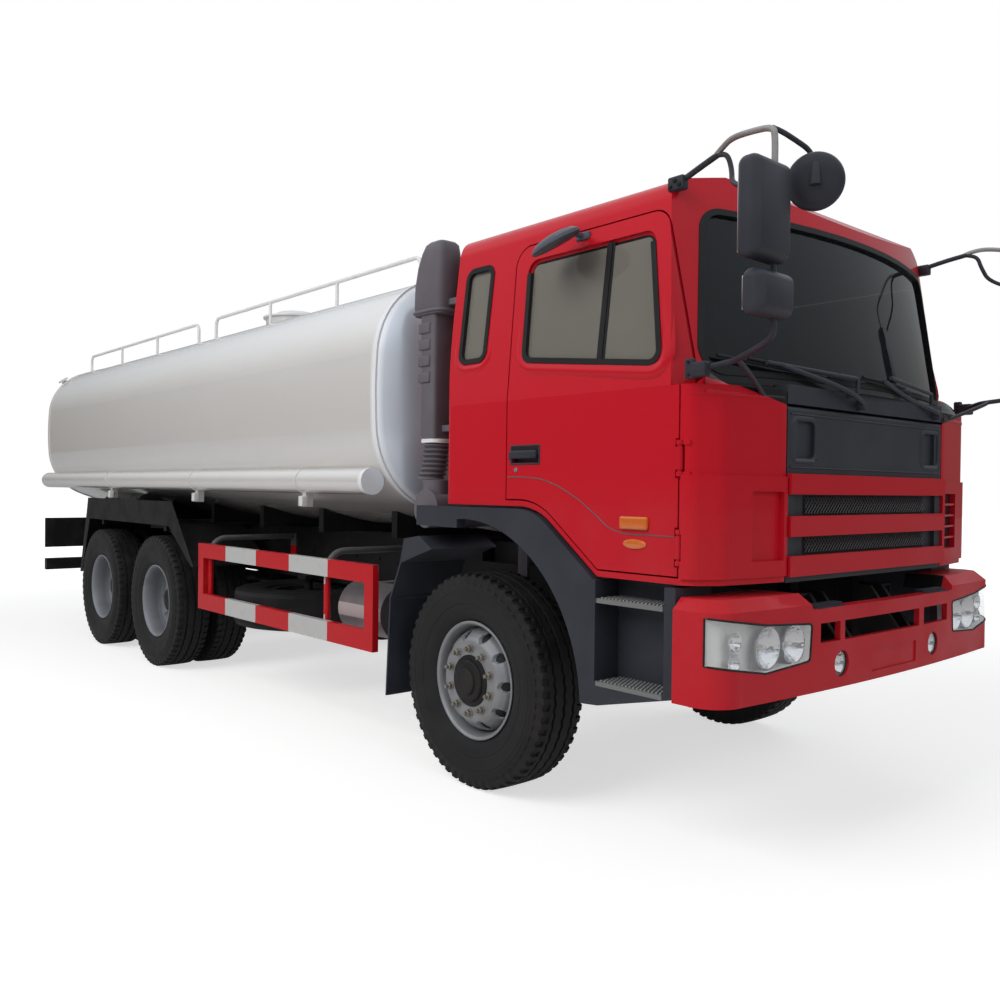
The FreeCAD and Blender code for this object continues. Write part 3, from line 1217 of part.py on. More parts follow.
def tread_seats():
    """Room for the two treads."""
    return [block(TREAD_REAR_X, TREAD_FRONT_X, ARCH_OUTER_Y - TREAD_DEPTH, ARCH_OUTER_Y + OVERRUN,
                  z - TREAD_THICKNESS, z) for z in TREAD_HEIGHTS]


def cab_steps():
    """Two flat treads on each side."""
    treads = [block(TREAD_REAR_X + SEAT_GAP, TREAD_FRONT_X - SEAT_GAP, ARCH_OUTER_Y - TREAD_DEPTH + SEAT_GAP, ARCH_OUTER_Y,
                    z - TREAD_THICKNESS + SEAT_GAP, z) for z in TREAD_HEIGHTS]
    return Part.Compound(treads + [mirrored(tread) for tread in treads])


def wheel_guard():
    """Left guard with its cap behind the front wheel, on a stay from the frame."""
    back = [(x - GUARD_WALL, z) for x, z in reversed(GUARD_SHEET)]
    sheet = side_prism(GUARD_CAP + GUARD_SHEET + tuple(back), 0, GUARD_INNER_Y, ARCH_OUTER_Y - ARCH_WALL)
    x = GUARD_SHEET[1][0] - GUARD_WALL
    z = GUARD_SHEET[1][1]
    stay = rod(V(x, RAIL_FACE_Y, z), V(x, ARCH_OUTER_Y - GUARD_WALL * 4, z), GUARD_WALL * 1.5)
    return fused([sheet, stay])


def arch_stay():
    """Bracket from the frame that carries the left step box."""
    return block(ARCH_FRONT_X, ARCH_FRONT_X + STAY_WIDTH, RAIL_FACE_Y, ARCH_OUTER_Y - STEP_DEPTH + STEP_WALL,
                 FRAME_TOP - RAIL_HEIGHT / 2, FRAME_TOP - RAIL_HEIGHT / 3)


def lower_mouldings():
    """Arches, step boxes, guards behind the front wheels and the bumper's step pads."""
    side = fused([arch_side(), arch_stay()])
    guard = wheel_guard()
    front = BUMPER_FRONT_X - PAD_EDGE
    pad = block(front - PAD_DEPTH, front, PAD_Y - PAD_WIDTH / 2, PAD_Y + PAD_WIDTH / 2, BUMPER_BAR_TOP + SEAT_GAP,
                BUMPER_BAR_TOP + PAD_THICKNESS)
    left = [side, guard, pad]
    return Part.Compound(left + [mirrored(shape) for shape in left])


def exhaust():
    """Silencer drum on the right side with its inlet pipe and straps."""
    y, z = -SILENCER_Y, SILENCER_Z
    drum = rod(V(SILENCER_X, y, z), V(SILENCER_X + SILENCER_LENGTH, y, z), SILENCER_RADIUS)
    front = SILENCER_X + SILENCER_LENGTH
    pipe = tube([V(front - OVERRUN, y, z), V(front + PIPE_RADIUS * 2.05, y, z), V(front + PIPE_RADIUS * 2.05, -RAIL_FACE_Y - MOVING_GAP, z)],
                PIPE_RADIUS, PIPE_RADIUS * 2)
    strap = block(SILENCER_X + SILENCER_LENGTH / 3, SILENCER_X + SILENCER_LENGTH / 3 + RAIL_FLANGE, y, -RAIL_FACE_Y,
                  z, z + SILENCER_RADIUS)
    return fused([drum, pipe, strap])


def spare_wheel():
    """Spare wheel lying flat beside the frame's right rail, held by a post and an arm."""
    rim = fused([rim_barrel(), rim_disc(FRONT_DISC_Y)])
    wheel = [tyre_ring(), rim]
    for shape in wheel:
        shape.rotate(ORIGIN, AXIS_X, 90)
    centre = V(SPARE_X, -SPARE_Y, SPARE_Z)
    seat = centre + V(0, 0, FRONT_DISC_Y - DISC_THICKNESS / 2)
    top = V(SPARE_X, -SPARE_Y, FRAME_TOP - RAIL_HEIGHT + SPARE_ARM_HEIGHT)
    plate = rod(seat, seat + V(0, 0, DISC_THICKNESS * 2), HUB_BORE_RADIUS + RIM_WALL * 3)
    post = rod(seat, top, SPARE_ARM_HEIGHT / 2)
    arm = block(SPARE_X - SPARE_ARM_HEIGHT, SPARE_X + SPARE_ARM_HEIGHT, -SPARE_Y - SPARE_ARM_HEIGHT, -RAIL_FACE_Y,
                top.z - SPARE_ARM_HEIGHT / 2, top.z)
    wheel = [moved(shape, x=centre.x, y=centre.y, z=centre.z) for shape in wheel]
    return Part.Compound([wheel[0], fused([wheel[1], plate, post, arm])])


def fuel_tank():
    """Rounded box tank on the left side, with its straps to the rail."""
    outline = [(FUEL_TANK_INNER_Y, FUEL_TANK_BOTTOM), (FUEL_TANK_OUTER_Y, FUEL_TANK_BOTTOM),
               (FUEL_TANK_OUTER_Y, FUEL_TANK_TOP), (FUEL_TANK_INNER_Y, FUEL_TANK_TOP)]
    body = front_prism(outline, FUEL_TANK_ROUND, FUEL_TANK_REAR_X, FUEL_TANK_FRONT_X)
    span = FUEL_TANK_FRONT_X - FUEL_TANK_REAR_X
    straps = []
    for share in (0.25, 0.75):
        x = FUEL_TANK_REAR_X + share * span
        straps.append(block(x - RAIL_FLANGE / 2, x + RAIL_FLANGE / 2, RAIL_FACE_Y, FUEL_TANK_INNER_Y + FUEL_TANK_ROUND,
                            FRAME_TOP - RAIL_HEIGHT, FUEL_TANK_TOP - FUEL_TANK_ROUND))
    return fused([body] + straps)


def engine_block():
    """One plain block at the engine's and gearbox's place."""
    return block(ENGINE_REAR_X, ENGINE_FRONT_X, -ENGINE_HALF_WIDTH, ENGINE_HALF_WIDTH, ENGINE_BOTTOM, ENGINE_TOP)


# Cab

def cab_side_outline():
    """Cab seen from the side: flat rear, arched roof, sloping front edge and stepped sill."""
    rear = CAB_REAR_X - CAB_WALL * 2
    front = SCREEN_CENTRE_X + CAB_WALL * 2
    return [(rear, CAB_BOTTOM_REAR), (rear, CAB_ROOF - CAB_ROOF_DROP), (CAB_ROOF_CREST_X, CAB_ROOF),
            (CAB_BROW_X, CAB_ROOF - CAB_BROW_DROP), (CAB_BROW_FRONT_X, CAB_BROW_FRONT_Z), (front, CAB_BROW_FRONT_Z - CAB_WALL),
            (front, CAB_BOTTOM_FRONT), (CAB_ARCH_FRONT_X, CAB_BOTTOM_FRONT), (CAB_ARCH_REAR_X, CAB_BOTTOM_REAR)]


def cab_front_outline():
    """Cab seen from the front: upright sides that lean in above the waist, crowned roof."""
    spread = CAB_WALL * 2
    slope = (CAB_ROOF_EDGE_Z - CAB_SHOULDER) / CAB_LEAN
    half = [(CAB_SIDE_Y + spread, CAB_BOTTOM_FRONT - spread), (CAB_SIDE_Y + spread, CAB_SHOULDER - spread * slope),
            (CAB_SIDE_Y - CAB_LEAN, CAB_ROOF_EDGE_Z), (CAB_ROOF_EDGE_Y, CAB_ROOF_EDGE_Z + CAB_EDGE_RISE),
            (CAB_CROWN_Y, CAB_ROOF + CAB_CROWN_RISE)]
    return half + [(-y, z) for y, z in reversed(half)]


def inset_prism(face, direction, inset):
    """A face carried along direction, its outline drawn in by inset."""
    if inset != 0:
        face = face.makeOffset2D(-inset)
    return face.extrude(direction)


def cab_plan_face(centre_x, corner_x, middle, rear_x, z):
    """Cab seen from above: bowed front with the rear end at rear_x."""
    my, mx = middle
    bow = Part.Arc(V(corner_x, -CAB_SIDE_Y, z), V(centre_x, 0, z), V(corner_x, CAB_SIDE_Y, z)).toShape()
    if mx is not None:
        right = Part.Arc(V(corner_x, -CAB_SIDE_Y, z), V(mx, -my, z), V(centre_x, 0, z)).toShape()
        left = Part.Arc(V(centre_x, 0, z), V(mx, my, z), V(corner_x, CAB_SIDE_Y, z)).toShape()
        bow = [right, left]
    else:
        bow = [bow]
    points = [V(corner_x, CAB_SIDE_Y, z), V(rear_x, CAB_SIDE_Y, z), V(rear_x, -CAB_SIDE_Y, z), V(corner_x, -CAB_SIDE_Y, z)]
    return Part.Face(Part.Wire(bow + corner_arcs(points, CAB_CORNER_ROUND, closed=False)))


def cab_low_face(z):
    """Cab seen from above below the waist: flat middle, angled corner panels, rounded corners."""
    half = [(PANEL_CORNER_X, CAB_SIDE_Y), (PANEL_MID_X, PANEL_MID_Y), (CAB_FRONT_X, PANEL_FLAT_Y)]
    points = [V(CAB_REAR_X, -CAB_SIDE_Y, z)] + [V(x, -y, z) for x, y in half]
    points += [V(x, y, z) for x, y in reversed(half)] + [V(CAB_REAR_X, CAB_SIDE_Y, z)]
    panel = PANEL_ROUND
    return rounded_face(points, [CAB_CORNER_ROUND, panel / 2, panel, panel, panel, panel, panel / 2, CAB_CORNER_ROUND])


def cab_block(inset, sill=0):
    """Solid cab shape drawn in by inset on every side, its bottom lowered by sill."""
    outline = [(x, z - sill if z <= CAB_BOTTOM_REAR else z) for x, z in cab_side_outline()]
    side = inset_prism(rounded_face([V(x, -CAB_SIDE_Y * 2, z) for x, z in outline],
                                    [0, 0, CAB_ROOF_ROUND * 8, CAB_ROOF_ROUND * 2, CAB_CORNER_ROUND, 0, 0, 0, CAB_SILL_ROUND]),
                       V(0, CAB_SIDE_Y * 4, 0), inset)
    lowered = [(y, z - sill if z < CAB_BOTTOM_FRONT else z) for y, z in cab_front_outline()]
    edge = CAB_ROOF_ROUND * 0.7
    front = inset_prism(rounded_face([V(CAB_REAR_X * 4, y, z) for y, z in lowered],
                                     [0, 0, edge, edge, CAB_ROOF_ROUND * 2, CAB_ROOF_ROUND * 2, edge, edge, 0, 0]),
                        V(CAB_FRONT_X * 4, 0, 0), inset)
    rise = CAB_ROOF - CAB_SHOULDER
    start = CAB_BOTTOM_FRONT - sill * 2 - CAB_WALL
    low = inset_prism(cab_low_face(start), V(0, 0, CAB_SHOULDER - start), inset)
    high_face = cab_plan_face(SCREEN_CENTRE_X, SCREEN_CORNER_X, (0, None), CAB_REAR_X + SCREEN_RAKE * 1.5, CAB_SHOULDER)
    high = inset_prism(high_face, V(-SCREEN_RAKE, 0, rise), inset)
    tail = inset_prism(rounded_face([V(CAB_REAR_X, -CAB_SIDE_Y, CAB_SHOULDER), V(CAB_REAR_X, CAB_SIDE_Y, CAB_SHOULDER),
                                     V(DOOR_REAR_X, CAB_SIDE_Y, CAB_SHOULDER), V(DOOR_REAR_X, -CAB_SIDE_Y, CAB_SHOULDER)],
                                    [CAB_CORNER_ROUND, CAB_CORNER_ROUND, 0, 0]), V(0, 0, rise), inset)
    return low.fuse([high, tail]).removeSplitter().common(side).common(front)


def door_outline(gap):
    """Door seen from the side, drawn in by gap."""
    points = [V(DOOR_REAR_X, 0, CAB_BOTTOM_REAR), V(DOOR_REAR_X, 0, DOOR_WAIST), V(DOOR_REAR_TOP_X, 0, DOOR_TOP),
              V(DOOR_TOP_FRONT_X, 0, DOOR_TOP), V(DOOR_FRONT_X, 0, DOOR_WAIST), V(DOOR_FRONT_X, 0, DOOR_BOTTOM),
              V(CAB_ARCH_FRONT_X, 0, DOOR_BOTTOM), V(CAB_ARCH_REAR_X, 0, CAB_BOTTOM_REAR + SEAL_WIDTH)]
    points[0] = V(DOOR_REAR_X, 0, CAB_BOTTOM_REAR + SEAL_WIDTH)
    face = rounded_face(points, [0, 0, DOOR_ROUND, DOOR_ROUND, DOOR_ROUND * 4, 0, 0, CAB_SILL_ROUND])
    return face.makeOffset2D(-gap) if gap else face


def door_window_face():
    """Door window opening seen from the side."""
    points = [V(DOOR_WINDOW_REAR_X, 0, DOOR_WINDOW_REAR_BOTTOM), V(DOOR_WINDOW_TOP_REAR_X, 0, DOOR_WINDOW_TOP),
              V(DOOR_WINDOW_TOP_FRONT_X, 0, DOOR_WINDOW_TOP), V(DOOR_WINDOW_FRONT_X, 0, DOOR_WINDOW_FRONT_BOTTOM)]
    return rounded_face(points, WINDOW_ROUND)


def quarter_window_face():
    """Fixed window behind the door, seen from the side."""
    points = [V(QUARTER_REAR_X, 0, QUARTER_BOTTOM), V(QUARTER_REAR_X, 0, QUARTER_TOP), V(QUARTER_FRONT_X, 0, QUARTER_TOP),
              V(QUARTER_FRONT_X, 0, QUARTER_BOTTOM)]
    return rounded_face(points, WINDOW_ROUND)


def screen_face():
    """Windscreen opening seen from the front."""
    points = [V(0, -SCREEN_BOTTOM_Y, SCREEN_BOTTOM), V(0, SCREEN_BOTTOM_Y, SCREEN_BOTTOM),
              V(0, SCREEN_TOP_Y, SCREEN_TOP), V(0, -SCREEN_TOP_Y, SCREEN_TOP)]
    return rounded_face(points, SCREEN_ROUND)


def through_side(face, side):
    """A side-view face carried through one side wall only."""
    start = CAB_SIDE_Y - CAB_LEAN * 2.5
    prism = moved(face, y=start).extrude(V(0, CAB_SIDE_Y, 0))
    return prism if side > 0 else mirrored(prism)


def through_front(face):
    """A front-view face carried through the front wall."""
    return moved(face, x=SCREEN_CORNER_X - SCREEN_RAKE * 2.5).extrude(V(SCREEN_RAKE * 6, 0, 0))


def flap_bay(extra):
    """Space behind the front flap."""
    return block(CAB_FRONT_X - FLAP_BAY_DEPTH - extra, SCREEN_CENTRE_X + OVERRUN, -FLAP_HALF_WIDTH - MOVING_GAP - extra,
                 FLAP_HALF_WIDTH + MOVING_GAP + extra, CAB_BOTTOM_FRONT - OVERRUN, FLAP_TOP + MOVING_GAP + extra)


def cowl_bay(extra):
    """Space for the cowl above the flap."""
    return block(CAB_FRONT_X - FLAP_BAY_DEPTH - extra, SCREEN_CENTRE_X + OVERRUN, -FLAP_HALF_WIDTH - MOVING_GAP - extra,
                 FLAP_HALF_WIDTH + MOVING_GAP + extra, FLAP_TOP - extra, SCREEN_BOTTOM - SEAL_WIDTH + extra)


def corner_panels():
    """Lower corner panels that stand proud of the cab's front corners, and the pocket in each."""
    proud = cab_block(-CORNER_PROUD)
    floor = cab_block(POCKET_DEPTH - CORNER_PROUD)
    panels = []
    pockets = []
    for side in (-1, 1):
        y0, y1 = sorted((side * (FLAP_HALF_WIDTH + MOVING_GAP), side * CAB_SIDE_Y * 2))
        panels.append(proud.common(block(DOOR_FRONT_X + CORNER_EDGE, SCREEN_CENTRE_X, y0, y1, CORNER_BOTTOM, CORNER_TOP)))
        y0, y1 = sorted((side * POCKET_INNER_Y, side * POCKET_OUTER_Y))
        pockets.append(block(DOOR_FRONT_X, SCREEN_CENTRE_X + OVERRUN, y0, y1, POCKET_BOTTOM, POCKET_TOP).cut(floor))
    return panels, pockets


def tilt_arms():
    """Arms from the cab's front sill down to the tilt pin."""
    arms = []
    for side in (-1, 1):
        y0, y1 = sorted((side * (TILT_ARM_Y - TILT_ARM_WIDTH / 2), side * (TILT_ARM_Y + TILT_ARM_WIDTH / 2)))
        half = TILT_ARM_WIDTH / 2
        floor = CAB_BOTTOM_FRONT + CAB_WALL / 2
        outline = [(TILT_KNEE_X - half, floor), (TILT_KNEE_X + half, floor), (TILT_KNEE_X + half, TILT_KNEE_Z + half),
                   (TILT_X, TILT_Z + TILT_EYE_RADIUS * 0.8), (TILT_X, TILT_Z - TILT_EYE_RADIUS * 0.8),
                   (TILT_KNEE_X - half, TILT_KNEE_Z)]
        arm = side_prism(outline, 0, y0, y1)
        eye = rod(V(TILT_X, y0, TILT_Z), V(TILT_X, y1, TILT_Z), TILT_EYE_RADIUS)
        bore = rod(V(TILT_X, y0 - OVERRUN, TILT_Z), V(TILT_X, y1 + OVERRUN, TILT_Z), TILT_PIN_RADIUS + RUNNING_GAP)
        arms.append(fused([arm, eye]).cut(bore))
    return arms


def door_hinges(side):
    """Two hinges at the door's front edge: door barrels, cab pins with lugs, bores and turning room."""
    made = {"barrel": [], "bore": [], "pin": [], "barrel_room": [], "lug_room": []}
    y = side * CAB_SIDE_Y
    y0, y1 = sorted((y, y - side * CAB_WALL))
    half = HINGE_HEIGHT / 2
    reach = half + MOVING_GAP + HINGE_LUG_HEIGHT
    for share in HINGE_SHARES:
        z = DOOR_BOTTOM + share * (DOOR_WAIST - DOOR_BOTTOM)
        drum = upright(DOOR_FRONT_X, y, z - half, z + half, HINGE_BARREL_RADIUS)
        thin0, thin1 = sorted((y, y - side * HINGE_BARREL_RADIUS))
        leaf = block(DOOR_FRONT_X - HINGE_LEAF, DOOR_FRONT_X, thin0, thin1, z - half, z + half)
        made["barrel"].append(drum.fuse(leaf))
        made["bore"].append(upright(DOOR_FRONT_X, y, z - reach, z + reach, HINGE_PIN_RADIUS + RUNNING_GAP))
        made["pin"].append(upright(DOOR_FRONT_X, y, z - reach, z + reach, HINGE_PIN_RADIUS))
        for low in (z - reach, z + half + MOVING_GAP):
            top = low + HINGE_LUG_HEIGHT
            made["pin"].append(upright(DOOR_FRONT_X, y, low, top, HINGE_BARREL_RADIUS))
            made["pin"].append(block(DOOR_FRONT_X, DOOR_FRONT_X + HINGE_LEAF, y0, y1, low, top))
        room = HINGE_BARREL_RADIUS + MOVING_GAP
        made["barrel_room"].append(upright(DOOR_FRONT_X, y, z - half - MOVING_GAP, z + half + MOVING_GAP, room))
        made["lug_room"].append(upright(DOOR_FRONT_X, y, z - reach - MOVING_GAP, z + reach + MOVING_GAP, room))
    return made


def upright(x, y, low, high, radius):
    """Upright cylinder between two heights."""
    return Part.makeCylinder(radius, high - low, V(x, y, low))


def cab_parts(nodes):
    """Shell, glass and seals of the cab, and both doors."""
    outer = cab_block(0)
    inner = cab_block(CAB_WALL)
    skin = cab_block(-SEAL_PROUD)
    seat = cab_block(SEAL_DEPTH)
    glass_out = cab_block(GLASS_DEPTH)
    glass_in = cab_block(GLASS_DEPTH + GLASS_THICKNESS)
    door_skin_back = cab_block(DOOR_SKIN, CAB_WALL * 2)
    door_inner = cab_block(DOOR_THICKNESS, CAB_WALL * 2)
    openings = [through_front(screen_face())]
    seals = []
    panes = []
    for face, carry in ((screen_face(), through_front), (quarter_window_face(), lambda f: through_side(f, 1)),
                        (quarter_window_face(), lambda f: through_side(f, -1))):
        hole = carry(face)
        pane_hole = carry(face.makeOffset2D(-SEAL_WIDTH))
        openings.append(hole)
        seals.append(skin.common(hole).cut([seat, pane_hole]))
        panes.append(glass_out.common(pane_hole).cut(glass_in))
    for side in (1, -1):
        openings.append(through_side(door_outline(0), side))
    room = inner.cut([flap_bay(CAB_WALL / 2), cowl_bay(CAB_WALL / 2)])
    panels, pockets = corner_panels()
    solid = outer.fuse(panels).cut(pockets)
    hinges = {side: door_hinges(side) for side in (1, -1)}
    rooms = hinges[1]["barrel_room"] + hinges[-1]["barrel_room"]
    shell = solid.cut([room, flap_bay(0), cowl_bay(0)] + openings + rooms)
    pins = hinges[1]["pin"] + hinges[-1]["pin"] + flap_pins(FLAP_PIN_RADIUS)
    nodes["cab_shell"] = fused([shell] + tilt_arms() + pins)
    nodes["window_seals"] = Part.Compound(seals)
    nodes["cab_glass"] = Part.Compound(panes)
    for side_name, side in (("left", 1), ("right", -1)):
        window = door_window_face()
        hole = through_side(window, side)
        pane_hole = through_side(window.makeOffset2D(-SEAL_WIDTH), side)
        skin_panel = outer.common(through_side(door_outline(DOOR_GAP), side)).cut(door_skin_back)
        box = outer.common(through_side(door_outline(DOOR_GAP + DOOR_REBATE), side)).cut(door_inner)
        inside = block(CAB_REAR_X, SCREEN_CENTRE_X, -DOOR_INNER_Y, DOOR_INNER_Y, CAB_BOTTOM_FRONT, CAB_ROOF)
        pillar = through_front(screen_face().makeOffset2D(MOVING_GAP))
        panel = skin_panel.fuse(box).cut([hole, inside, pillar] + hinges[side]["lug_room"])
        panel = panel.fuse(hinges[side]["barrel"]).cut(hinges[side]["bore"])
        pocket = handle_pocket(side)
        nodes["door_" + side_name] = panel.cut(pocket)
        nodes["door_glass_" + side_name] = glass_out.common(pane_hole).cut(glass_in)
        seal = skin.common(hole).cut([seat, pane_hole])
        extra = [kerb_mirror()] if side < 0 else []
        nodes["door_fittings_" + side_name] = Part.Compound([seal] + door_fittings(side) + extra)


DOOR_INNER_Y = CAB_SIDE_Y - CAB_LEAN - DOOR_THICKNESS


def handle_pocket(side):
    """Recess behind the door handle."""
    y0, y1 = sorted((side * (CAB_SIDE_Y - HANDLE_DEPTH), side * (CAB_SIDE_Y + OVERRUN)))
    return block(HANDLE_X - HANDLE_LENGTH / 2, HANDLE_X + HANDLE_LENGTH / 2, y0, y1, HANDLE_Z - HANDLE_HEIGHT / 2,
                 HANDLE_Z + HANDLE_HEIGHT / 2)


def door_fittings(side):
    """Handle in its pocket."""
    y0, y1 = sorted((side * (CAB_SIDE_Y - HANDLE_DEPTH), side * CAB_SIDE_Y))
    pull = block(HANDLE_X - HANDLE_LENGTH / 2 + SEAT_GAP, HANDLE_X + HANDLE_LENGTH / 2 - SEAT_GAP, y0 + SEAT_GAP,
                 y1 - SEAT_GAP, HANDLE_Z, HANDLE_Z + HANDLE_HEIGHT / 2 - SEAT_GAP)
    return [pull]


FLAP_HINGE_X = CAB_FRONT_X - FLAP_THICKNESS / 2
FLAP_HINGE_Z = FLAP_TOP - FLAP_THICKNESS / 2


def flap_pins(radius):
    """Pins at both ends of the flap's top edge."""
    pins = []
    for side in (-1, 1):
        inner = V(FLAP_HINGE_X, side * (FLAP_HALF_WIDTH - FLAP_PIN_DEPTH), FLAP_HINGE_Z)
        outer = V(FLAP_HINGE_X, side * (FLAP_HALF_WIDTH + MOVING_GAP + CAB_WALL / 2), FLAP_HINGE_Z)
        pins.append(rod(inner, outer, radius))
    return pins


def flap(nodes):
    """Lifting front panel in black with three coloured slats."""
    x1 = CAB_FRONT_X
    panel = block(x1 - FLAP_THICKNESS, x1, -FLAP_HALF_WIDTH, FLAP_HALF_WIDTH, FLAP_BOTTOM, FLAP_HINGE_Z)
    edge = rod(V(FLAP_HINGE_X, -FLAP_HALF_WIDTH, FLAP_HINGE_Z), V(FLAP_HINGE_X, FLAP_HALF_WIDTH, FLAP_HINGE_Z),
               FLAP_THICKNESS / 2)
    panel = panel.fuse(edge).cut(flap_pins(FLAP_PIN_RADIUS + RUNNING_GAP))
    windows = []
    for top, low in ((SLAT_TOPS[0] - SLAT_HEIGHT, SLAT_TOPS[1]), (SLAT_TOPS[1] - SLAT_HEIGHT, SLAT_TOPS[2])):
        windows.append(block(x1 - MESH_DEPTH, x1 + OVERRUN, -FLAP_HALF_WIDTH + MESH_INSET_Y,
                             FLAP_HALF_WIDTH - MESH_INSET_Y, low, top))
    grips = []
    for y in (-GRIP_Y, GRIP_Y):
        grips.append(block(x1 - GRIP_DEPTH, x1 + OVERRUN, y - GRIP_WIDTH / 2, y + GRIP_WIDTH / 2,
                           GRIP_Z - GRIP_HEIGHT / 2, GRIP_Z + GRIP_HEIGHT / 2))
    nodes["flap_panel"] = panel.cut(windows + grips)
    slats = [block(x1, x1 + SLAT_THICKNESS, -FLAP_HALF_WIDTH, FLAP_HALF_WIDTH, top - SLAT_HEIGHT, top)
             for top in SLAT_TOPS]
    nodes["flap_slats"] = Part.Compound(slats)


def screen_x(y):
    """How far forward the windscreen's foot reaches at y."""
    return SCREEN_CENTRE_X - (SCREEN_CENTRE_X - SCREEN_CORNER_X) * (y / CAB_SIDE_Y) ** 2


def cowl():
    """Black cowl under the windscreen with two wipers."""
    top = SCREEN_BOTTOM - SEAL_WIDTH - SEAT_GAP
    body = block(CAB_FRONT_X - FLAP_BAY_DEPTH + SEAT_GAP, CAB_FRONT_X, -FLAP_HALF_WIDTH, FLAP_HALF_WIDTH,
                 FLAP_TOP + MOVING_GAP, top)
    wipers = []
    low = top - WIPER_LIFT / 2
    for y in WIPER_PIVOTS_Y:
        root_x = screen_x(y) + WIPER_LIFT
        tip_y = y - WIPER_REACH
        points = [V(CAB_FRONT_X - WIPER_LIFT, y, low), V(root_x, y, low), V(root_x, y, SCREEN_BOTTOM + WIPER_LIFT),
                  V(screen_x(tip_y) + WIPER_LIFT, tip_y, SCREEN_BOTTOM + WIPER_LIFT * 2)]
        wipers.append(tube(points, WIPER_RADIUS, WIPER_RADIUS * 1.1))
    return fused([body] + wipers)


def mirror_set(side, with_round):
    """Arms with the main and wide mirrors; the right side also has a round one."""
    roof_foot = V(SCREEN_CORNER_X - SCREEN_RAKE / 4, CAB_ROOF_EDGE_Y - CAB_WALL / 2, CAB_ROOF_EDGE_Z)
    low_foot = V(PANEL_CORNER_X - CAB_WALL * 2, CAB_SIDE_Y - CAB_WALL, MIRROR_FOOT_Z)
    turn = V(MIRROR_X, MIRROR_Y - MIRROR_WIDTH / 2, MIRROR_TOP_Z)
    points = [roof_foot, turn, V(MIRROR_X, MIRROR_Y, MIRROR_TOP_Z - MIRROR_BEND * 2), V(MIRROR_X, MIRROR_Y, MIRROR_LOW_Z),
              low_foot]
    arm = tube(points, MIRROR_ARM_RADIUS, MIRROR_BEND)
    top = MIRROR_TOP_Z - MIRROR_BEND * 4
    shapes = [arm]
    for height in (MIRROR_HEIGHT, WIDE_MIRROR_HEIGHT):
        body = block(MIRROR_X - MIRROR_DEPTH / 2, MIRROR_X + MIRROR_DEPTH / 2, MIRROR_Y - MIRROR_WIDTH / 2,
                     MIRROR_Y + MIRROR_WIDTH / 2, top - height, top)
        shapes.append(body.makeFillet(MIRROR_ROUND, body.Edges))
        top -= height + WIDE_MIRROR_GAP
    if with_round:
        centre = V(ROUND_MIRROR_X, ROUND_MIRROR_Y, ROUND_MIRROR_Z)
        above = centre + V(0, 0, ROUND_MIRROR_RADIUS * 1.7)
        shapes.append(tube([turn, above, centre + V(0, 0, ROUND_MIRROR_RADIUS / 2)], MIRROR_ARM_RADIUS * 0.7, MIRROR_BEND))
        shapes.append(rod(centre - V(ROUND_MIRROR_DEPTH / 2, 0, 0), centre + V(ROUND_MIRROR_DEPTH / 2, 0, 0),
                          ROUND_MIRROR_RADIUS))
    whole = fused(shapes).cut(cab_block(-SEAT_GAP))
    return whole if side > 0 else mirrored(whole)


def kerb_mirror():
    """Small mirror on an arm above the right door's window."""
    x, y, z = KERB_MIRROR_X, KERB_MIRROR_Y, KERB_MIRROR_Z
    body = block(x - KERB_MIRROR_LENGTH / 2, x + KERB_MIRROR_LENGTH / 2, y - KERB_MIRROR_WIDTH / 2,
                 y + KERB_MIRROR_WIDTH / 2, z - KERB_MIRROR_HEIGHT / 2, z + KERB_MIRROR_HEIGHT / 2)
    body = body.makeFillet(MIRROR_ROUND / 2, body.Edges)
    arm = rod(V(x, CAB_SIDE_Y - CAB_LEAN * 1.5, z + KERB_MIRROR_HEIGHT / 4), V(x, y, z + KERB_MIRROR_HEIGHT / 4),
              MIRROR_ARM_RADIUS)
    return mirrored(fused([body, arm]).cut(cab_block(-SEAT_GAP)))


def cab_interior():
    """Seats, dashboard and steering column."""
    parts = []
    outside = cab_block_room()
    for y in (-SEAT_Y, SEAT_Y):
        low = SEAT_CUSHION_TOP - SEAT_CUSHION_HEIGHT
        base = block(SEAT_X + SEAT_LENGTH * 0.2, SEAT_X + SEAT_LENGTH * 0.8, y - SEAT_WIDTH * 0.35, y + SEAT_WIDTH * 0.35,
                     CAB_BOTTOM_FRONT, low)
        cushion = block(SEAT_X, SEAT_X + SEAT_LENGTH, y - SEAT_WIDTH / 2, y + SEAT_WIDTH / 2, low, SEAT_CUSHION_TOP)
        back = block(SEAT_X - SEAT_BACK_THICKNESS, SEAT_X, y - SEAT_WIDTH / 2, y + SEAT_WIDTH / 2, low,
                     SEAT_CUSHION_TOP + SEAT_BACK_HEIGHT)
        rest = block(SEAT_X - HEADREST_THICKNESS, SEAT_X, y - HEADREST_WIDTH / 2, y + HEADREST_WIDTH / 2,
                     SEAT_CUSHION_TOP + SEAT_BACK_HEIGHT, SEAT_CUSHION_TOP + SEAT_BACK_HEIGHT + HEADREST_HEIGHT)
        parts.append(fused([base, cushion, back, rest]).cut(outside))
    front = CAB_FRONT_X - FLAP_BAY_DEPTH - CAB_WALL - SEAT_GAP
    half = DOOR_INNER_Y - MOVING_GAP * 2
    dash = block(front - DASH_DEPTH, front, -half, half, DASH_BOTTOM, DASH_TOP)
    parts.append(fused([dash, column()]).cut(outside))
    return Part.Compound(parts)


def cab_block_room():
    """Everything outside the cab's inner faces, so that the dashboard stops there."""
    slab = block(CAB_REAR_X, CAB_FRONT_X * 2, -CAB_SIDE_Y * 2, CAB_SIDE_Y * 2, CAB_BOTTOM_FRONT, CAB_ROOF)
    return slab.cut(cab_block(CAB_WALL + SEAT_GAP))


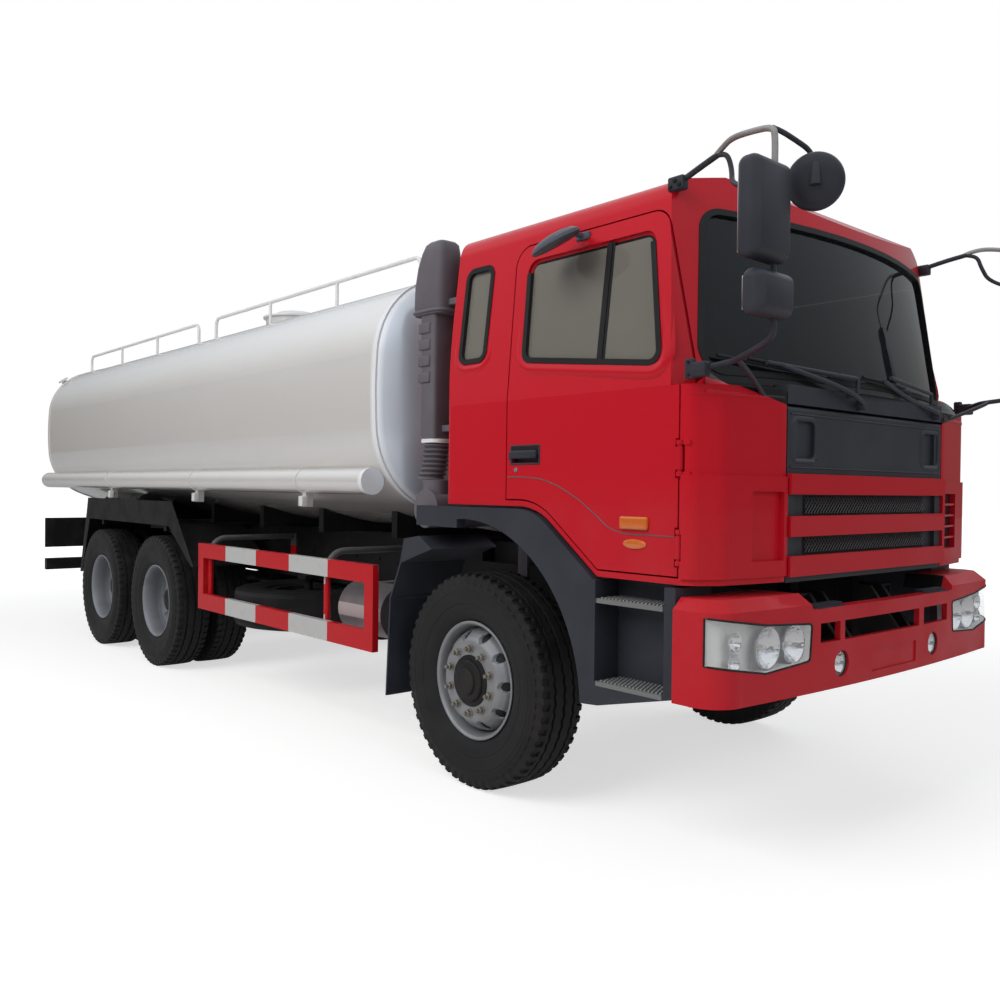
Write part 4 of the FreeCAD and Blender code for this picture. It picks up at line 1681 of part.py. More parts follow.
def steering_axis():
    """Direction of the steering column, up and back towards the driver."""
    tilt = math.radians(STEERING_TILT)
    return V(-math.cos(tilt), 0, math.sin(tilt))


def column():
    """Steering column with the pin that the wheel turns on."""
    centre = V(STEERING_X, SEAT_Y, STEERING_Z)
    along = steering_axis()
    boss = centre - along * (STEERING_RIM_RADIUS * 3 + MOVING_GAP)
    base = boss - along * (DASH_TOP - DASH_BOTTOM)
    return fused([rod(base, boss, COLUMN_RADIUS), rod(boss, centre, COLUMN_PIN_RADIUS)])


def steering_wheel():
    """Rim, two spokes and a hub bored for the column's pin."""
    along = steering_axis()
    centre = V(STEERING_X, SEAT_Y, STEERING_Z)
    rim = Part.makeTorus(STEERING_RADIUS, STEERING_RIM_RADIUS, centre, along)
    hub_low = centre - along * STEERING_RIM_RADIUS * 3
    boss = rod(hub_low, centre + along * STEERING_RIM_RADIUS, COLUMN_RADIUS * 1.4)
    spokes = [rod(centre + V(0, -STEERING_RADIUS, 0), centre + V(0, STEERING_RADIUS, 0), STEERING_RIM_RADIUS * 0.8)]
    bore = rod(hub_low, centre + along * RUNNING_GAP, COLUMN_PIN_RADIUS + RUNNING_GAP)
    return fused([rim, boss] + spokes).cut(bore)


def snorkel():
    """Ram-air head, ribbed duct and bellows behind the cab's right side, on two brackets."""
    y = -SNORKEL_Y
    rear = SNORKEL_X - SNORKEL_HEAD_LENGTH / 2
    front = SNORKEL_X + SNORKEL_HEAD_LENGTH / 2
    head_outline = [(rear, SNORKEL_HEAD_BOTTOM), (rear, (SNORKEL_TOP + SNORKEL_HEAD_BOTTOM) / 2), (SNORKEL_X, SNORKEL_TOP),
                    (front, SNORKEL_TOP), (front, SNORKEL_HEAD_BOTTOM)]
    head = side_prism(head_outline, 0, y - SNORKEL_HEAD_WIDTH / 2, y + SNORKEL_HEAD_WIDTH / 2)
    duct = block(SNORKEL_X - SNORKEL_DUCT_LENGTH / 2, SNORKEL_X + SNORKEL_DUCT_LENGTH / 2, y - SNORKEL_DUCT_WIDTH / 2,
                 y + SNORKEL_DUCT_WIDTH / 2, BELLOWS_TOP, SNORKEL_HEAD_BOTTOM)
    parts = [head, duct]
    for z in (BELLOWS_TOP + SNORKEL_BRACKET, SNORKEL_HEAD_BOTTOM + SNORKEL_BRACKET):
        parts.append(block(SNORKEL_X, CAB_REAR_X - SEAT_GAP, y - SNORKEL_BRACKET / 2, y + SNORKEL_BRACKET / 2, z,
                           z + SNORKEL_BRACKET))
    pitch = (BELLOWS_TOP - BELLOWS_BOTTOM) / BELLOWS_COUNT
    parts.append(rod(V(SNORKEL_X, y, BELLOWS_BOTTOM), V(SNORKEL_X, y, BELLOWS_TOP), BELLOWS_RADIUS - BELLOWS_GROOVE))
    for i in range(BELLOWS_COUNT):
        low = BELLOWS_BOTTOM + i * pitch
        parts.append(rod(V(SNORKEL_X, y, low), V(SNORKEL_X, y, low + pitch / 2), BELLOWS_RADIUS))
    return fused(parts)


def air_intake():
    """Lower duct and air cleaner beside the frame under the snorkel."""
    y = -SNORKEL_Y
    duct = rod(V(SNORKEL_X, y, CLEANER_Z), V(SNORKEL_X, y, BELLOWS_BOTTOM - MOVING_GAP), BELLOWS_RADIUS)
    canister = rod(V(SNORKEL_X, y - BELLOWS_RADIUS, CLEANER_Z), V(SNORKEL_X, y + CLEANER_LENGTH, CLEANER_Z), CLEANER_RADIUS)
    foot = block(SNORKEL_X - RAIL_FLANGE / 2, SNORKEL_X + RAIL_FLANGE / 2, -RAIL_FACE_Y - RAIL_WALL, -RAIL_FACE_Y,
                 FRAME_TOP - RAIL_HEIGHT / 2, CLEANER_Z)
    link = rod(V(SNORKEL_X, y + CLEANER_LENGTH, CLEANER_Z), V(SNORKEL_X, -RAIL_FACE_Y, CLEANER_Z), PIPE_RADIUS)
    return fused([duct, canister, foot, link])


# Front bumper and lamps

def bumper_plan(inset):
    """Bumper seen from above: bowed front, rounded corners, straight ends."""
    z = 0
    front = BUMPER_FRONT_X - inset
    half = BUMPER_HALF_WIDTH - inset
    corner_x = BUMPER_FRONT_X - BUMPER_BOW - BUMPER_ROUND - inset / 2
    turn_y = BUMPER_HALF_WIDTH - BUMPER_ROUND
    rear = BUMPER_REAR_X - (OVERRUN if inset else 0)
    bow = Part.Arc(V(front - BUMPER_BOW, -turn_y, z), V(front, 0, z), V(front - BUMPER_BOW, turn_y, z)).toShape()
    edges = [bow]
    knee_x = (front - BUMPER_BOW - corner_x) * 0.72 + corner_x
    left = Part.Arc(V(front - BUMPER_BOW, turn_y, z), V(knee_x, turn_y + (half - turn_y) * 0.74, z), V(corner_x, half, z)).toShape()
    edges += [left, Part.makeLine(V(corner_x, half, z), V(rear, half, z)), Part.makeLine(V(rear, half, z), V(rear, -half, z)),
              Part.makeLine(V(rear, -half, z), V(corner_x, -half, z)), mirrored(left)]
    return Part.Face(Part.Wire(Part.__sortEdges__(edges)))


def bumper_block(inset, low, high):
    """Bumper shape between two heights."""
    face = bumper_plan(inset)
    face.translate(V(0, 0, low))
    return face.extrude(V(0, 0, high - low))


def lamp_hole(side, gap):
    """Headlamp opening that wraps round the bumper's corner, drawn in by gap."""
    face = rounded_face([V(LAMP_REAR_X + gap, y, z) for y, z in LAMP_OUTLINE], LAMP_ROUND)
    if gap:
        face = face.makeOffset2D(-gap)
    hole = face.extrude(V(BUMPER_FRONT_X + OVERRUN - LAMP_REAR_X, 0, 0))
    return hole if side > 0 else mirrored(hole)


def bumper_edge():
    """Sloping top edge: the plan shape drawn in as it rises."""
    wires = []
    for inset, z in ((0, BUMPER_EDGE_Z), (BUMPER_EDGE_INSET, BUMPER_TOP)):
        face = bumper_plan(inset)
        face.translate(V(0, 0, z))
        wires.append(face.OuterWire)
    return Part.makeLoft(wires, True, True)


def front_bumper():
    """Wrap-round bumper: high corner blocks, a lower bar in the middle, lamp, air and fog lamp openings."""
    behind = block(0, BUMPER_REAR_X, -BUMPER_HALF_WIDTH * 2, BUMPER_HALF_WIDTH * 2, 0, BUMPER_TOP * 2)
    shell = bumper_block(0, BUMPER_BOTTOM, BUMPER_EDGE_Z).fuse(bumper_edge()).cut(behind)
    inside = bumper_block(BUMPER_WALL, BUMPER_BOTTOM - OVERRUN, BUMPER_EDGE_Z - BUMPER_WALL)
    cuts = [inside, lamp_hole(1, 0), lamp_hole(-1, 0)]
    over = BUMPER_TOP + OVERRUN
    low_y = BUMPER_MIDDLE_Y
    high_y = BUMPER_MIDDLE_Y + BUMPER_SHOULDER
    cuts.append(front_prism([(-low_y, BUMPER_BAR_TOP), (low_y, BUMPER_BAR_TOP), (high_y, over), (-high_y, over)], 0,
                            BUMPER_REAR_X - OVERRUN, BUMPER_FRONT_X + OVERRUN))
    room = bumper_block(BUMPER_FLANGE, BUMPER_BOTTOM - OVERRUN, over)
    cuts.append(room.common(block(0, BUMPER_FRONT_X, -low_y, low_y, 0, over)))
    for y0, y1 in GRILLE_SPANS:
        cuts.append(block(BUMPER_FRONT_X - BUMPER_WALL * 4, BUMPER_FRONT_X + OVERRUN, y0, y1, GRILLE_BOTTOM, GRILLE_TOP))
    for y in (-FOG_Y, FOG_Y):
        cuts.append(rod(V(BUMPER_FRONT_X - FOG_DEPTH * 2, y, FOG_Z), V(BUMPER_FRONT_X + OVERRUN, y, FOG_Z), FOG_RADIUS))
    cuts.append(block(BUMPER_FRONT_X - PLATE_RECESS, BUMPER_FRONT_X + OVERRUN, PLATE_Y - PLATE_WIDTH / 2,
                      PLATE_Y + PLATE_WIDTH / 2, PLATE_BOTTOM, PLATE_TOP))
    stays = []
    for side in (-1, 1):
        y0, y1 = sorted((side * (RAIL_OUTER_Y - RAIL_FLANGE), side * RAIL_OUTER_Y))
        stays.append(block(FRAME_FRONT_X + SEAT_GAP, BUMPER_FRONT_X - BUMPER_WALL / 2, y0, y1, STAY_Z, STAY_Z + BUMPER_WALL))
    return fused([shell.cut(cuts)] + stays)


def lamps():
    """Headlamps, fog lamps and rear lamp clusters."""
    shapes = []
    body = bumper_block(SEAT_GAP * 2, BUMPER_BOTTOM, BUMPER_TOP)
    back = bumper_block(LAMP_DEPTH / 2, BUMPER_BOTTOM - OVERRUN, BUMPER_TOP + OVERRUN)
    for side in (-1, 1):
        shapes.append(body.common(lamp_hole(side, LAMP_GAP)).cut(back))
        y = side * FOG_Y
        shapes.append(rod(V(BUMPER_FRONT_X - FOG_DEPTH, y, FOG_Z), V(BUMPER_FRONT_X - OVERRUN, y, FOG_Z), FOG_RADIUS - LAMP_GAP))
        y0, y1 = sorted((side * (REAR_HALF_WIDTH - OVERRUN), side * (REAR_HALF_WIDTH - OVERRUN - REAR_LAMP_WIDTH)))
        middle = (REAR_PANEL_TOP + REAR_PANEL_BOTTOM) / 2
        shapes.append(block(REAR_PANEL_X - REAR_LAMP_DEPTH, REAR_PANEL_X - SEAT_GAP, y0, y1, middle - REAR_LAMP_HEIGHT / 2,
                            middle + REAR_LAMP_HEIGHT / 2))
    return Part.Compound(shapes)


def build():
    """Every piece by name, with X measured from the front axle."""
    nodes = {}
    wheels(nodes)
    axles(nodes)
    cab_parts(nodes)
    flap(nodes)
    nodes["chassis_frame"] = chassis_frame()
    nodes["tank"] = tank_barrel().fuse(lid_ears())
    nodes["manhole_lid"] = manhole_lid()
    nodes["tank_rails"] = tank_rails()
    nodes["hose_tubes"] = hose_tubes()
    nodes["side_guards"] = side_guards()
    nodes["mudguards"] = mudguards()
    nodes["lower_mouldings"] = lower_mouldings()
    nodes["cab_steps"] = cab_steps()
    nodes["exhaust"] = exhaust()
    nodes["fuel_tank"] = fuel_tank()
    nodes["spare_wheel"] = spare_wheel()
    nodes["front_bumper"] = front_bumper()
    nodes["lamps"] = lamps()
    nodes["engine_block"] = engine_block()
    nodes["air_intake"] = air_intake()
    nodes["cowl"] = cowl()
    nodes["mirrors"] = Part.Compound([mirror_set(1, False), mirror_set(-1, True)])
    nodes["cab_interior"] = cab_interior()
    nodes["steering_wheel"] = steering_wheel()
    nodes["snorkel"] = snorkel()
    return nodes


def middle_x(nodes):
    """Middle of the truck's length."""
    box = FreeCAD.BoundBox()
    for shape in nodes.values():
        box.add(shape.optimalBoundingBox(False, False))
    return (box.XMin + box.XMax) / 2


def main():
    os.makedirs("parts", exist_ok=True)
    nodes = build()
    shift = -middle_x(nodes)
    for name, shape in nodes.items():
        shape.translate(V(shift, 0, 0))
        shape.exportStep("parts/%s.step" % name)
    print("nodes", len(nodes), "front axle at x =", round(shift, 3))
    return nodes, shift


NODES, FRONT_AXLE_X = main()
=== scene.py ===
import math
import bmesh
import bpy
import numpy as np
from mathutils import Matrix, Vector
from mathutils.bvhtree import BVHTree


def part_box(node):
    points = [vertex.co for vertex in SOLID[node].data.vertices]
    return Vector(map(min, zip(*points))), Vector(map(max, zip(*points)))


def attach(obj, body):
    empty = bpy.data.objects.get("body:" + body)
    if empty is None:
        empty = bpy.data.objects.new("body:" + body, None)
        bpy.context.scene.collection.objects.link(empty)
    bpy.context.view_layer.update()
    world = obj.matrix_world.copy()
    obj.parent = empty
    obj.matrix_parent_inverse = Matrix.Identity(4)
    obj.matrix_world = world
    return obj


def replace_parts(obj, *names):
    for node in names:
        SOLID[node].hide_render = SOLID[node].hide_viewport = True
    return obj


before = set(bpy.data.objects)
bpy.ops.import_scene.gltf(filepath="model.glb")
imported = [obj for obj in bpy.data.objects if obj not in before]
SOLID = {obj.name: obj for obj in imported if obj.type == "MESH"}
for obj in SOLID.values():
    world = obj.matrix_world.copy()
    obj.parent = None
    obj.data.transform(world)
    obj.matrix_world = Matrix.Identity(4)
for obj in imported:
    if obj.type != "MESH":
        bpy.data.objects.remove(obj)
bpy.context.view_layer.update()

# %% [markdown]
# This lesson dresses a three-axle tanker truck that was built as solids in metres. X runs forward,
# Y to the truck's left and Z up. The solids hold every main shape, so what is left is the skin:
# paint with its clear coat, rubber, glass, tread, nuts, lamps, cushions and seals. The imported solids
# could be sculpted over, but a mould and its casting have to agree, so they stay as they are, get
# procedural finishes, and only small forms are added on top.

hub_low, hub_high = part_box("rim_front_left")
AXLE_X = (hub_low.x + hub_high.x) / 2
SIDES = (("left", 1), ("right", -1))
print("front axle at x =", round(AXLE_X, 4), "and", len(SOLID), "solids loaded")

# %% [markdown]
# Every added shape is a surface with two parameters, worked out as one array of points. A grid of
# points needs a grid of faces, so one helper numbers the corners and another turns several grids
# into one object. Modifiers could build the same things, but arrays show the formula plainly.

# %% Grids to meshes
def faces_of_grid(rows, cols, wrap_rows, wrap_cols):
    """Four-cornered faces of a grid: point (i, j) has number i * cols + j, and wrapping joins last to first."""
    i, j = np.meshgrid(np.arange(rows if wrap_rows else rows - 1),
                       np.arange(cols if wrap_cols else cols - 1), indexing="ij")
    i2, j2 = (i + 1) % rows, (j + 1) % cols
    return np.stack([i * cols + j, i * cols + j2, i2 * cols + j2, i2 * cols + j], -1).reshape(-1, 4)


def sheet(points, wrap_rows=False, wrap_cols=False, caps=False):
    """A grid of points of shape (rows, cols, 3) with how it closes."""
    return np.asarray(points, float), wrap_rows, wrap_cols, caps


def piece(name, sheets, finish, body, corner=35.0):
    """One object from several grids: doubles merged, normals outward, smooth below the corner angle."""
    points, faces, start = [], [], 0
    for grid, wrap_rows, wrap_cols, caps in sheets:
        rows, cols = grid.shape[:2]
        points.append(grid.reshape(-1, 3))
        faces += (faces_of_grid(rows, cols, wrap_rows, wrap_cols) + start).tolist()
        if caps:
            faces.append(list(range(start, start + cols)))
            faces.append(list(range(start + (rows - 1) * cols, start + rows * cols)))
        start += rows * cols
    mesh = bpy.data.meshes.new(name)
    mesh.from_pydata(np.concatenate(points), [], faces)
    return finished(name, mesh, finish, body, corner)


def finished(name, mesh, finish, body, corner=35.0):
    """Cleans a mesh, gives it its finish and makes it ride on a body."""
    work = bmesh.new()
    work.from_mesh(mesh)
    bmesh.ops.remove_doubles(work, verts=work.verts, dist=1e-6)
    bmesh.ops.recalc_face_normals(work, faces=work.faces)
    work.to_mesh(mesh)
    work.free()
    mesh.shade_smooth()
    mesh.set_sharp_from_angle(angle=math.radians(corner))
    mesh.materials.append(finish.material)
    thing = bpy.data.objects.new(name, mesh)
    bpy.context.scene.collection.objects.link(thing)
    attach(thing, body)
    return thing


print("grid helpers ready: sheet, piece")

# %% [markdown]
# Three kinds of surface cover nearly everything on a truck: a profile spun about an axis (bowls, nuts,
# lenses), a rounded block (handles, lamps) and a pipe along a path (wires, wiper arms). Each is a short
# formula, so the sizes below read like those on a drawing.

# %% Spun, blocky and piped shapes
AXES = {"x": ((0, 1, 0), (0, 0, 1), (1, 0, 0)), "y": ((0, 0, 1), (1, 0, 0), (0, 1, 0)),
        "z": ((1, 0, 0), (0, 1, 0), (0, 0, 1))}


def spun(profile, centre, axis="y", sides=40, closed=False):
    """Point = centre + radius * (cos a * u + sin a * v) + along * w for each (radius, along) of the profile."""
    radius, along = np.array(profile, float).T
    u, v, w = (np.array(k, float) for k in (AXES[axis] if isinstance(axis, str) else axis))
    a = np.linspace(0, 2 * np.pi, sides, endpoint=False)
    ring = np.cos(a)[:, None] * u + np.sin(a)[:, None] * v
    grid = np.array(centre, float) + radius[:, None, None] * ring + along[:, None, None] * w
    return sheet(grid, wrap_rows=closed, wrap_cols=True, caps=not closed)


def turned(profile, side):
    """The profile with its length measured to the left for side 1 and to the right for side -1."""
    return [(radius, along * side) for radius, along in profile]


def block(low, high, rounding, axis=0, steps=4):
    """Rounded block: rounded rectangles along an axis, drawn in by r (1 - sin t) over the last r (1 - cos t)."""
    low, high = np.array(low, float), np.array(high, float)
    middle, half = (low + high) / 2, np.abs(high - low) / 2
    p, q = (axis + 1) % 3, (axis + 2) % 3
    t = np.linspace(0, np.pi / 2, steps)
    inset = np.concatenate([rounding * (1 - np.sin(t)), rounding * (1 - np.sin(t))[::-1]])
    along = rounding * (1 - np.cos(t)) - half[axis]
    along = np.concatenate([along, -along[::-1]])
    turn = (np.arange(4)[:, None] * np.pi / 2 + t[None]).ravel()
    sign_p = np.repeat([1, -1, -1, 1], steps)
    sign_q = np.repeat([1, 1, -1, -1], steps)
    grid = np.zeros((len(along), len(turn), 3))
    grid[..., axis] = middle[axis] + along[:, None]
    grid[..., p] = middle[p] + sign_p * (half[p] - rounding) + (rounding - inset)[:, None] * np.cos(turn)
    grid[..., q] = middle[q] + sign_q * (half[q] - rounding) + (rounding - inset)[:, None] * np.sin(turn)
    return sheet(grid, wrap_cols=True, caps=True)


def pipe(path, radius, sides=10, up=(0, 0, 1)):
    """Round pipe: point = path + radius * (cos a * n + sin a * b), with n and b square to the path."""
    path = np.array(path, float)
    along = np.gradient(path, axis=0)
    along /= np.linalg.norm(along, axis=1, keepdims=True)
    n = np.cross(along, np.array(up, float))
    n /= np.linalg.norm(n, axis=1, keepdims=True)
    b = np.cross(along, n)
    a = np.linspace(0, 2 * np.pi, sides, endpoint=False)
    ring = np.cos(a)[None, :, None] * n[:, None] + np.sin(a)[None, :, None] * b[:, None]
    return sheet(path[:, None] + radius * ring, wrap_cols=True, caps=True)


print("spun, block and pipe ready")

# %% [markdown]
# Small pieces sit on the solids' skins, which lean and bow. Their places could be typed in, but they
# would float or sink wherever the skin isn't flat. So a straight line is shot at a solid instead, and
# the piece goes where the line first meets it.

# %% Places on the truck
def at(x, y, z):
    """A place given from the front axle, in the frame's own metres."""
    return (x + AXLE_X, y, z)


TREES = {}


def points_of(mesh):
    """The corners of a mesh as one array of rows x, y, z."""
    points = np.empty(len(mesh.vertices) * 3)
    mesh.vertices.foreach_get("co", points)
    return points.reshape(-1, 3)


def meets(node, start, way):
    """Where a straight line from start first meets a solid, whose faces are all triangles."""
    if node not in TREES:
        mesh = SOLID[node].data
        corners = np.empty(len(mesh.loops), int)
        mesh.loops.foreach_get("vertex_index", corners)
        TREES[node] = BVHTree.FromPolygons(points_of(mesh).tolist(), corners.reshape(-1, 3).tolist())
    place = TREES[node].ray_cast(Vector(start), Vector(way))[0]
    if place is None:
        raise RuntimeError("no surface of " + node + " on that line")
    return place


wheel_top = meets("tyre_front_left", at(0.0, 1.04, 3.0), (0, 0, -1)).z
print("a line shot down meets the front tyre at z =", round(wheel_top, 4))

# %% [markdown]
# Paint is more than a colour. Shader maths is easier to read as sums than as boxes and wires, so one
# small class lets a socket be added, multiplied and compared, and each operator adds its Math node.

# %% Shader sums
class Socket:
    """A shader value that can be used in a sum: each operator adds one Math node."""

    def __init__(self, graph, out):
        self.graph, self.out = graph, out

    def sum(self, kind, a, b):
        """One Math node of a kind."""
        return self.graph.node("ShaderNodeMath", {"operation": kind}, {0: a, 1: b})

    def __add__(self, other): return self.sum("ADD", self, other)
    def __radd__(self, other): return self.sum("ADD", other, self)
    def __sub__(self, other): return self.sum("SUBTRACT", self, other)
    def __rsub__(self, other): return self.sum("SUBTRACT", other, self)
    def __mul__(self, other): return self.sum("MULTIPLY", self, other)
    def __rmul__(self, other): return self.sum("MULTIPLY", other, self)
    def __truediv__(self, other): return self.sum("DIVIDE", self, other)
    def __rtruediv__(self, other): return self.sum("DIVIDE", other, self)
    def __pow__(self, other): return self.sum("POWER", self, other)
    def __lt__(self, other): return self.sum("LESS_THAN", self, other)
    def __gt__(self, other): return self.sum("GREATER_THAN", self, other)
    def __abs__(self): return self.sum("ABSOLUTE", self, 0.0)


print("sockets can be added, multiplied and compared")

# %% [markdown]
# The nodes themselves all come from one method: it takes the node's type, its settings, such as a
# ramp's stops, and what goes into its sockets. Materials, the floor and the world are all node trees,
# so they share it.

# %% Any node
class Graph:
    """A node tree of a material or the world, with one method that makes any node."""

    def __init__(self, tree):
        self.tree = tree

    def node(self, kind, settings=None, values=None, out=0):
        """Any node: its settings first, then the values or links of its sockets."""
        made = self.tree.nodes.new(kind)
        for key, value in (settings or {}).items():
            if key == "stops":
                made.color_ramp.elements.remove(made.color_ramp.elements[1])
                made.color_ramp.elements[0].color = (*value[0][1], 1.0)
                for place, colour in value[1:]:
                    made.color_ramp.elements.new(place).color = (*colour, 1.0)
            else:
                setattr(made, key, value)
        for key, value in (values or {}).items():
            self.join(made.inputs[key], value)
        return Socket(self, made.outputs[out])

    def join(self, target, value):
        """Links a socket, or sets a plain number or colour."""
        if isinstance(value, Socket):
            self.tree.links.new(value.out, target)
        elif isinstance(value, tuple) and target.type == "RGBA":
            target.default_value = (*value, 1.0)
        else:
            target.default_value = value

    def rays(self, *kinds):
        """One value per kind of ray: 1 for a ray of that kind and 0 for any other."""
        return [self.node("ShaderNodeLightPath", out=kind) for kind in kinds]

    def higher(self, a, b):
        """The larger of two values."""
        return self.node("ShaderNodeMath", {"operation": "MAXIMUM"}, {0: a, 1: b})

    def zigzag(self, value, width):
        """Up from 0 to width and down again, over and over."""
        return self.node("ShaderNodeMath", {"operation": "PINGPONG"}, {0: value, 1: width})

    def sine(self, value):
        """The sine of an angle."""
        return self.node("ShaderNodeMath", {"operation": "SINE"}, {0: value})


print("one method makes any node")

# %% [markdown]
# A finish is one material with one shader. A few patterns come back in nearly all of them: noise that
# is fixed to the truck, a slope between two values, a mix of two colours and a bump. Everything that
# varies feeds colour, metal, roughness, coat, alpha or the normal.

# %% Finishes
class Finish(Graph):
    """A material with one Principled shader: fixed values by name, and patterns on the truck's own frame."""

    def __init__(self, name, colour, roughness, **fixed):
        self.material = bpy.data.materials.new(name)
        self.material.use_nodes = True
        super().__init__(self.material.node_tree)
        self.shader = self.tree.nodes["Principled BSDF"]
        self.set("Base Color", colour)
        self.set("Roughness", roughness)
        for key, value in fixed.items():
            self.set(key.replace("_", " "), value)

    def set(self, name, value):
        """Sets or links one input of the shader."""
        self.join(self.shader.inputs[name], value)

    def place(self):
        """X, Y and Z of the point in the truck's own frame."""
        coordinate = self.node("ShaderNodeTexCoord", out=3)
        split = self.node("ShaderNodeSeparateXYZ", None, {0: coordinate})
        return [Socket(self, split.out.node.outputs[i]) for i in range(3)]

    def noise(self, scale, detail=3.0, stretch=(1.0, 1.0, 1.0)):
        """Noise on the truck's own frame, stretched per axis."""
        coordinate = self.node("ShaderNodeTexCoord", out=3)
        mapped = self.node("ShaderNodeMapping", None, {0: coordinate, 3: stretch})
        return self.node("ShaderNodeTexNoise", None, {"Vector": mapped, "Scale": scale, "Detail": detail})

    def mix(self, mask, a, b):
        """Colour a where the mask is 0 and b where it is 1."""
        return self.node("ShaderNodeMix", {"data_type": "RGBA"}, {0: mask, 6: a, 7: b}, out=2)

    def between(self, value, low, high):
        """0 below low, 1 above high and an even slope between them."""
        return self.node("ShaderNodeMapRange", None, {0: value, 1: low, 2: high})

    def bump(self, height, strength, distance=0.001):
        """Raises the surface by a height field."""
        values = {"Height": height, "Strength": strength, "Distance": distance}
        self.set("Normal", self.node("ShaderNodeBump", None, values))


def dress(finish, *names):
    """Gives a finish to solids."""
    for name in names:
        thing = SOLID[name]
        if not thing.material_slots:
            thing.data.materials.append(finish.material)
        for slot in thing.material_slots:
            slot.material = finish.material


print("finishes ready")

# %% [markdown]
# The cab's red is a solid colour under a clear coat. Sprayed paint is never dead flat: it has a very
# fine orange-peel ripple and larger soft waves from the pressed steel, and road film dulls it towards
# the sills. A flat red would look like plastic sheet, so the ripple goes into the normal and the film
# into colour and roughness.

# %% Red coat
def painted(name, colour, film=(0.30, 0.24, 0.20), low=1.1, high=1.6, rough=0.36, coat=0.45, inner=None):
    """Gloss paint: film below a height, orange peel and panel waves, and a lining where `inner` says."""
    paint = Finish(name, colour, rough, Coat_Weight=coat, Coat_Roughness=0.03, Coat_IOR=1.42,
                   Specular_IOR_Level=0.10)
    z = paint.place()[2]
    patch = paint.noise(3.0, 5.0)
    dull = (1.0 - paint.between(z, low, high)) * paint.between(patch, 0.35, 0.75)
    shade = paint.mix(dull * 0.10, colour, film)
    if inner is not None:
        lining, black = inner(paint)
        shade = paint.mix(black, paint.mix(lining, shade, (0.055, 0.055, 0.058)), (0.011, 0.011, 0.012))
        dull = paint.higher(dull, lining)
    paint.set("Base Color", shade)
    paint.set("Roughness", rough + dull * 0.25 + patch * 0.04)
    paint.set("Coat Weight", coat - dull * coat)
    ripple = paint.noise(420.0, 2.0) * 0.25 + paint.noise(5.0, 1.0) * 6.0
    paint.bump(ripple, 0.12, 0.0012)
    return paint


def bumper_lining(paint):
    """Black on the bumper's inner walls: less than 0.70 m from the middle and behind its front beam."""
    x, y, z = paint.place()
    return z < 0.0, (abs(y) < 0.70) * (x < AXLE_X + 1.53)


RED = (0.56, 0.008, 0.020)
cab_red = painted("cab_red_coat", RED)
dress(cab_red, "flap_slats")
dress(painted("bumper_red_coat", RED, inner=bumper_lining), "front_bumper")
print("red coat on the slats and the bumper")

# %% [markdown]
# Inside, the same sheets are lined with grey trim, and under the cab and round the cowl they are black.
# Separate lining pieces would have to fit every window, so the colour changes with depth instead: how
# far a point lies behind the outer skin says whether it is lining. The skin's own formula is simple,
# upright to the shoulder at 1.93 m, then leaning in, under a crowned roof.

# %% Lined red coat
HALF_WIDTH, SHOULDER, LEAN = 1.200, 1.930, 0.158


def side_depth(paint, y, z):
    """Depth behind the side skin: 1.200 - 0.158 * max(0, z - 1.930) - |y|."""
    return HALF_WIDTH - paint.higher(z - SHOULDER, 0.0) * LEAN - abs(y)


def door_lining(paint):
    """Lining more than 19 mm behind the side skin, short of the edge that wraps round the front corner."""
    x, y, z = paint.place()
    edge = 1.235 - paint.higher(z - SHOULDER, 0.0) * 0.16
    return (side_depth(paint, y, z) > 0.019) * (x < edge + AXLE_X), z < 0.0


def shell_lining(paint):
    """Lining 30 mm inside side, roof, rear and screen; black under the cab and on the cowl, and black painted shade
    in the air slot's opening.
    """
    x, y, z = paint.place()
    x = x - AXLE_X
    wide = abs(y)
    roof = 2.885 - (wide / 1.075) ** 5.0 * 0.165
    roof = roof - paint.between(x, 0.9, -0.2) * 0.085 - paint.between(x, 1.0, 1.42) * 0.12
    front = 1.46 - y * y * 0.215 - (z - SHOULDER) * LEAN
    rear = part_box("cab_shell")[0].x - AXLE_X + 0.03
    lining = (side_depth(paint, y, z) > 0.03) * (z < roof - 0.032) * (x < front) * (x > rear)
    slope = 1.857 + paint.higher(wide - 0.66, 0.0) * 0.215
    cowl = (x > 1.25) * (z < 2.02) * (z > slope) * (wide < 1.12)
    # The air slot behind its bars is painted black as painted shade for the dark opening.
    slot = (y > 0.747) * (y < 0.928) * (z > 1.232) * (z < 1.510) * (x > 1.40) * (x + y * 0.151 < 1.596)
    return lining, paint.higher(paint.higher(cowl, slot), z < 1.137)


door_red = painted("door_red_coat", RED, inner=door_lining)
shell_red = painted("shell_red_coat", RED, inner=shell_lining)
dress(door_red, "door_left", "door_right")
dress(shell_red, "cab_shell")
print("doors and shell lined")
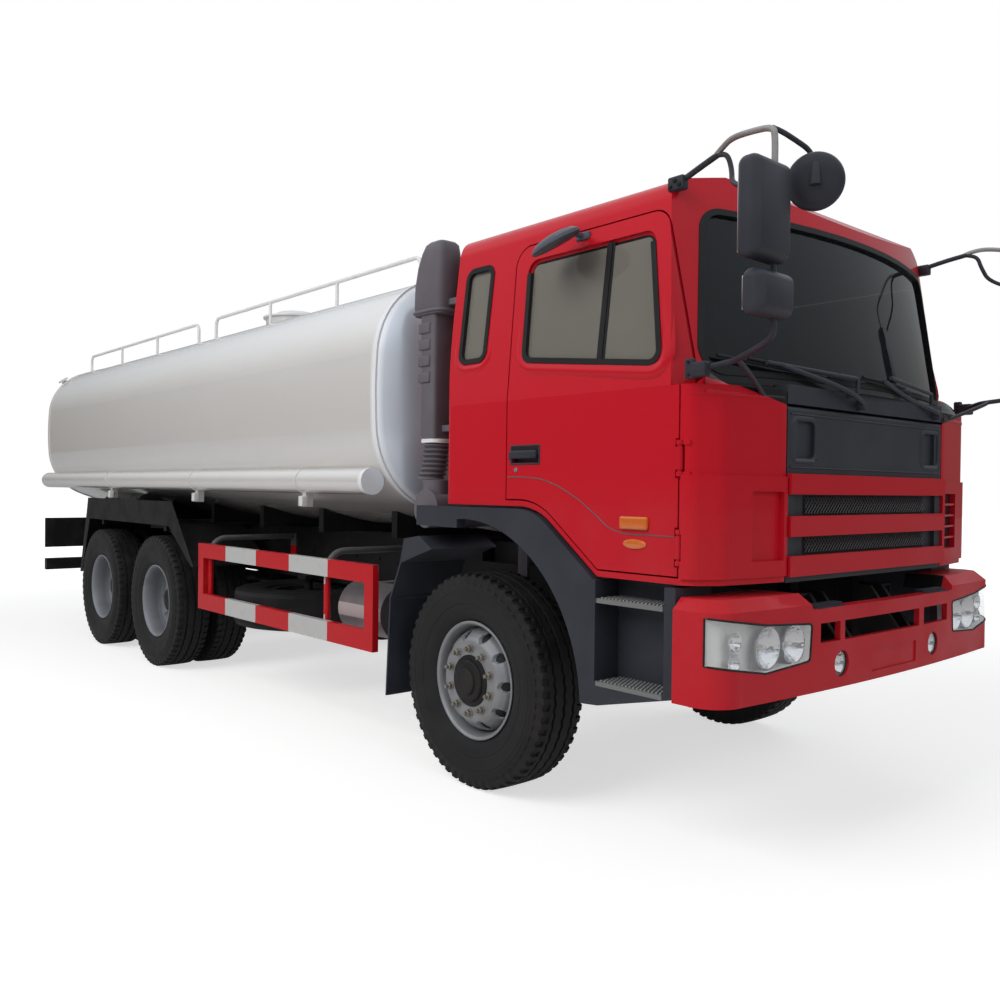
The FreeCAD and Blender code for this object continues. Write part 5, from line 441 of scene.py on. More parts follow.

# %% [markdown]
# The tank is rolled sheet in a silvery white. Its barrel mirrors the yard in long soft bands. Its domed
# front head is painted a darker, bluer grey as painted shade on the end that faces forward, and the rim
# between them is painted paler as a painted highlight. Weld seams run round the barrel every metre and a
# half or so. They could be modelled, but they stand up less than a millimetre, so they are raised in the
# normal only.

# %% Tank coat
def tank_coat(name, front):
    """Silver-white coat: a bluish painted shade ahead of x = front, matt with a paler painted highlight on the rim
    there, weld seams periodic in x.
    """
    # The head's colour is the barrel's coat as painted shade: a darker, bluer grey for the end that faces forward.
    colour, head = (0.80, 0.782, 0.77), (0.66, 0.71, 0.80)
    coat = Finish(name, colour, 0.24, Metallic=0.22, Coat_Weight=0.9, Coat_Roughness=0.05)
    x, _, z = coat.place()
    # The rim's paler colour at the head's edge is a painted highlight on the crest.
    rim = coat.between(x, front - 0.045, front - 0.015) * (1.0 - coat.between(x, front + 0.03, front + 0.06))
    film = coat.noise(1.2, 5.0, (0.4, 1.0, 2.0))
    streak = coat.noise(9.0, 4.0, (1.0, 1.0, 0.05)) * (1.0 - coat.between(z, 1.2, 2.2))
    plain = coat.mix(coat.between(film, 0.45, 0.8) * 0.3, colour, (0.66, 0.64, 0.60))
    plain = coat.mix(streak * 0.12, plain, (0.42, 0.38, 0.33))
    plain = coat.mix(coat.between(x, front, front + 0.002), plain, head)
    coat.set("Base Color", coat.mix(rim * 0.8, plain, (0.88, 0.90, 0.93)))
    coat.set("Coat Weight", 0.9 - rim * 0.9)
    coat.set("Metallic", 0.22 - rim * 0.22)
    coat.set("Roughness", 0.20 + film * 0.10)
    ring = 1.0 - coat.between(coat.zigzag(x, 0.79), 0.0, 0.006)
    coat.bump(ring * 0.8 + coat.noise(2.2, 2.0) * 3.0 + coat.noise(300.0, 1.0) * 0.12, 0.25, 0.0015)
    return coat


head_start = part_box("tank")[1].x - 0.19
silver_white = tank_coat("tank_silver_white", head_start)
dress(silver_white, "tank")
# The hose tubes' forward end caps get the same painted shade and painted highlight.
dress(tank_coat("hose_tube_silver_white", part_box("hose_tubes")[1].x - 0.004), "hose_tubes")
print("tank coat done, head starts at x =", round(head_start, 3))

# %% [markdown]
# Under the bright paint a truck is black three times over: satin frame paint, grained plastic and
# rubber. They differ in how they scatter light. The frame has a thin gloss and brake dust, the
# mouldings a fine leathery grain, and the rubber is matt with a greyish bloom.

# %% Satin paint and grained plastic
def satin_black(name, rough=0.42, dust=0.22):
    """Chassis paint: near black with a brown-grey dust that gathers in soft patches."""
    steel = Finish(name, (0.010, 0.010, 0.011), rough, Specular_IOR_Level=0.25)
    patch = steel.noise(6.0, 6.0)
    grime = steel.between(patch, 0.45, 0.8)
    steel.set("Base Color", steel.mix(grime * dust, (0.010, 0.010, 0.011), (0.060, 0.050, 0.042)))
    steel.set("Roughness", rough + grime * 0.35)
    steel.bump(steel.noise(260.0, 3.0), 0.08, 0.001)
    return steel


def grained_plastic(name, colour, rough, grain=650.0, depth=0.35, dark=None):
    """Moulded plastic: a Voronoi leather grain in the normal, a slow change of gloss, black where `dark` says."""
    plastic = Finish(name, colour, rough, Specular_IOR_Level=0.28)
    spot = plastic.node("ShaderNodeTexCoord", out=3)
    cell = plastic.node("ShaderNodeTexVoronoi", {"feature": "SMOOTH_F1"}, {"Vector": spot, "Scale": grain})
    wear = plastic.noise(4.0, 5.0)
    plastic.set("Roughness", rough + wear * 0.12)
    lighter = tuple(min(1.0, c * 1.5 + 0.01) for c in colour)
    shade = plastic.mix(plastic.between(wear, 0.4, 0.8) * 0.5, colour, lighter)
    plastic.set("Base Color", shade if dark is None else plastic.mix(dark(plastic), shade, (0.003, 0.003, 0.003)))
    plastic.bump(cell, depth, 0.0006)
    return plastic


print("two kinds of black ready")

# %% [markdown]
# Each black gets its own tone, grain and gloss, as they differ on the truck: the axles are dusty, the
# bumper's mouldings and the flap a bluish black that is partly a painted reflection of the sky, and the
# air duct greyer. The flap's panel is one solid, so the sunk sheet behind the grille's wires is told by
# its place and made nearly black: painted shade for the dark engine bay seen through the wires.

# %% Blacks and greys in place
def shade_behind_wires(plastic):
    """The sunk sheet behind the grille's wires, painted near black as shade: x below 1.4745 m, z below 1.5 m and 0.56
    m either side.
    """
    x, y, z = plastic.place()
    return (x < AXLE_X + 1.4745) * (z < 1.5) * (abs(y) < 0.56)


frame_black = satin_black("frame_satin_black")
axle_black = satin_black("axle_dusty_black", 0.5, 0.35)
guard_black = satin_black("rear_guard_black", 0.5, 0.02)
# The moulding's bluish black, like the flap's below, is partly a painted reflection of the sky.
moulding = grained_plastic("moulding_grained_black", (0.032, 0.035, 0.046), 0.40)
mirror_shell = grained_plastic("mirror_grained_black", (0.030, 0.031, 0.040), 0.36, 500.0, 0.2)
duct_plastic = grained_plastic("duct_grained_black", (0.125, 0.114, 0.130), 0.42, 420.0, 0.3)
trim_grey = grained_plastic("interior_grained_grey", (0.060, 0.060, 0.066), 0.6, 480.0, 0.05)
rubber = grained_plastic("seal_rubber", (0.012, 0.012, 0.013), 0.5, 900.0, 0.12)
dress(frame_black, "chassis_frame", "engine_block")
dress(guard_black, "mudguards")
dress(axle_black, "front_axle", "rear_axles", "knuckle_left", "knuckle_right", "tie_rod")
dress(moulding, "lower_mouldings", "cowl")
# The near black behind the grille's wires is painted shade for the dark engine bay.
dress(grained_plastic("flap_grained_black", (0.030, 0.033, 0.041), 0.40, dark=shade_behind_wires), "flap_panel")
dress(mirror_shell, "mirrors")
dress(duct_plastic, "snorkel", "air_intake")
dress(trim_grey, "cab_interior", "steering_wheel")
dress(rubber, "window_seals", "door_fittings_left", "door_fittings_right")
print("blacks and greys done")

# %% [markdown]
# Bright metal comes in four kinds here: silver-painted wheels, galvanised handrails, rolled aluminium
# steps and tanks, and the heat-stained silencer. Brushed metal is shown by stretching noise along
# one axis, which is what a brush or a roller leaves behind.

# %% Bright metals
def brushed(name, colour, rough, stretch, metallic=1.0, stain=(0.25, 0.23, 0.21), amount=0.2, other=None):
    """Metal with lines along the axis that is stretched least, stains in patches, and another colour by mask."""
    metal = Finish(name, colour, rough, Metallic=metallic)
    line = metal.noise(60.0, 3.0, stretch)
    patch = metal.between(metal.noise(5.0, 5.0), 0.5, 0.85)
    shade = metal.mix(patch * amount, colour, stain)
    if other is not None:
        mask, second = other(metal)
        shade = metal.mix(mask, shade, second)
        metal.set("Metallic", metallic - mask * metallic)
    metal.set("Base Color", shade)
    metal.set("Roughness", rough + line * 0.16 + patch * 0.15)
    metal.bump(line, 0.10, 0.0008)
    return metal


def pale_end(metal):
    """The silencer's outer end plate is painted a pale grey: more than 1.09 m from the middle."""
    return abs(metal.place()[1]) > 1.090, (0.42, 0.36, 0.37)


rail_zinc = brushed("rail_galvanised", (0.86, 0.87, 0.88), 0.32, (0.2, 6.0, 6.0), 0.12)
step_metal = brushed("step_aluminium", (0.26, 0.26, 0.26), 0.42, (0.3, 9.0, 9.0), 0.6)
fuel_metal = brushed("fuel_tank_aluminium", (0.60, 0.61, 0.62), 0.3, (12.0, 0.5, 0.5))
silencer_metal = brushed("silencer_bare_steel", (0.30, 0.28, 0.30), 0.42, (6.0, 0.5, 0.5), 0.6,
                         (0.14, 0.10, 0.09), 0.5, pale_end)
dress(rail_zinc, "tank_rails", "manhole_lid")
dress(step_metal, "cab_steps")
dress(fuel_metal, "fuel_tank")
dress(silencer_metal, "exhaust")
print("metals done")

# %% [markdown]
# The side guards carry broad red and white bars as a warning to other traffic. The bars are painted,
# not built, so their edges are plain comparisons on the point's X: each boundary flips the colour
# once, and the sum of the flips, odd or even, says which colour shows.

# %% Striped side guards
def striped_guard():
    """Stripes: the count of boundaries behind the point, modulo two, picks white or red."""
    red, white = (0.54, 0.008, 0.014), (0.54, 0.54, 0.54)
    guard = Finish("guard_red_white", red, 0.40, Coat_Weight=0.15, Coat_Roughness=0.1, Specular_IOR_Level=0.15)
    x, y, z = guard.place()
    count = 0.0
    for edge in (-2.798, -2.315, -1.844, -1.355):
        count = (x > edge + AXLE_X) + count
    stripe = guard.node("ShaderNodeMath", {"operation": "MODULO"}, {0: count, 1: 2.0})
    rails = ((z > 0.905) + (z < 0.715)) * (z < 1.072) * (abs(y) > 1.158)
    scuff = guard.between(guard.noise(14.0, 6.0), 0.55, 0.8)
    bar = guard.mix(stripe * rails, red, white)
    hoops = (abs(y) < 1.165) * (z > 1.03)
    bar = guard.mix(hoops, bar, (0.120, 0.120, 0.125))
    guard.set("Base Color", guard.mix(scuff * 0.12, bar, (0.20, 0.18, 0.17)))
    guard.set("Roughness", 0.32 + scuff * 0.3)
    guard.bump(guard.noise(300.0, 2.0), 0.06, 0.001)
    return guard


dress(striped_guard(), "side_guards")
print("guards striped at four boundaries")

# %% [markdown]
# By day a cab looks dark behind its windscreen, and the side panes are smoked a warm grey. Full
# transmission bends the view at each face of a thin pane and lights the cab too brightly, so a pane
# hides a fixed share of what is behind it, and its gloss gives the mirror of the sky. The windscreen's
# near black tint is painted shade for the dark cab behind it.

# %% Glass
def window_glass(name, tint, cover, rough=0.02, side_tint=None):
    """A pane that hides the share `cover` of what lies behind it, and dust adds to that share."""
    glass = Finish(name, tint, rough, IOR=1.52, Specular_IOR_Level=0.3)
    if side_tint is not None:
        glass.set("Base Color", glass.mix(glass.place()[0] < AXLE_X + 0.5, tint, side_tint))
    dust = glass.between(glass.noise(2.5, 5.0, (1.0, 1.0, 0.6)), 0.5, 0.9)
    glass.set("Roughness", rough + dust * 0.05)
    glass.set("Alpha", cover + dust * 0.10)
    return glass


SMOKED = (0.205, 0.190, 0.166)
# The near black windscreen is painted shade for the dark inside of the cab.
screen_glass = window_glass("windscreen_glass", (0.007, 0.010, 0.011), 0.84, side_tint=SMOKED)
side_glass = window_glass("side_window_glass", SMOKED, 0.78)
lens_glass = window_glass("lens_glass", (0.75, 0.76, 0.77), 0.08, 0.03)
dress(screen_glass, "cab_glass")
dress(side_glass, "door_glass_left", "door_glass_right")
print("glass done")

# %% [markdown]
# Truck tyres carry their pattern in the rubber: three wavy grooves round the crown and cut shoulders.
# A bump map fails at the silhouette, where the blocks show most, so the tread is real geometry. The
# grid's own lines follow the zigzag groove walls, which keeps them crisp with few points.

# %% Tread as a grid
TYRE_R, TYRE_W, BEAD_R = 0.5425, 0.293, 0.2992
PITCHES = 56


def tread_grid(centre, groove=0.013, cut_in=0.011, swing=0.028):
    """Tyre: radius from the side profile, less the zigzag grooves and the notches cut in at the shoulders."""
    zig = np.array([0.0, 0.06, 0.25, 0.5, 0.56, 0.75])
    wave = np.array([0.0, 0.06, 0.25, 0.5, 0.44, 0.25]) * 4 - 1
    cut = np.array([0.0, 1.0, 1.0, 1.0, 0.0, 0.0])
    turn = ((np.arange(PITCHES)[:, None] + zig[None]) / PITCHES * 2 * np.pi).ravel()
    wave, cut = np.tile(wave, PITCHES), np.tile(cut, PITCHES)
    half = TYRE_W / 2
    side = [(BEAD_R, 0.70), (0.315, 0.80), (0.345, 0.90), (0.352, 0.915), (0.362, 0.925), (0.378, 0.947),
            (0.380, 0.938), (0.385, 0.943), (0.387, 0.958), (0.40, 0.975), (0.43, 1.0), (0.444, 0.997),
            (0.446, 0.985), (0.452, 0.984), (0.454, 0.992), (0.462, 0.990), (0.464, 0.974), (0.488, 0.94),
            (0.492, 0.92), (0.512, 0.905), (0.5345, 0.875)]
    rows = [(r, s, 0.0, 1.0 if r > 0.49 else 0.0, 0.0) for r, s in side]
    for s, sunk, notch in ((0.80, 0, 1), (0.62, 0, 1), (0.60, 0, 0), (0.47, 0, 0), (0.45, 1, 0), (0.385, 1, 0),
                           (0.365, 0, 0), (0.06, 0, 0), (0.04, 1, 0)):
        rows.append((TYRE_R - 0.004 * s * s, s, 1.0, float(notch), float(sunk)))
    rows = rows + [(r, -s, z, n, g) for r, s, z, n, g in rows[::-1]]
    r, s, zigzag, notch, sunk = (np.array(k)[:, None] for k in zip(*rows))
    shift = swing * zigzag * wave * (1 - notch)
    y = half * (s + shift)
    radius = r - groove * sunk - cut_in * notch * cut * np.sign(1 - sunk)
    grid = np.stack([radius * np.cos(turn), y + 0 * turn, radius * np.sin(turn)], -1)
    return sheet(grid + np.array(centre, float), wrap_cols=True)


def closed_tyre(centre):
    """The treaded outside with an inner wall from bead to bead, so that the rubber is a closed shell."""
    outside = tread_grid(centre)[0]
    first, last = outside[0], outside[-1]
    axis = np.array(centre, float)
    inner = []
    for row in (last, (last + first) / 2, first):
        radial = (row - axis) * np.array([1, 0, 1])
        inner.append(row - radial * 0.035)
    return sheet(np.concatenate([outside, np.array(inner)]), wrap_rows=True, wrap_cols=True)


print("tread grid ready:", PITCHES, "pitches round a tyre")

# %% [markdown]
# Rubber is never quite black: dust and age turn the side wall grey in patches. The ten tyres could be
# copies of one, but each piece rides on its own body here, so a pair of twins is one piece and turns
# with its axle's side.

# %% Treaded tyres
def tyre_rubber():
    """Rubber: dark and matt, with a pale dust on the side wall that fades toward the tread."""
    rubber_coat = Finish("tyre_rubber", (0.018, 0.018, 0.019), 0.62, Specular_IOR_Level=0.3)
    patch = rubber_coat.noise(7.0, 6.0)
    dust = rubber_coat.between(patch, 0.42, 0.8)
    rubber_coat.set("Base Color", rubber_coat.mix(dust * 0.35, (0.012, 0.012, 0.013), (0.060, 0.052, 0.046)))
    rubber_coat.set("Roughness", 0.55 + dust * 0.3)
    rubber_coat.bump(rubber_coat.noise(500.0, 3.0), 0.15, 0.0008)
    return rubber_coat


black_rubber = tyre_rubber()
dress(black_rubber, "spare_wheel")
MID_X, REAR_X = -4.10, -5.45
WHEELS = {"front_left": (0.0, (1.040,)), "front_right": (0.0, (-1.040,)),
          "mid_left": (MID_X, (0.763, 1.103)), "mid_right": (MID_X, (-0.763, -1.103)),
          "rear_left": (REAR_X, (0.763, 1.103)), "rear_right": (REAR_X, (-0.763, -1.103))}


def wheel_body(place):
    """The body that turns: a front wheel alone, or a pair of twins."""
    return ("wheel_" if "front" in place else "wheels_") + place


for place, (x, sides) in WHEELS.items():
    twin = "front" not in place
    tyre = piece("treaded_tyre_" + place, [closed_tyre(at(x, y, TYRE_R)) for y in sides], black_rubber,
                 wheel_body(place), corner=32)
    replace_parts(tyre, ("tyres_" if twin else "tyre_") + place)
print("ten treaded tyres on six bodies")

# %% [markdown]
# A truck wheel is two rolled parts: a well that carries the tyre, with rounded lips, and a disc welded
# into it, bulging outwards at the front axle and dished inwards at the rear. Both are plain profiles
# spun about the axle. The ten hand holes are pressed: the disc's grid is pushed in where a point lies
# inside a hole, which keeps one smooth skin.

# %% Rim wells and discs
def well(place, out):
    """Closed profile of the rim's well and lips, spun about the axle."""
    outside = [(0.2985, 0.1145), (0.2985, 0.107), (0.2900, 0.1000), (0.2830, 0.085), (0.2815, -0.085),
               (0.2900, -0.1000), (0.2985, -0.107), (0.2985, -0.1145)]
    inside = [(0.2920, -0.1170), (0.2840, -0.1100), (0.2770, -0.095), (0.2690, -0.055), (0.2640, 0.0),
              (0.2670, 0.055), (0.2730, 0.088), (0.2800, 0.106), (0.2860, 0.1145), (0.2925, 0.1170)]
    return spun(turned(outside + inside, out), at(*place), "y", 72, closed=True)


def pressed_disc(place, out, profile, hole_r, depth=0.020, sides=280, rows=46, hole_radius=0.027, holes=10):
    """Disc: y = profile(r), less depth * smooth step where the point is inside one of the hand holes."""
    r, y = (np.array(k, float) for k in zip(*profile))
    along = np.concatenate([[0.0], np.cumsum(np.hypot(np.diff(r), np.diff(y)))])
    s = np.linspace(0, along[-1], rows)
    r, y = np.interp(s, along, r), np.interp(s, along, y)
    a = np.linspace(0, 2 * np.pi, sides, endpoint=False)
    radius, turn = np.meshgrid(r, a, indexing="ij")
    height = np.repeat(y[:, None], sides, 1)
    step = 2 * np.pi / holes
    off = (turn + step / 2) % step - step / 2
    far = np.hypot(radius * np.sin(off), radius * np.cos(off) - hole_r)
    push = np.clip((hole_radius - far) / 0.006, 0, 1)
    height = height - depth * push * push * (3 - 2 * push)
    x, y0, z = at(*place)
    front, back = (np.stack([x + radius * np.cos(turn), y0 + out * (height - wall), z + radius * np.sin(turn)], -1)
                   for wall in (0.0, 0.012))
    return sheet(np.concatenate([front, back[::-1]]), wrap_rows=True, wrap_cols=True)


print("well and pressed disc ready")

# %% [markdown]
# The bottom of a pressed hole would show the same silver paint, but a real hole is open and dark. So
# the paint turns black inside each hole's circle: painted shade for the dark drum and shadow seen through
# an open hole. The hubs and drums are plain black profiles.

# %% Wheels
FRONT_DISC = [(0.120, 0.118), (0.124, 0.130), (0.190, 0.131), (0.203, 0.128), (0.218, 0.118), (0.238, 0.094),
              (0.254, 0.066), (0.262, 0.040), (0.266, 0.010)]
REAR_DISC = [(0.118, -0.112), (0.122, -0.101), (0.190, -0.100), (0.204, -0.097), (0.226, -0.084), (0.246, -0.060),
             (0.258, -0.030), (0.263, 0.0)]
HUB_FRONT = [(0.060, 0.0), (0.1190, 0.040), (0.1190, 0.120), (0.1300, 0.132), (0.1280, 0.1355), (0.1130, 0.1370),
             (0.1060, 0.139), (0.1040, 0.147), (0.0980, 0.152), (0.0740, 0.154), (0.0680, 0.156), (0.0660, 0.165),
             (0.0600, 0.169), (0.0010, 0.170)]
HUB_REAR = [(0.060, -0.20), (0.1150, -0.150), (0.1150, -0.098), (0.1080, -0.094), (0.1020, -0.060),
            (0.0980, -0.004), (0.0940, 0.006), (0.0600, 0.010), (0.0010, 0.011)]
DRUM = [(0.070, -0.100), (0.200, -0.100), (0.205, -0.095), (0.205, 0.005), (0.200, 0.010), (0.070, 0.012)]
HOLE_R = (0.231, 0.228)


def hand_hole_shade(hole_r):
    """Mask of the hand holes, by the distance to the nearest hole's middle, and the near black painted in them as
    shade.
    """
    def mask(metal):
        """The angle and radius about the nearest axle give the distance along and across the hole's own ray.
        Each comparison moves x from the rear axle to the next one."""
        x, _, z = metal.place()
        x = x - AXLE_X
        x = x - REAR_X - (x > (MID_X + REAR_X) / 2) * (MID_X - REAR_X) - (x > MID_X / 2) * -MID_X
        z = z - TYRE_R
        turn = metal.node("ShaderNodeMath", {"operation": "ARCTAN2"}, {0: z, 1: x})
        off = metal.zigzag(turn, math.pi / 10)
        radius = (x * x + z * z) ** 0.5
        across = radius * metal.sine(off)
        along = radius * metal.sine(off + math.pi / 2) - hole_r
        # Near black inside each hole: painted shade where an open hole would show the dark behind.
        return (across * across + along * along) ** 0.5 < 0.0215, (0.004, 0.004, 0.004)
    return mask


wheel_silver = brushed("wheel_silver_paint", (0.33, 0.335, 0.35), 0.34, (1.0, 4.0, 1.0), 0.55,
                       (0.16, 0.15, 0.14), 0.3, hand_hole_shade(HOLE_R[0]))
# The rear wheels' silver is the front's made darker and bluer as painted shade for the deep dished discs; its heavier
# stain is grime.
rear_silver = brushed("rear_wheel_silver_paint", (0.27, 0.28, 0.31), 0.40, (1.0, 4.0, 1.0), 0.40,
                      (0.08, 0.075, 0.07), 0.5, hand_hole_shade(HOLE_R[1]))
hub_black = satin_black("hub_black", 0.38, 0.5)
for place, (x, sides) in WHEELS.items():
    twin = "front" not in place
    inner, outer = sides[0], sides[-1]
    out = 1.0 if outer > 0 else -1.0
    rim = [well((x, y, TYRE_R), out) for y in sides]
    if twin:
        rim.append(pressed_disc((x, outer, TYRE_R), out, REAR_DISC, HOLE_R[1], 0.024))
        rim.append(pressed_disc((x, inner, TYRE_R), -out, REAR_DISC, HOLE_R[1], 0.024, sides=160, rows=36))
    else:
        rim.append(pressed_disc((x, outer, TYRE_R), out, FRONT_DISC, HOLE_R[0]))
    rim = piece("silver_rims_" + place, rim, rear_silver if twin else wheel_silver, wheel_body(place), 40)
    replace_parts(rim, ("rims_" if twin else "rim_") + place)
    drum_y = outer - out * (0.33 if twin else 0.025)
    hub = [spun(turned(HUB_REAR if twin else HUB_FRONT, out), at(x, outer, TYRE_R), "y", 48),
           spun(turned(DRUM, out), at(x, drum_y, TYRE_R), "y", 48)]
    if twin:
        hub.append(spun(turned([(0.1, 0.0), (0.1, -0.30)], out), at(x, outer - 0.08 * out, TYRE_R), "y", 32))
    piece("wheel_hub_" + place, hub, hub_black, wheel_body(place), 30)
print("six wheels with pressed discs and black hubs")

# %% [markdown]
# Each wheel is held by ten nuts on studs. A stranger's eye goes straight to them, so they are real
# small solids: a flanged six-sided nut spun with six sides, and the stud end as a short pin. One nut
# is computed once and set down ten times round the bolt circle.

# %% Wheel nuts
NUT_CIRCLE = 0.1625


def nuts_on(face_y, out, x, count=10):
    """Nut and stud: a hexagonal profile with a washer, at angle 2 pi k / count on the bolt circle."""
    washer = [(0.0215, 0.0), (0.0215, 0.004), (0.018, 0.006)]
    hexagon = [(0.018, 0.003), (0.018, 0.021), (0.014, 0.025), (0.0115, 0.0255)]
    stud = [(0.0105, 0.020), (0.0105, 0.037), (0.009, 0.040)]
    made = []
    for k in range(count):
        a = 2 * np.pi * (k + 0.5) / count
        centre = at(x + NUT_CIRCLE * np.cos(a), face_y, TYRE_R + NUT_CIRCLE * np.sin(a))
        for profile, sides in ((washer, 14), (hexagon, 6), (stud, 10)):
            made.append(spun(turned(profile, out), centre, "y", sides))
    return made


nut_steel = brushed("nut_zinc_steel", (0.36, 0.33, 0.29), 0.40, (1.0, 1.0, 1.0), 0.9, (0.15, 0.09, 0.05), 0.6)
for place, (x, sides) in WHEELS.items():
    out = 1.0 if sides[0] > 0 else -1.0
    face = sides[-1] + out * (0.1305 if "front" in place else -0.1002)
    piece("wheel_nuts_" + place, nuts_on(face, out, x), nut_steel, wheel_body(place))
print("sixty nuts on a circle of", NUT_CIRCLE, "m")

# %% [markdown]
# A headlamp is a box with a clear front: pale grey lining, chrome bowls, bulbs, and a thin outer lens.
# The solid lamp gives the outline, so its own faces are copied and split by where they look: forward
# and outward ones become the lens, the rest the lining.

# %% Faces of a solid
def node_faces(node, keep, shrink=0.0):
    """A mesh of a solid's faces for which keep(centre, normal) holds, drawn in along the normals."""
    source = SOLID[node].data
    work = bmesh.new()
    work.from_mesh(source)
    bmesh.ops.remove_doubles(work, verts=work.verts, dist=1e-6)
    work.normal_update()
    gone = [f for f in work.faces if not keep(f.calc_center_median(), f.normal)]
    bmesh.ops.delete(work, geom=gone, context="FACES")
    mesh = bpy.data.meshes.new(node + "_part")
    work.to_mesh(mesh)
    work.free()
    points = points_of(mesh)
    normals = np.empty(points.size)
    mesh.vertex_normals.foreach_get("vector", normals)
    mesh.vertices.foreach_set("co", points.ravel() - normals * shrink)
    return mesh


def shell_object(name, mesh, finish, thickness, body="chassis"):
    """An open skin made a closed wall with Solidify, smooth shaded."""
    mesh.shade_smooth()
    mesh.set_sharp_from_angle(angle=math.radians(35))
    mesh.materials.clear()
    mesh.materials.append(finish.material)
    thing = bpy.data.objects.new(name, mesh)
    bpy.context.scene.collection.objects.link(thing)
    wall = thing.modifiers.new("wall", "SOLIDIFY")
    wall.thickness = thickness
    wall.offset = -1.0
    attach(thing, body)
    return thing


print("faces can be copied from a solid")

# %% [markdown]
# The lamps' skins are sorted by a point's place and the way it looks. The tail lamps are plain red
# boxes with fine ribs, and the headlamps get a clear front over a pale lining.

# %% Lamp linings and lenses
FRONT_X = AXLE_X + 1.30
lining_grey = grained_plastic("lamp_lining_grey", (0.86, 0.86, 0.84), 0.3, 300.0, 0.05)
chrome = Finish("reflector_chrome", (0.80, 0.80, 0.82), 0.05, Metallic=1.0)
facet = chrome.noise(48.0, 1.0)
chrome.set("Roughness", 0.03 + facet * 0.05)
chrome.bump(facet, 0.6, 0.006)


def is_front(centre):
    """A headlamp or fog lamp, and not a tail lamp."""
    return centre.x > FRONT_X


def looks_out(centre, normal):
    """A face that looks forward, or outward at the bumper's corners."""
    return normal.x > 0.2 or (abs(centre.y) > 1.0 and normal.y * centre.y > 0.35 * abs(centre.y))


clear = node_faces("lamps", lambda centre, normal: is_front(centre) and looks_out(centre, normal))
lenses = shell_object("headlamp_lenses", clear, lens_glass, 0.003)
lining = node_faces("lamps", lambda centre, normal: is_front(centre) and not looks_out(centre, normal), 0.001)
linings = shell_object("headlamp_linings", lining, lining_grey, 0.002)
rear_red = Finish("rear_lens_red", (0.30, 0.008, 0.008), 0.12, Coat_Weight=1.0, Coat_Roughness=0.03)
rear_red.bump(rear_red.zigzag(rear_red.place()[2], 0.006) * 60.0, 0.25, 0.001)
rear_red.set("Roughness", 0.10 + rear_red.noise(20.0) * 0.08)
shell_object("rear_lamp_boxes", node_faces("lamps", lambda centre, normal: not is_front(centre)), rear_red, 0.003)
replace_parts(linings, "lamps")
print("lamp skins made from the solid lamps")

# %% [markdown]
# A rubber cord seals each lens. Its line is the lens's own open edge, so the edge is walked corner by
# corner into closed loops, and a thin round cord is carried along each loop.

# %% Lens gaskets
def edge_loops(mesh):
    """The edges that only one face uses, walked into closed loops of points."""
    used, ends = np.empty(len(mesh.loops), int), np.empty(len(mesh.edges) * 2, int)
    mesh.loops.foreach_get("edge_index", used)
    mesh.edges.foreach_get("vertices", ends)
    rim = np.bincount(used, minlength=len(mesh.edges)) == 1
    links = {}
    for a, b in ends.reshape(-1, 2)[rim].tolist():
        links.setdefault(a, []).append(b)
        links.setdefault(b, []).append(a)
    points, loops = points_of(mesh), []
    while links:
        start = next(iter(links))
        loop, here = [start], start
        while links.get(here):
            following = links[here].pop()
            links[following].remove(here)
            if not links[here]:
                links.pop(here)
            here = following
            loop.append(here)
        links.pop(here, None)
        loops.append(points[loop])
    return loops


def gasket(loop, radius=0.0045, sides=6):
    """A round cord round a closed loop, with its ring square to the way along."""
    path = loop[:-1]
    along = np.roll(path, -1, 0) - np.roll(path, 1, 0)
    along /= np.linalg.norm(along, axis=1, keepdims=True)
    side = np.cross(along, np.array([0.61, 0.47, 0.64]))
    side /= np.linalg.norm(side, axis=1, keepdims=True)
    third = np.cross(along, side)
    a = np.linspace(0, 2 * np.pi, sides, endpoint=False)
    ring = np.cos(a)[None, :, None] * side[:, None] + np.sin(a)[None, :, None] * third[:, None]
    return sheet(path[:, None] + radius * ring, wrap_rows=True, wrap_cols=True)


cords = [gasket(loop) for loop in edge_loops(lenses.data) if len(loop) > 6]
piece("headlamp_gaskets", cords, rubber, "chassis", 60)
print(len(cords), "gaskets")

# %% [markdown]
# A reflector is a parabola, which sends light from its focus straight ahead. Its profile is spun about
# X with a rolled rim, and a small frosted bulb stands in it. How far back it sits is measured from the
# lens by a line shot at the lamp.

# %% Reflector bowls
def bowl(depth, radius, wall=0.002, steps=12):
    """Parabola: along = depth * (r / radius)^2 from the back, with a rolled rim and a back wall."""
    r = np.linspace(0.004, radius, steps)
    inner = [(a, depth * (a / radius) ** 2) for a in r]
    return inner + [(radius + 0.004, depth + 0.001), (radius + 0.004, depth - 0.004)] + [
        (a + wall, depth * (a / radius) ** 2 - wall * 2) for a in r[::-1]]


def bulb(radius, length):
    """Bulb: a cylinder that ends in half an ellipse, radius * cos t."""
    tip = [(radius * np.cos(t) + 1e-4, length * (0.55 + 0.45 * np.sin(t))) for t in np.linspace(0, np.pi / 2, 7)]
    return [(radius * 0.7, 0.0), (radius, length * 0.15)] + tip


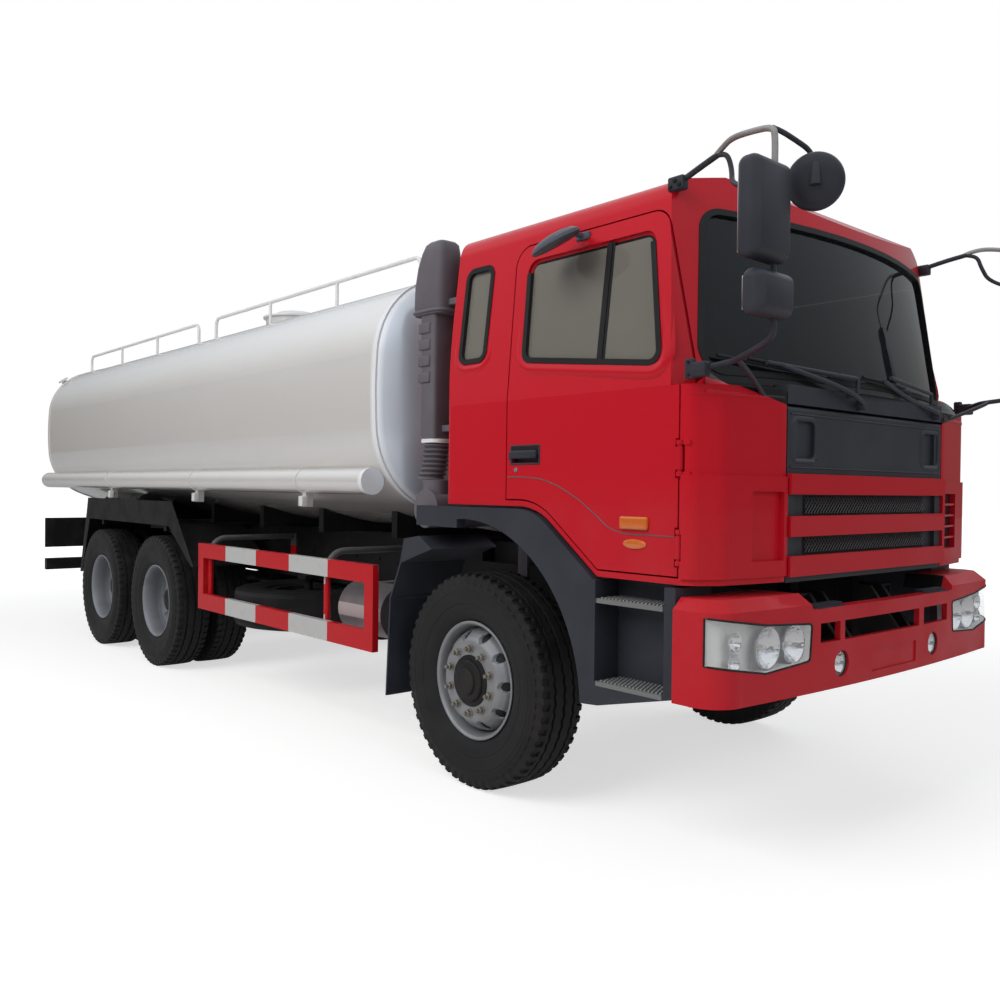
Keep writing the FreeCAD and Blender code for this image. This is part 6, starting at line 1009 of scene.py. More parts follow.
bulb_glass = Finish("bulb_frosted", (0.90, 0.88, 0.82), 0.2, Coat_Weight=0.5)
bulb_glass.set("Roughness", 0.15 + bulb_glass.noise(80.0) * 0.15)
BOWLS = ((0.752, 0.893, 0.075, 0.052, 0.018, 0.011, 0.039), (0.922, 0.893, 0.080, 0.052, 0.018, 0.011, 0.039),
         (1.105, 0.932, 0.036, 0.030, 0.030, 0.008, 0.0225), (1.108, 0.852, 0.034, 0.030, 0.030, 0.008, 0.0225),
         (0.430, 0.785, 0.049, 0.030, 0.006, 0.008, 0.024))
bowls, bulbs = [], []
for side in (-1, 1):
    for y, z, radius, depth, set_back, bulb_radius, bulb_length in BOWLS:
        front = meets("lamps", at(2.5, side * y, z), (-1, 0, 0)).x - AXLE_X
        centre = at(front - set_back - depth, side * y, z)
        bowls.append(spun(bowl(depth, radius), centre, "x", 40, closed=True))
        bulbs.append(spun(bulb(bulb_radius, bulb_length), centre, "x", 16))
piece("reflector_bowls", bowls, chrome, "chassis")
piece("lamp_bulbs", bulbs, bulb_glass, "chassis")
print(len(bowls), "bowls with bulbs")

# %% [markdown]
# Behind the red bars of the front flap hangs a black diamond mesh. Seen close it is woven wire, and
# the engine bay shows dark through it. Two families of slanted wires, one over the other, cost little:
# each wire is a straight pipe with four sides, cut to the opening's height. The left corner has an air
# slot with four red bars.

# %% Grille mesh
wire_black = Finish("grille_wire_grey", (0.055, 0.056, 0.060), 0.35, Coat_Weight=0.4)
wire_black.set("Roughness", 0.3 + wire_black.noise(60.0) * 0.2)
GRILLE_Y = 0.550


def wires(low, high, front_x, pitch=0.0240, radius=0.0020):
    """Straight wires at +45 and -45 degrees: y(z) = start +- (z - low), kept inside the opening."""
    tall = high - low
    made = []
    for lean, x in ((1, front_x), (-1, front_x - radius * 2.2)):
        for start in np.arange(-GRILLE_Y - tall, GRILLE_Y + tall, pitch):
            first, last = start, start + lean * tall
            share0 = np.clip((np.clip(first, -GRILLE_Y, GRILLE_Y) - first) / (lean * tall), 0, 1)
            share1 = np.clip((np.clip(last, -GRILLE_Y, GRILLE_Y) - first) / (lean * tall), 0, 1)
            if share1 - share0 > 0.05:
                ends = [at(x, first + lean * tall * s, low + tall * s) for s in (share0, share1)]
                made.append(pipe(ends, radius, 4, (1, 0, 0)))
    return made


net = []
for low, high in ((1.420, 1.494), (1.255, 1.324)):
    net += wires(low, high, 1.4795)
piece("grille_mesh", net, wire_black, "flap", corner=60)
slot_bars = [pipe([at(1.606 - 0.151 * y, y, z) for y in (0.748, 0.840, 0.927)], 0.0065, 8)
             for z in (1.286, 1.343, 1.399, 1.456)]
piece("air_slot_bars", slot_bars, cab_red, "cab", 50)
print(len(net), "grille wires and", len(slot_bars), "bars in the left air slot")

# %% [markdown]
# The black panel has two moulded grips with a soft frame and a pale worn lip underneath. A frame is an
# outline with round corners that is moved outwards step by step while it rises and falls, so its
# section is a smooth lip. Between the grips the panel stays plain.

# %% Flap grips
def rounded_outline(corners, rounding, grow, steps=7):
    """Outline with round corners: each corner is a parabola between its two edges, then moved out by grow."""
    corners = np.array(corners, float)
    out = []
    for i in range(len(corners)):
        before, here, after = corners[i - 1], corners[i], corners[(i + 1) % len(corners)]
        a = (before - here) / np.linalg.norm(before - here)
        b = (after - here) / np.linalg.norm(after - here)
        t = np.linspace(0, 1, steps)[:, None]
        p0, p2 = here + a * rounding, here + b * rounding
        out.append((1 - t) ** 2 * p0 + 2 * t * (1 - t) * here + t ** 2 * p2)
    ring = np.concatenate(out)
    edge = np.roll(ring, -1, 0) - np.roll(ring, 1, 0)
    normal = np.stack([edge[:, 1], -edge[:, 0]], 1)
    normal /= np.linalg.norm(normal, axis=1, keepdims=True)
    if ((ring - corners.mean(0)) * normal).sum() < 0:
        normal = -normal
    return ring + normal * grow


def grip_ring(middle_y, x):
    """Rounded frame in the plane of the panel: outline moved out by each step, raised by each rise."""
    near, far = middle_y - 0.080, middle_y + 0.080
    corners = ((near, 1.655), (far, 1.655), (far, 1.810), (near, 1.810))
    rings = []
    for grow, rise in ((0.0, -0.016), (0.0, 0.002), (0.005, 0.007), (0.012, 0.008), (0.022, 0.003), (0.028, -0.004)):
        line = rounded_outline(corners, 0.030, grow)
        rings.append(np.stack([np.full(len(line), x + rise), line[:, 0], line[:, 1]], 1))
    return sheet(rings, wrap_rows=True, wrap_cols=True)


panel_x = meets("flap_panel", at(3.0, 0.0, 1.73), (-1, 0, 0)).x
GRIP_Y = (-0.585, 0.585)
grips = [grip_ring(y, panel_x) for y in GRIP_Y]
creases = [pipe([(panel_x + 0.0015, y, z) for y in across], 0.004, 8)
           for z, across in ((1.838, (-0.69, -0.45, 0.45, 0.69)), (1.615, (-0.69, 0.0, 0.69)))]
piece("flap_grips", grips + creases, moulding, "flap")
worn_edge = grained_plastic("grip_worn_grey", (0.075, 0.080, 0.090), 0.4, 300.0, 0.1)
lips = [block((panel_x + 0.001, y - 0.075, 1.640), (panel_x + 0.009, y + 0.075, 1.650), 0.004, 1) for y in GRIP_Y]
piece("grip_lips", lips, worn_edge, "flap")
print("two grips framed on the panel at x =", round(panel_x - AXLE_X, 4))

# %% [markdown]
# The doors carry small trims that make the scale readable: a black lever in its cup, a chrome lock, an
# amber repeater with an oval reflector under it, and one thin grey line that sweeps down over the arch.
# All of them stand on the door's skin, so each place is measured by shooting a straight line at it.

# %% Door trims
amber = Finish("amber_lens", (0.66, 0.14, 0.01), 0.12, Coat_Weight=1.0, Coat_Roughness=0.02)
amber.bump(amber.zigzag(amber.place()[0], 0.004) * 80.0, 0.3, 0.001)
amber.set("Roughness", 0.10 + amber.noise(30.0) * 0.08)
lock_chrome = brushed("lock_chrome", (0.50, 0.50, 0.50), 0.25, (1.0, 1.0, 1.0))
line_grey = Finish("coach_line_grey", (0.11, 0.10, 0.11), 0.45, Coat_Weight=0.6)
line_grey.set("Roughness", 0.4 + line_grey.noise(30.0) * 0.1)
OVAL = ((1.0, -0.002), (1.0, 0.004), (0.9, 0.007), (0.5, 0.009), (0.05, 0.0095))
LOCK = ((0.0115, -0.002), (0.0115, 0.003), (0.010, 0.005), (0.004, 0.005), (0.003, 0.003))
LINE_KNOTS = ((0.30, 1.566), (0.42, 1.5665), (0.54, 1.557), (0.66, 1.520), (0.78, 1.462), (0.88, 1.398),
              (0.945, 1.352), (1.02, 1.331), (1.12, 1.328), (1.30, 1.329))


def skin_y(node, x, z, side):
    """The y of a skin at a height, met by a level line from outside."""
    return meets(node, at(x, side * 2.0, z), (0, -side, 0)).y


def oval(x, y, z, side, half_long=0.062, half_tall=0.021):
    """Ellipses that shrink by a share as they rise: x + share a cos t, y + rise, z + share b sin t."""
    share, rise = np.array(OVAL).T[:, :, None]
    t = np.linspace(0, 2 * np.pi, 40, endpoint=False)
    ring = at(x + share * half_long * np.cos(t), y + side * rise + 0 * t, z + share * half_tall * np.sin(t))
    return sheet(np.stack(ring, -1), wrap_cols=True, caps=True)


def coach_line(side, count=90, window=9):
    """The line's path: straight runs between the knots, with the height averaged over nine points."""
    knot_x, knot_z = np.array(LINE_KNOTS).T
    s, k = np.linspace(0, 1, count), np.linspace(0, 1, len(knot_x))
    z = np.convolve(np.pad(np.interp(s, k, knot_z), window // 2, mode="edge"), np.ones(window) / window, mode="valid")
    return np.stack([np.interp(s, k, knot_x) + AXLE_X, np.full_like(s, side * (HALF_WIDTH + 0.0005)), z], 1)


for word, side in SIDES:
    body = "door_" + word
    skin = skin_y(body, 1.09, 1.40, side)
    low, high = sorted((skin + side * 0.018, skin - side * 0.006))
    piece("repeater_lens_" + word, [block(at(1.018, low, 1.348), at(1.168, high, 1.404), 0.0115, 1, 6)], amber, body)
    piece("oval_reflector_" + word, [oval(1.095, skin, 1.290, side)], amber, body)
    lock_at = at(0.358, skin_y(body, 0.358, 1.600, side), 1.600)
    piece("door_lock_" + word, [spun(turned(LOCK, side), lock_at, "y", 24)], lock_chrome, body)
    piece("coach_line_" + word, [pipe(coach_line(side), 0.0028, 6, (0, 1, 0))], line_grey, body)
print("door trims on both sides")

# %% [markdown]
# Each side window sits in a pressed bevel: the sheet steel rises in a soft ridge round the glass. On
# the real cab one press tool makes door and ridge together. Here the ridge is a ring with a low curved
# profile laid on the door's leaning upper half, so it needs the lean at every height.

# %% Window bevels
def side_y(z):
    """Half width of the cab at a height: straight to the shoulder, then leaning in evenly."""
    return HALF_WIDTH - LEAN * np.maximum(0.0, z - SHOULDER)


WINDOWS = {"door": ((0.365, 2.105), (0.345, 2.595), (1.115, 2.595), (1.220, 2.010)),
           "cab": ((-0.122, 2.135), (-0.122, 2.630), (0.098, 2.630), (0.098, 2.135))}
RIDGE = ((-0.011, -0.004), (-0.011, 0.0030), (-0.006, 0.0060), (0.012, 0.0100), (0.020, 0.0135), (0.027, 0.0140),
         (0.036, 0.0115), (0.058, 0.0015), (0.062, -0.004))
for kind, corners in WINDOWS.items():
    for word, side in SIDES:
        rings = []
        for grow, rise in RIDGE:
            line = rounded_outline(corners, 0.075, grow)
            rings.append(np.stack([line[:, 0] + AXLE_X, side * (side_y(line[:, 1]) + rise), line[:, 1]], 1))
        body = "door_" + word if kind == "door" else "cab"
        piece("window_bevel_" + kind + "_" + word, [sheet(rings, wrap_rows=True, wrap_cols=True)], cab_red, body, 40)
measured = -skin_y("door_right", 0.75, 2.64, -1)
print("bevels on four windows; skin at z 2.64 is", round(measured, 4), "formula", round(float(side_y(2.64)), 4))

# %% [markdown]
# A door window slides behind a black upright bar. The bar is a slim rounded strip that leans with the
# glass, so two lines shot at the pane give its foot and its head.

# %% Window dividers
FOOT_Z, HEAD_Z = 2.15, 2.50
for word, side in SIDES:
    foot, top = (skin_y("door_glass_" + word, 0.800, z, side) for z in (FOOT_Z, HEAD_Z))
    lean = (top - foot) / (HEAD_Z - FOOT_Z)
    ends = [(foot + lean * (z - FOOT_Z), z) for z in (2.062, 2.585)]
    strips = []
    for x0, x1, rise in ((0.842, 0.872, 0.007), (0.872, 0.884, 0.003)):
        rings = []
        for pane, z in ends:
            outer, inner = pane + side * rise, pane - side * 0.001
            rings.append([at(x0, inner, z), at(x0, outer, z), at(x0 + 0.004, outer + side * 0.002, z),
                          at(x1 - 0.004, outer + side * 0.002, z), at(x1, outer, z), at(x1, inner, z)])
        strips.append(sheet(rings, wrap_cols=True, caps=True))
    piece("window_divider_" + word, strips, rubber, "door_" + word, 50)
print("dividers on both doors")

# %% [markdown]
# Under the windscreen's corner the cab swells out to the broad front corner. On the pressed cab this is
# one soft slope from pillar to corner. It is made as a fan: for each direction from a point inside, one
# line finds the lower skin and one the upper, and a quarter ellipse, slackened a little towards a
# straight line, joins them.

# %% Corner slopes
SLOPE_LOW, SLOPE_HIGH = 1.895, 2.060


def slope_fan(side):
    """For each direction of the fan: the way, the radius of the lower and upper skin, and the upper height."""
    hub = np.array(at(1.05, side * 0.90, 0.0))
    found = []
    for turn in np.linspace(47.5, 110.0, 34):
        way = np.array([math.sin(math.radians(turn)), side * math.cos(math.radians(turn)), 0.0])
        top = SLOPE_HIGH - 0.104 * min(1.0, (turn - 47.5) / 26.0)
        places = (meets("cab_shell", hub + way * 1.2 + np.array([0, 0, z]), -way) for z in (SLOPE_LOW, top))
        found.append((*way, *(float(np.dot(np.array(place) - hub, way)) for place in places), top))
    return hub, np.array(found)


def corner_slope(side):
    """Fan: r = r_up + (r_low - r_up) * c and z = z_low + (z_up - z_low) * s, where c and s are cos t and sin t
    mixed 3 to 1 with a straight line, for t from 0 to 90 degrees. The grid closes behind the skin."""
    hub, fan = slope_fan(side)
    ways, low, up, top = fan[:, :3], fan[:, 3], fan[:, 4], fan[:, 5]
    t = np.linspace(0, np.pi / 2, 12)[:, None]
    straight = 2 * t / np.pi
    inward = 0.75 * np.cos(t) + 0.25 * (1 - straight)
    upward = 0.75 * np.sin(t) + 0.25 * straight
    closing = ((up - 0.006, top), (up - 0.006, 0 * top + SLOPE_LOW), (low - 0.006, 0 * top + SLOPE_LOW - 0.010),
               (low + 0.002, 0 * top + SLOPE_LOW - 0.009))
    radius = np.concatenate([up + 0.003 + (low - up) * inward, [r for r, z in closing]])
    height = np.concatenate([SLOPE_LOW + (top - SLOPE_LOW) * upward, [z for r, z in closing]])
    grid = hub + ways * radius[..., None] + height[..., None] * np.array([0.0, 0.0, 1.0])
    rims = [grid[:, k] for k in (0, -1)]
    ends = [sheet(np.stack([rim, rim * 0.5 + rim.mean(0) * 0.5]), wrap_cols=True) for rim in rims]
    return [sheet(grid, wrap_rows=True)] + ends


for word, side in SIDES:
    piece("corner_slope_" + word, corner_slope(side), shell_red, "cab", 40)
print("corner slopes on both sides")

# %% [markdown]
# The handle sits in a cup and is pulled from below. Its blade is a rounded block with a hooked end, and
# the cup is a thin black plate with a raised rim. The rim is four slim bars with round edges, which
# reads better than a hole cut with a sharp edge.

# %% Door handles
# Each bar is its span outwards, upwards and along, its rounding and the axis that it runs on.
RIM_BARS = (((1.190, 1.204), (1.708, 1.717), (0.318, 0.522), 0.004, 0),
            ((1.190, 1.204), (1.623, 1.632), (0.318, 0.522), 0.004, 0),
            ((1.190, 1.204), (1.626, 1.714), (0.318, 0.328), 0.004, 2),
            ((1.190, 1.204), (1.626, 1.714), (0.512, 0.522), 0.004, 2))
BLADE_BARS = (((1.186, 1.212), (1.652, 1.692), (0.326, 0.500), 0.010, 0),
              ((1.176, 1.208), (1.648, 1.690), (0.308, 0.336), 0.008, 0))


def bars(side, rows):
    """Rounded blocks from their spans, on one side of the truck."""
    made = []
    for outwards, (z0, z1), (x0, x1), rounding, axis in rows:
        y0, y1 = sorted(side * y for y in outwards)
        made.append(block(at(x0, y0, z0), at(x1, y1, z1), rounding, axis))
    return made


for word, side in SIDES:
    skin = abs(skin_y("door_" + word, 0.42, 1.67, side))
    cup = ((skin - 0.002, skin + 0.0015), (1.628, 1.712), (0.324, 0.516), 0.0012, 0)
    piece("handle_rim_" + word, bars(side, RIM_BARS + (cup,)), moulding, "door_" + word)
    piece("handle_blade_" + word, bars(side, BLADE_BARS), mirror_shell, "door_" + word)
print("handles on both doors")

# %% [markdown]
# A step tread is punched sheet: rows of raised teeth keep a wet boot from slipping. Each tooth is a
# tiny pyramid, and as there are hundreds of them, each has only a few faces. They stand on the solid
# treads, whose height is measured by a line shot down.

# %% Step treads
def teeth(x0, x1, y0, y1, z, pitch=0.020, tall=0.006):
    """Teeth in staggered rows: square pyramids with cut tops, four points per ring."""
    square = np.array([(0.5, 0.5, 0.0), (-0.5, 0.5, 0.0), (-0.5, -0.5, 0.0), (0.5, -0.5, 0.0)])
    tooth = np.stack([square * 0.014 - (0.0, 0.0, 0.001), square * 0.006 + (0.0, 0.0, tall)])
    made = []
    for row, y in enumerate(np.arange(y0 + pitch / 2, y1, pitch)):
        for x in np.arange(x0 + pitch * (0.5 + 0.5 * (row % 2)), x1 - pitch / 4, pitch):
            made.append(sheet(np.array(at(x, y, z)) + tooth, wrap_cols=True, caps=True))
    return made


tread_teeth = []
for side in (-1, 1):
    y0, y1 = sorted((side * 1.075, side * 1.215))
    for z in (1.050, 0.697):
        top = meets("cab_steps", at(1.08, side * 1.15, z + 0.2), (0, 0, -1)).z
        tread_teeth += teeth(0.915, 1.252, y0, y1, top)
piece("tread_teeth", tread_teeth, step_metal, "chassis", corner=20)
print(len(tread_teeth), "teeth on four treads")

# %% [markdown]
# Bumper pads have ribs for the same reason. The pads' own solids are smooth, so a row of low ribs is
# laid over them, measured from the top of the bumper.

# %% Pad ribs
pad_ribs = []
for y in (-0.5, 0.5):
    for k in np.linspace(-0.105, 0.105, 15):
        place = meets("front_bumper", at(1.560, y + k, 1.5), (0, 0, -1))
        pad_ribs.append(block((place.x - 0.030, y + k - 0.0035, place.z - 0.002),
                              (place.x + 0.030, y + k + 0.0035, place.z + 0.004), 0.0018, 0, 3))
piece("pad_ribs", pad_ribs, moulding, "chassis")
print(len(pad_ribs), "ribs on the bumper pads")

# %% [markdown]
# The wiper arms are in the solids, and the blades are added: a rubber squeegee under a black spine.
# A blade is a rounded bar along a path that follows the bowed glass, and a thick moulded cover bends
# up from each pivot to the middle of its blade. The cover's path has a few corners, which are eased by
# cutting them off again and again.

# %% Wiper blades
def eased(points, times=3):
    """Corner cutting: each pass swaps a corner for the points at 1/4 and 3/4 of its two edges."""
    path = np.array(points, float)
    for _ in range(times):
        first, last = path[:-1], path[1:]
        cut = np.stack([0.75 * first + 0.25 * last, 0.25 * first + 0.75 * last], 1).reshape(-1, 3)
        path = np.concatenate([path[:1], cut, path[-1:]])
    return path


def over_glass(y, z):
    """A place 2 cm in front of the bowed screen: x = 1.517 - 0.245 (y / 1.2)^2 - 0.158 (z - 2.03)."""
    return at(1.517 - 0.245 * (y / 1.2) ** 2 - LEAN * (z - 2.03), y, z)


blades, arms = [], []
WIPERS = ((0.62, (0.34, 2.000), (-0.32, 2.030)), (-0.14, (-0.42, 2.004), (-1.00, 2.062)))
for pivot, (y0, z0), (y1, z1) in WIPERS:
    line = np.stack(over_glass(np.linspace(y0, y1, 14), np.linspace(z0, z1, 14)), -1)
    spine = line[2:-3] + np.array([0.012, 0.0, 0.009])
    blades += [pipe(line, 0.008, 8), pipe(spine, 0.006, 8)]
    held = over_glass((y0 + y1) / 2, (z0 + z1) / 2 + 0.008)
    reach = [at(1.500, pivot, 1.908), at(1.532, pivot - 0.02, 1.915),
             at(1.540 - 0.17 * pivot ** 2, pivot - 0.20, 1.965), (held[0] + 0.022, held[1], held[2])]
    arms.append(pipe(eased(reach), 0.0115, 10, (1, 0, 0.3)))
    cap = [(0.024, 0.0), (0.024, 0.030), (0.018, 0.040), (0.001, 0.042)]
    arms.append(spun(cap, at(1.488, pivot, 1.908), "x", 24))
piece("wiper_blades", blades, rubber, "cab")
piece("wiper_arm_covers", arms, moulding, "cab")
print("two wiper blades with their arm covers")

# %% [markdown]
# The mirrors hang on bent tubes: one from a plate on the roof, one from a bracket on the pillar with a
# strut to the cowl. A bent tube is an eased path as well, so only its corners are written down, and
# each row gives its radius too.

# %% Mirror arms
TURN = (0.36, 0.93, 0.0)
CORNERS = {
    "upper": (0.0125, (1.225, -1.085, 2.775), (1.335, -1.105, 2.800), (1.430, -1.126, 2.817)),
    "knee": (0.010, (1.425, -1.124, 2.815), (1.480, -1.142, 2.800), (1.500, -1.140, 2.740), (1.530, -1.180, 2.660),
             (1.700, -1.280, 2.600)),
    "lower": (0.012, (1.790, -1.295, 2.120), (1.790, -1.290, 2.070), (1.760, -1.270, 2.040), (1.540, -1.150, 2.008),
              (1.500, -1.145, 2.003), (1.420, -1.185, 1.985)),
    "crook": (0.0115, (1.405, -1.120, 2.812), (1.450, -1.135, 2.832), (1.520, -1.172, 2.843), (1.660, -1.240, 2.812),
              (1.785, -1.303, 2.775), (1.790, -1.300, 2.735), (1.790, -1.300, 2.640)),
    "round": (0.0095, (1.770, -1.290, 2.780), (1.795, -1.262, 2.765), (1.800, -1.175, 2.752), (1.812, -1.119, 2.734),
              (1.830, -1.112, 2.690))}
STRUT = ((1.545, -1.150, 2.006), (1.540, -1.090, 1.985), (1.470, -0.860, 1.905), (1.445, -0.800, 1.880))
POST = ((1.790, -1.300, 2.320), (1.790, -1.300, 2.110))


def bent(name):
    """A tube along a named row of corners, which are cut three times."""
    radius, *corners = CORNERS[name]
    return pipe(eased([at(*corner) for corner in corners]), radius, 12, TURN)


black_tubes = [bent("upper"), bent("knee"), bent("lower"),
               pipe(eased([at(*corner) for corner in STRUT], 2), 0.010, 12, (0.9, 0.1, 0.4)),
               pipe([at(*corner) for corner in POST], 0.011, 12, TURN)]
brackets = [block(at(1.165, -1.112, 2.735), at(1.245, -1.070, 2.792), 0.008, 1),
            block(at(1.345, -1.214, 1.945), at(1.385, -1.190, 2.025), 0.006, 1),
            block(at(1.375, -1.216, 1.950), at(1.445, -1.178, 2.010), 0.008, 0)]
print(len(CORNERS) + 2, "tubes and", len(brackets), "brackets on the right")

# %% [markdown]
# The heads are moulded shells that bulge forwards, so a rounded block gets a swell of (1 - y^2)(1 - z^4)
# on its front. On the right a round head hangs by a bowed arm, and a flat paddle looks down at the kerb
# from the door. The paddle is a spun dish, stretched, bent up along its length and tilted.

# %% Mirror heads
def flipped(sheets):
    """The same grids on the other side of the truck: y becomes -y."""
    return [(grid * np.array([1.0, -1.0, 1.0]), rows, cols, caps) for grid, rows, cols, caps in sheets]


def bulged(solid, middle, half, amount):
    """Moves the front half of a block forwards by amount * (1 - y^2)(1 - z^4)."""
    grid, rows, cols, caps = solid
    y = np.clip((grid[..., 1] - middle[1]) / half[1], -1, 1)
    z = np.clip((grid[..., 2] - middle[2]) / half[2], -1, 1)
    front = np.clip((grid[..., 0] - middle[0]) / half[0], 0, 1)
    grid = grid.copy()
    grid[..., 0] += amount * front * (1 - y ** 2) * (1 - z ** 4)
    return grid, rows, cols, caps


def head(x, y, z, deep, wide, tall, rounding=0.034):
    """A mirror head about its middle, bulged forwards."""
    middle, half = np.array(at(x, y, z)), np.array([deep, wide, tall]) / 2
    return bulged(block(middle - half, middle + half, rounding, 2, 7), middle, half, 0.030)


MIRROR_HEADS = ((1.790, -1.362, 2.4725, 0.085, 0.225, 0.345), (1.790, -1.335, 2.190, 0.080, 0.222, 0.160))
DISH = ((0.001, 0.026), (0.030, 0.0255), (0.060, 0.021), (0.085, 0.012), (0.097, 0.002), (0.101, -0.010),
        (0.098, -0.022), (0.001, -0.024))
dish_at = np.array(at(1.845, -1.130, 2.610))
aim = np.array([0.50, -0.82, -0.28]) / np.linalg.norm([0.50, -0.82, -0.28])
level = np.cross(aim, [0.0, 0.0, 1.0])
level /= np.linalg.norm(level)
dish_axes = (level, np.cross(aim, level), aim)
boss = [dish_at + aim * out + np.array(shift)
        for out, shift in ((0.018, (-0.004, 0.006, 0.086)), (0.026, (0, 0, 0.045)), (0.030, (0, 0, -0.012)))]
dish = [spun(DISH, dish_at, dish_axes, 56), bent("round"), pipe(eased(boss, 2), 0.019, 14, (0.0, 1.0, 0.0))]
right_side = [head(*row) for row in MIRROR_HEADS] + black_tubes + brackets
mirror_object = piece("mirror_heads_and_arms", right_side + flipped(right_side) + dish, mirror_shell, "cab", 38)
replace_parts(mirror_object, "mirrors")
tube_grey = brushed("mirror_tube_grey", (0.38, 0.36, 0.35), 0.4, (1.0, 1.0, 1.0), 0.6, (0.16, 0.13, 0.12), 0.5)
top_tubes = [bent("crook")]
piece("mirror_top_tubes", top_tubes + flipped(top_tubes), tube_grey, "cab")
fixings = [spun([(0.009, 0.0), (0.009, -0.006), (0.006, -0.009)], at(x, -1.111, z), "y", 12)
           for x, z in ((1.182, 2.750), (1.205, 2.772), (1.228, 2.752))]
fixings += [spun([(0.006, 0.0), (0.006, -0.005), (0.004, -0.007)], at(1.365, -1.213, z), "y", 10)
            for z in (1.960, 2.010)]
piece("mirror_fixings", fixings + flipped(fixings), rubber, "cab")
print(len(MIRROR_HEADS) * 2, "mirror heads and a round one")

# %% [markdown]
# The solids carry a plain block for the kerb mirror, in one piece with the door's seal and pull. Those
# faces are copied without the block, and the paddle takes its place on the door.

# %% Kerb mirror
def without_kerb_block(centre, _normal):
    """Seal and pull of the right door, without the plain mirror block that stands outside the skin."""
    return centre.z < 2.5 or (centre.z < 2.607 and abs(centre.y) < 1.2015 - LEAN * (centre.z - SHOULDER))


seal_and_pull = node_faces("door_fittings_right", without_kerb_block)
plain_fittings = finished("door_seal_and_pull_right", seal_and_pull, rubber, "door_right")
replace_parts(plain_fittings, "door_fittings_right")
PADDLE = ((0.0005, 0.034), (0.045, 0.032), (0.080, 0.024), (0.103, 0.008), (0.108, -0.006), (0.100, -0.014),
          (0.0005, -0.015))
tilt = math.radians(24)
tilted = np.array([(1.0, 0.0, 0.0), (0.0, -math.cos(tilt), -math.sin(tilt)), (0.0, -math.sin(tilt), math.cos(tilt))])
paddle = spun(PADDLE, (0, 0, 0), "z", 56)[0] * np.array([1.25, 0.9, 1.0])
paddle = paddle + paddle[..., :1] * np.array([0.0, 0.0, 0.22])
paddle = np.array(at(0.668, -1.262, 2.600)) + paddle @ tilted
kerb = [sheet(paddle, wrap_cols=True, caps=True), block(at(0.655, -1.128, 2.628), at(0.740, -1.088, 2.662), 0.007, 0),
        pipe([at(0.697, -1.110, 2.645), at(0.695, -1.170, 2.648), at(0.690, -1.230, 2.640)], 0.013, 12, (1, 0, 0))]
kerb_grey = grained_plastic("kerb_mirror_grey", (0.075, 0.082, 0.105), 0.35, 500.0, 0.15)
piece("kerb_mirror_paddle", kerb, kerb_grey, "door_right", 38)
print("kerb mirror on the right door")

# %% [markdown]
# Each head gets its glass on the rear side: a thin silvered plate, smaller than the head, so that the
# moulded shell frames it. A mirror is plain metal that is almost perfectly smooth.

# %% Mirror glasses
silvered = Finish("mirror_silvered", (0.80, 0.82, 0.83), 0.02, Metallic=1.0)
silvered.set("Roughness", 0.01 + silvered.noise(3.0) * 0.03)
plates = []
for x, y, z, deep, wide, tall in MIRROR_HEADS:
    rear = x - deep / 2
    plates.append(block(at(rear - 0.002, y - wide / 2 + 0.022, z - tall / 2 + 0.022),
                        at(rear + 0.003, y + wide / 2 - 0.022, z + tall / 2 - 0.022), 0.0022, 2))
back = spun([(0.001, 0.0), (0.088, 0.0), (0.089, 0.002), (0.001, 0.004)], dish_at - aim * 0.0265, dish_axes, 48)
piece("mirror_glasses", plates + flipped(plates) + [back], silvered, "cab")
print(len(plates) * 2 + 1, "mirror glasses")

# %% [markdown]
# Behind the cab stands the air intake: a hooded head, a duct with four raised blocks, a pale clamp band
# and a bellows that lets the cab tilt. The head is a stack of rounded outlines that shrink towards
# the top, and the bellows is a radius that rises and falls as a cosine along the axis.

# %% Snorkel
SNORKEL_X, SNORKEL_Y = AXLE_X - 0.420, -1.080
HOOD = ((2.436, -0.010, 0.085, 0.060), (2.440, -0.010, 0.118, 0.084), (2.455, -0.010, 0.123, 0.088),
        (2.600, -0.006, 0.121, 0.087), (2.700, 0.006, 0.110, 0.084), (2.770, 0.020, 0.094, 0.078),
        (2.812, 0.030, 0.078, 0.070), (2.828, 0.034, 0.060, 0.055), (2.832, 0.036, 0.030, 0.030))
DUCT = ((1.776, 0.0, 0.060, 0.066), (1.800, 0.0, 0.064, 0.072), (2.400, 0.0, 0.066, 0.075),
        (2.445, 0.0, 0.066, 0.075))
LIP = ((2.448, 0.0), (2.452, 0.006), (2.462, 0.006), (2.468, 0.0))
BAND = ((1.752, 0.0), (1.754, 0.004), (1.772, 0.004), (1.774, 0.0))
FOLDS = 8


def stack(rows, power, count=40):
    """Stacked outlines: at each z, x = middle + shift + hx * sign(cos) |cos|^power and y = middle + hy * sign(sin)
    |sin|^power, where a power below one pushes the ellipse out towards a rectangle."""
    z, shift, hx, hy = (np.array(k, float)[:, None] for k in zip(*rows))
    u = np.linspace(0, 2 * np.pi, count, endpoint=False)[None]
    x = SNORKEL_X + shift + hx * np.sign(np.cos(u)) * np.abs(np.cos(u)) ** power
    y = SNORKEL_Y + hy * np.sign(np.sin(u)) * np.abs(np.sin(u)) ** power
    return sheet(np.stack([x, y, z + 0 * u], -1), wrap_cols=True, caps=True)


def bellows(top=1.765, fall=0.205, radius=0.069, swing=0.008):
    """Bellows: radius + swing * cos(2 pi folds k) while the height falls and the middle shifts back as k^2."""
    k = np.linspace(0, 1, FOLDS * 8 + 1)
    fold = radius + swing * np.cos(2 * np.pi * FOLDS * k)
    return stack(np.stack([top - fall * k, -0.050 * k * k, fold, fold], 1), 1.0)


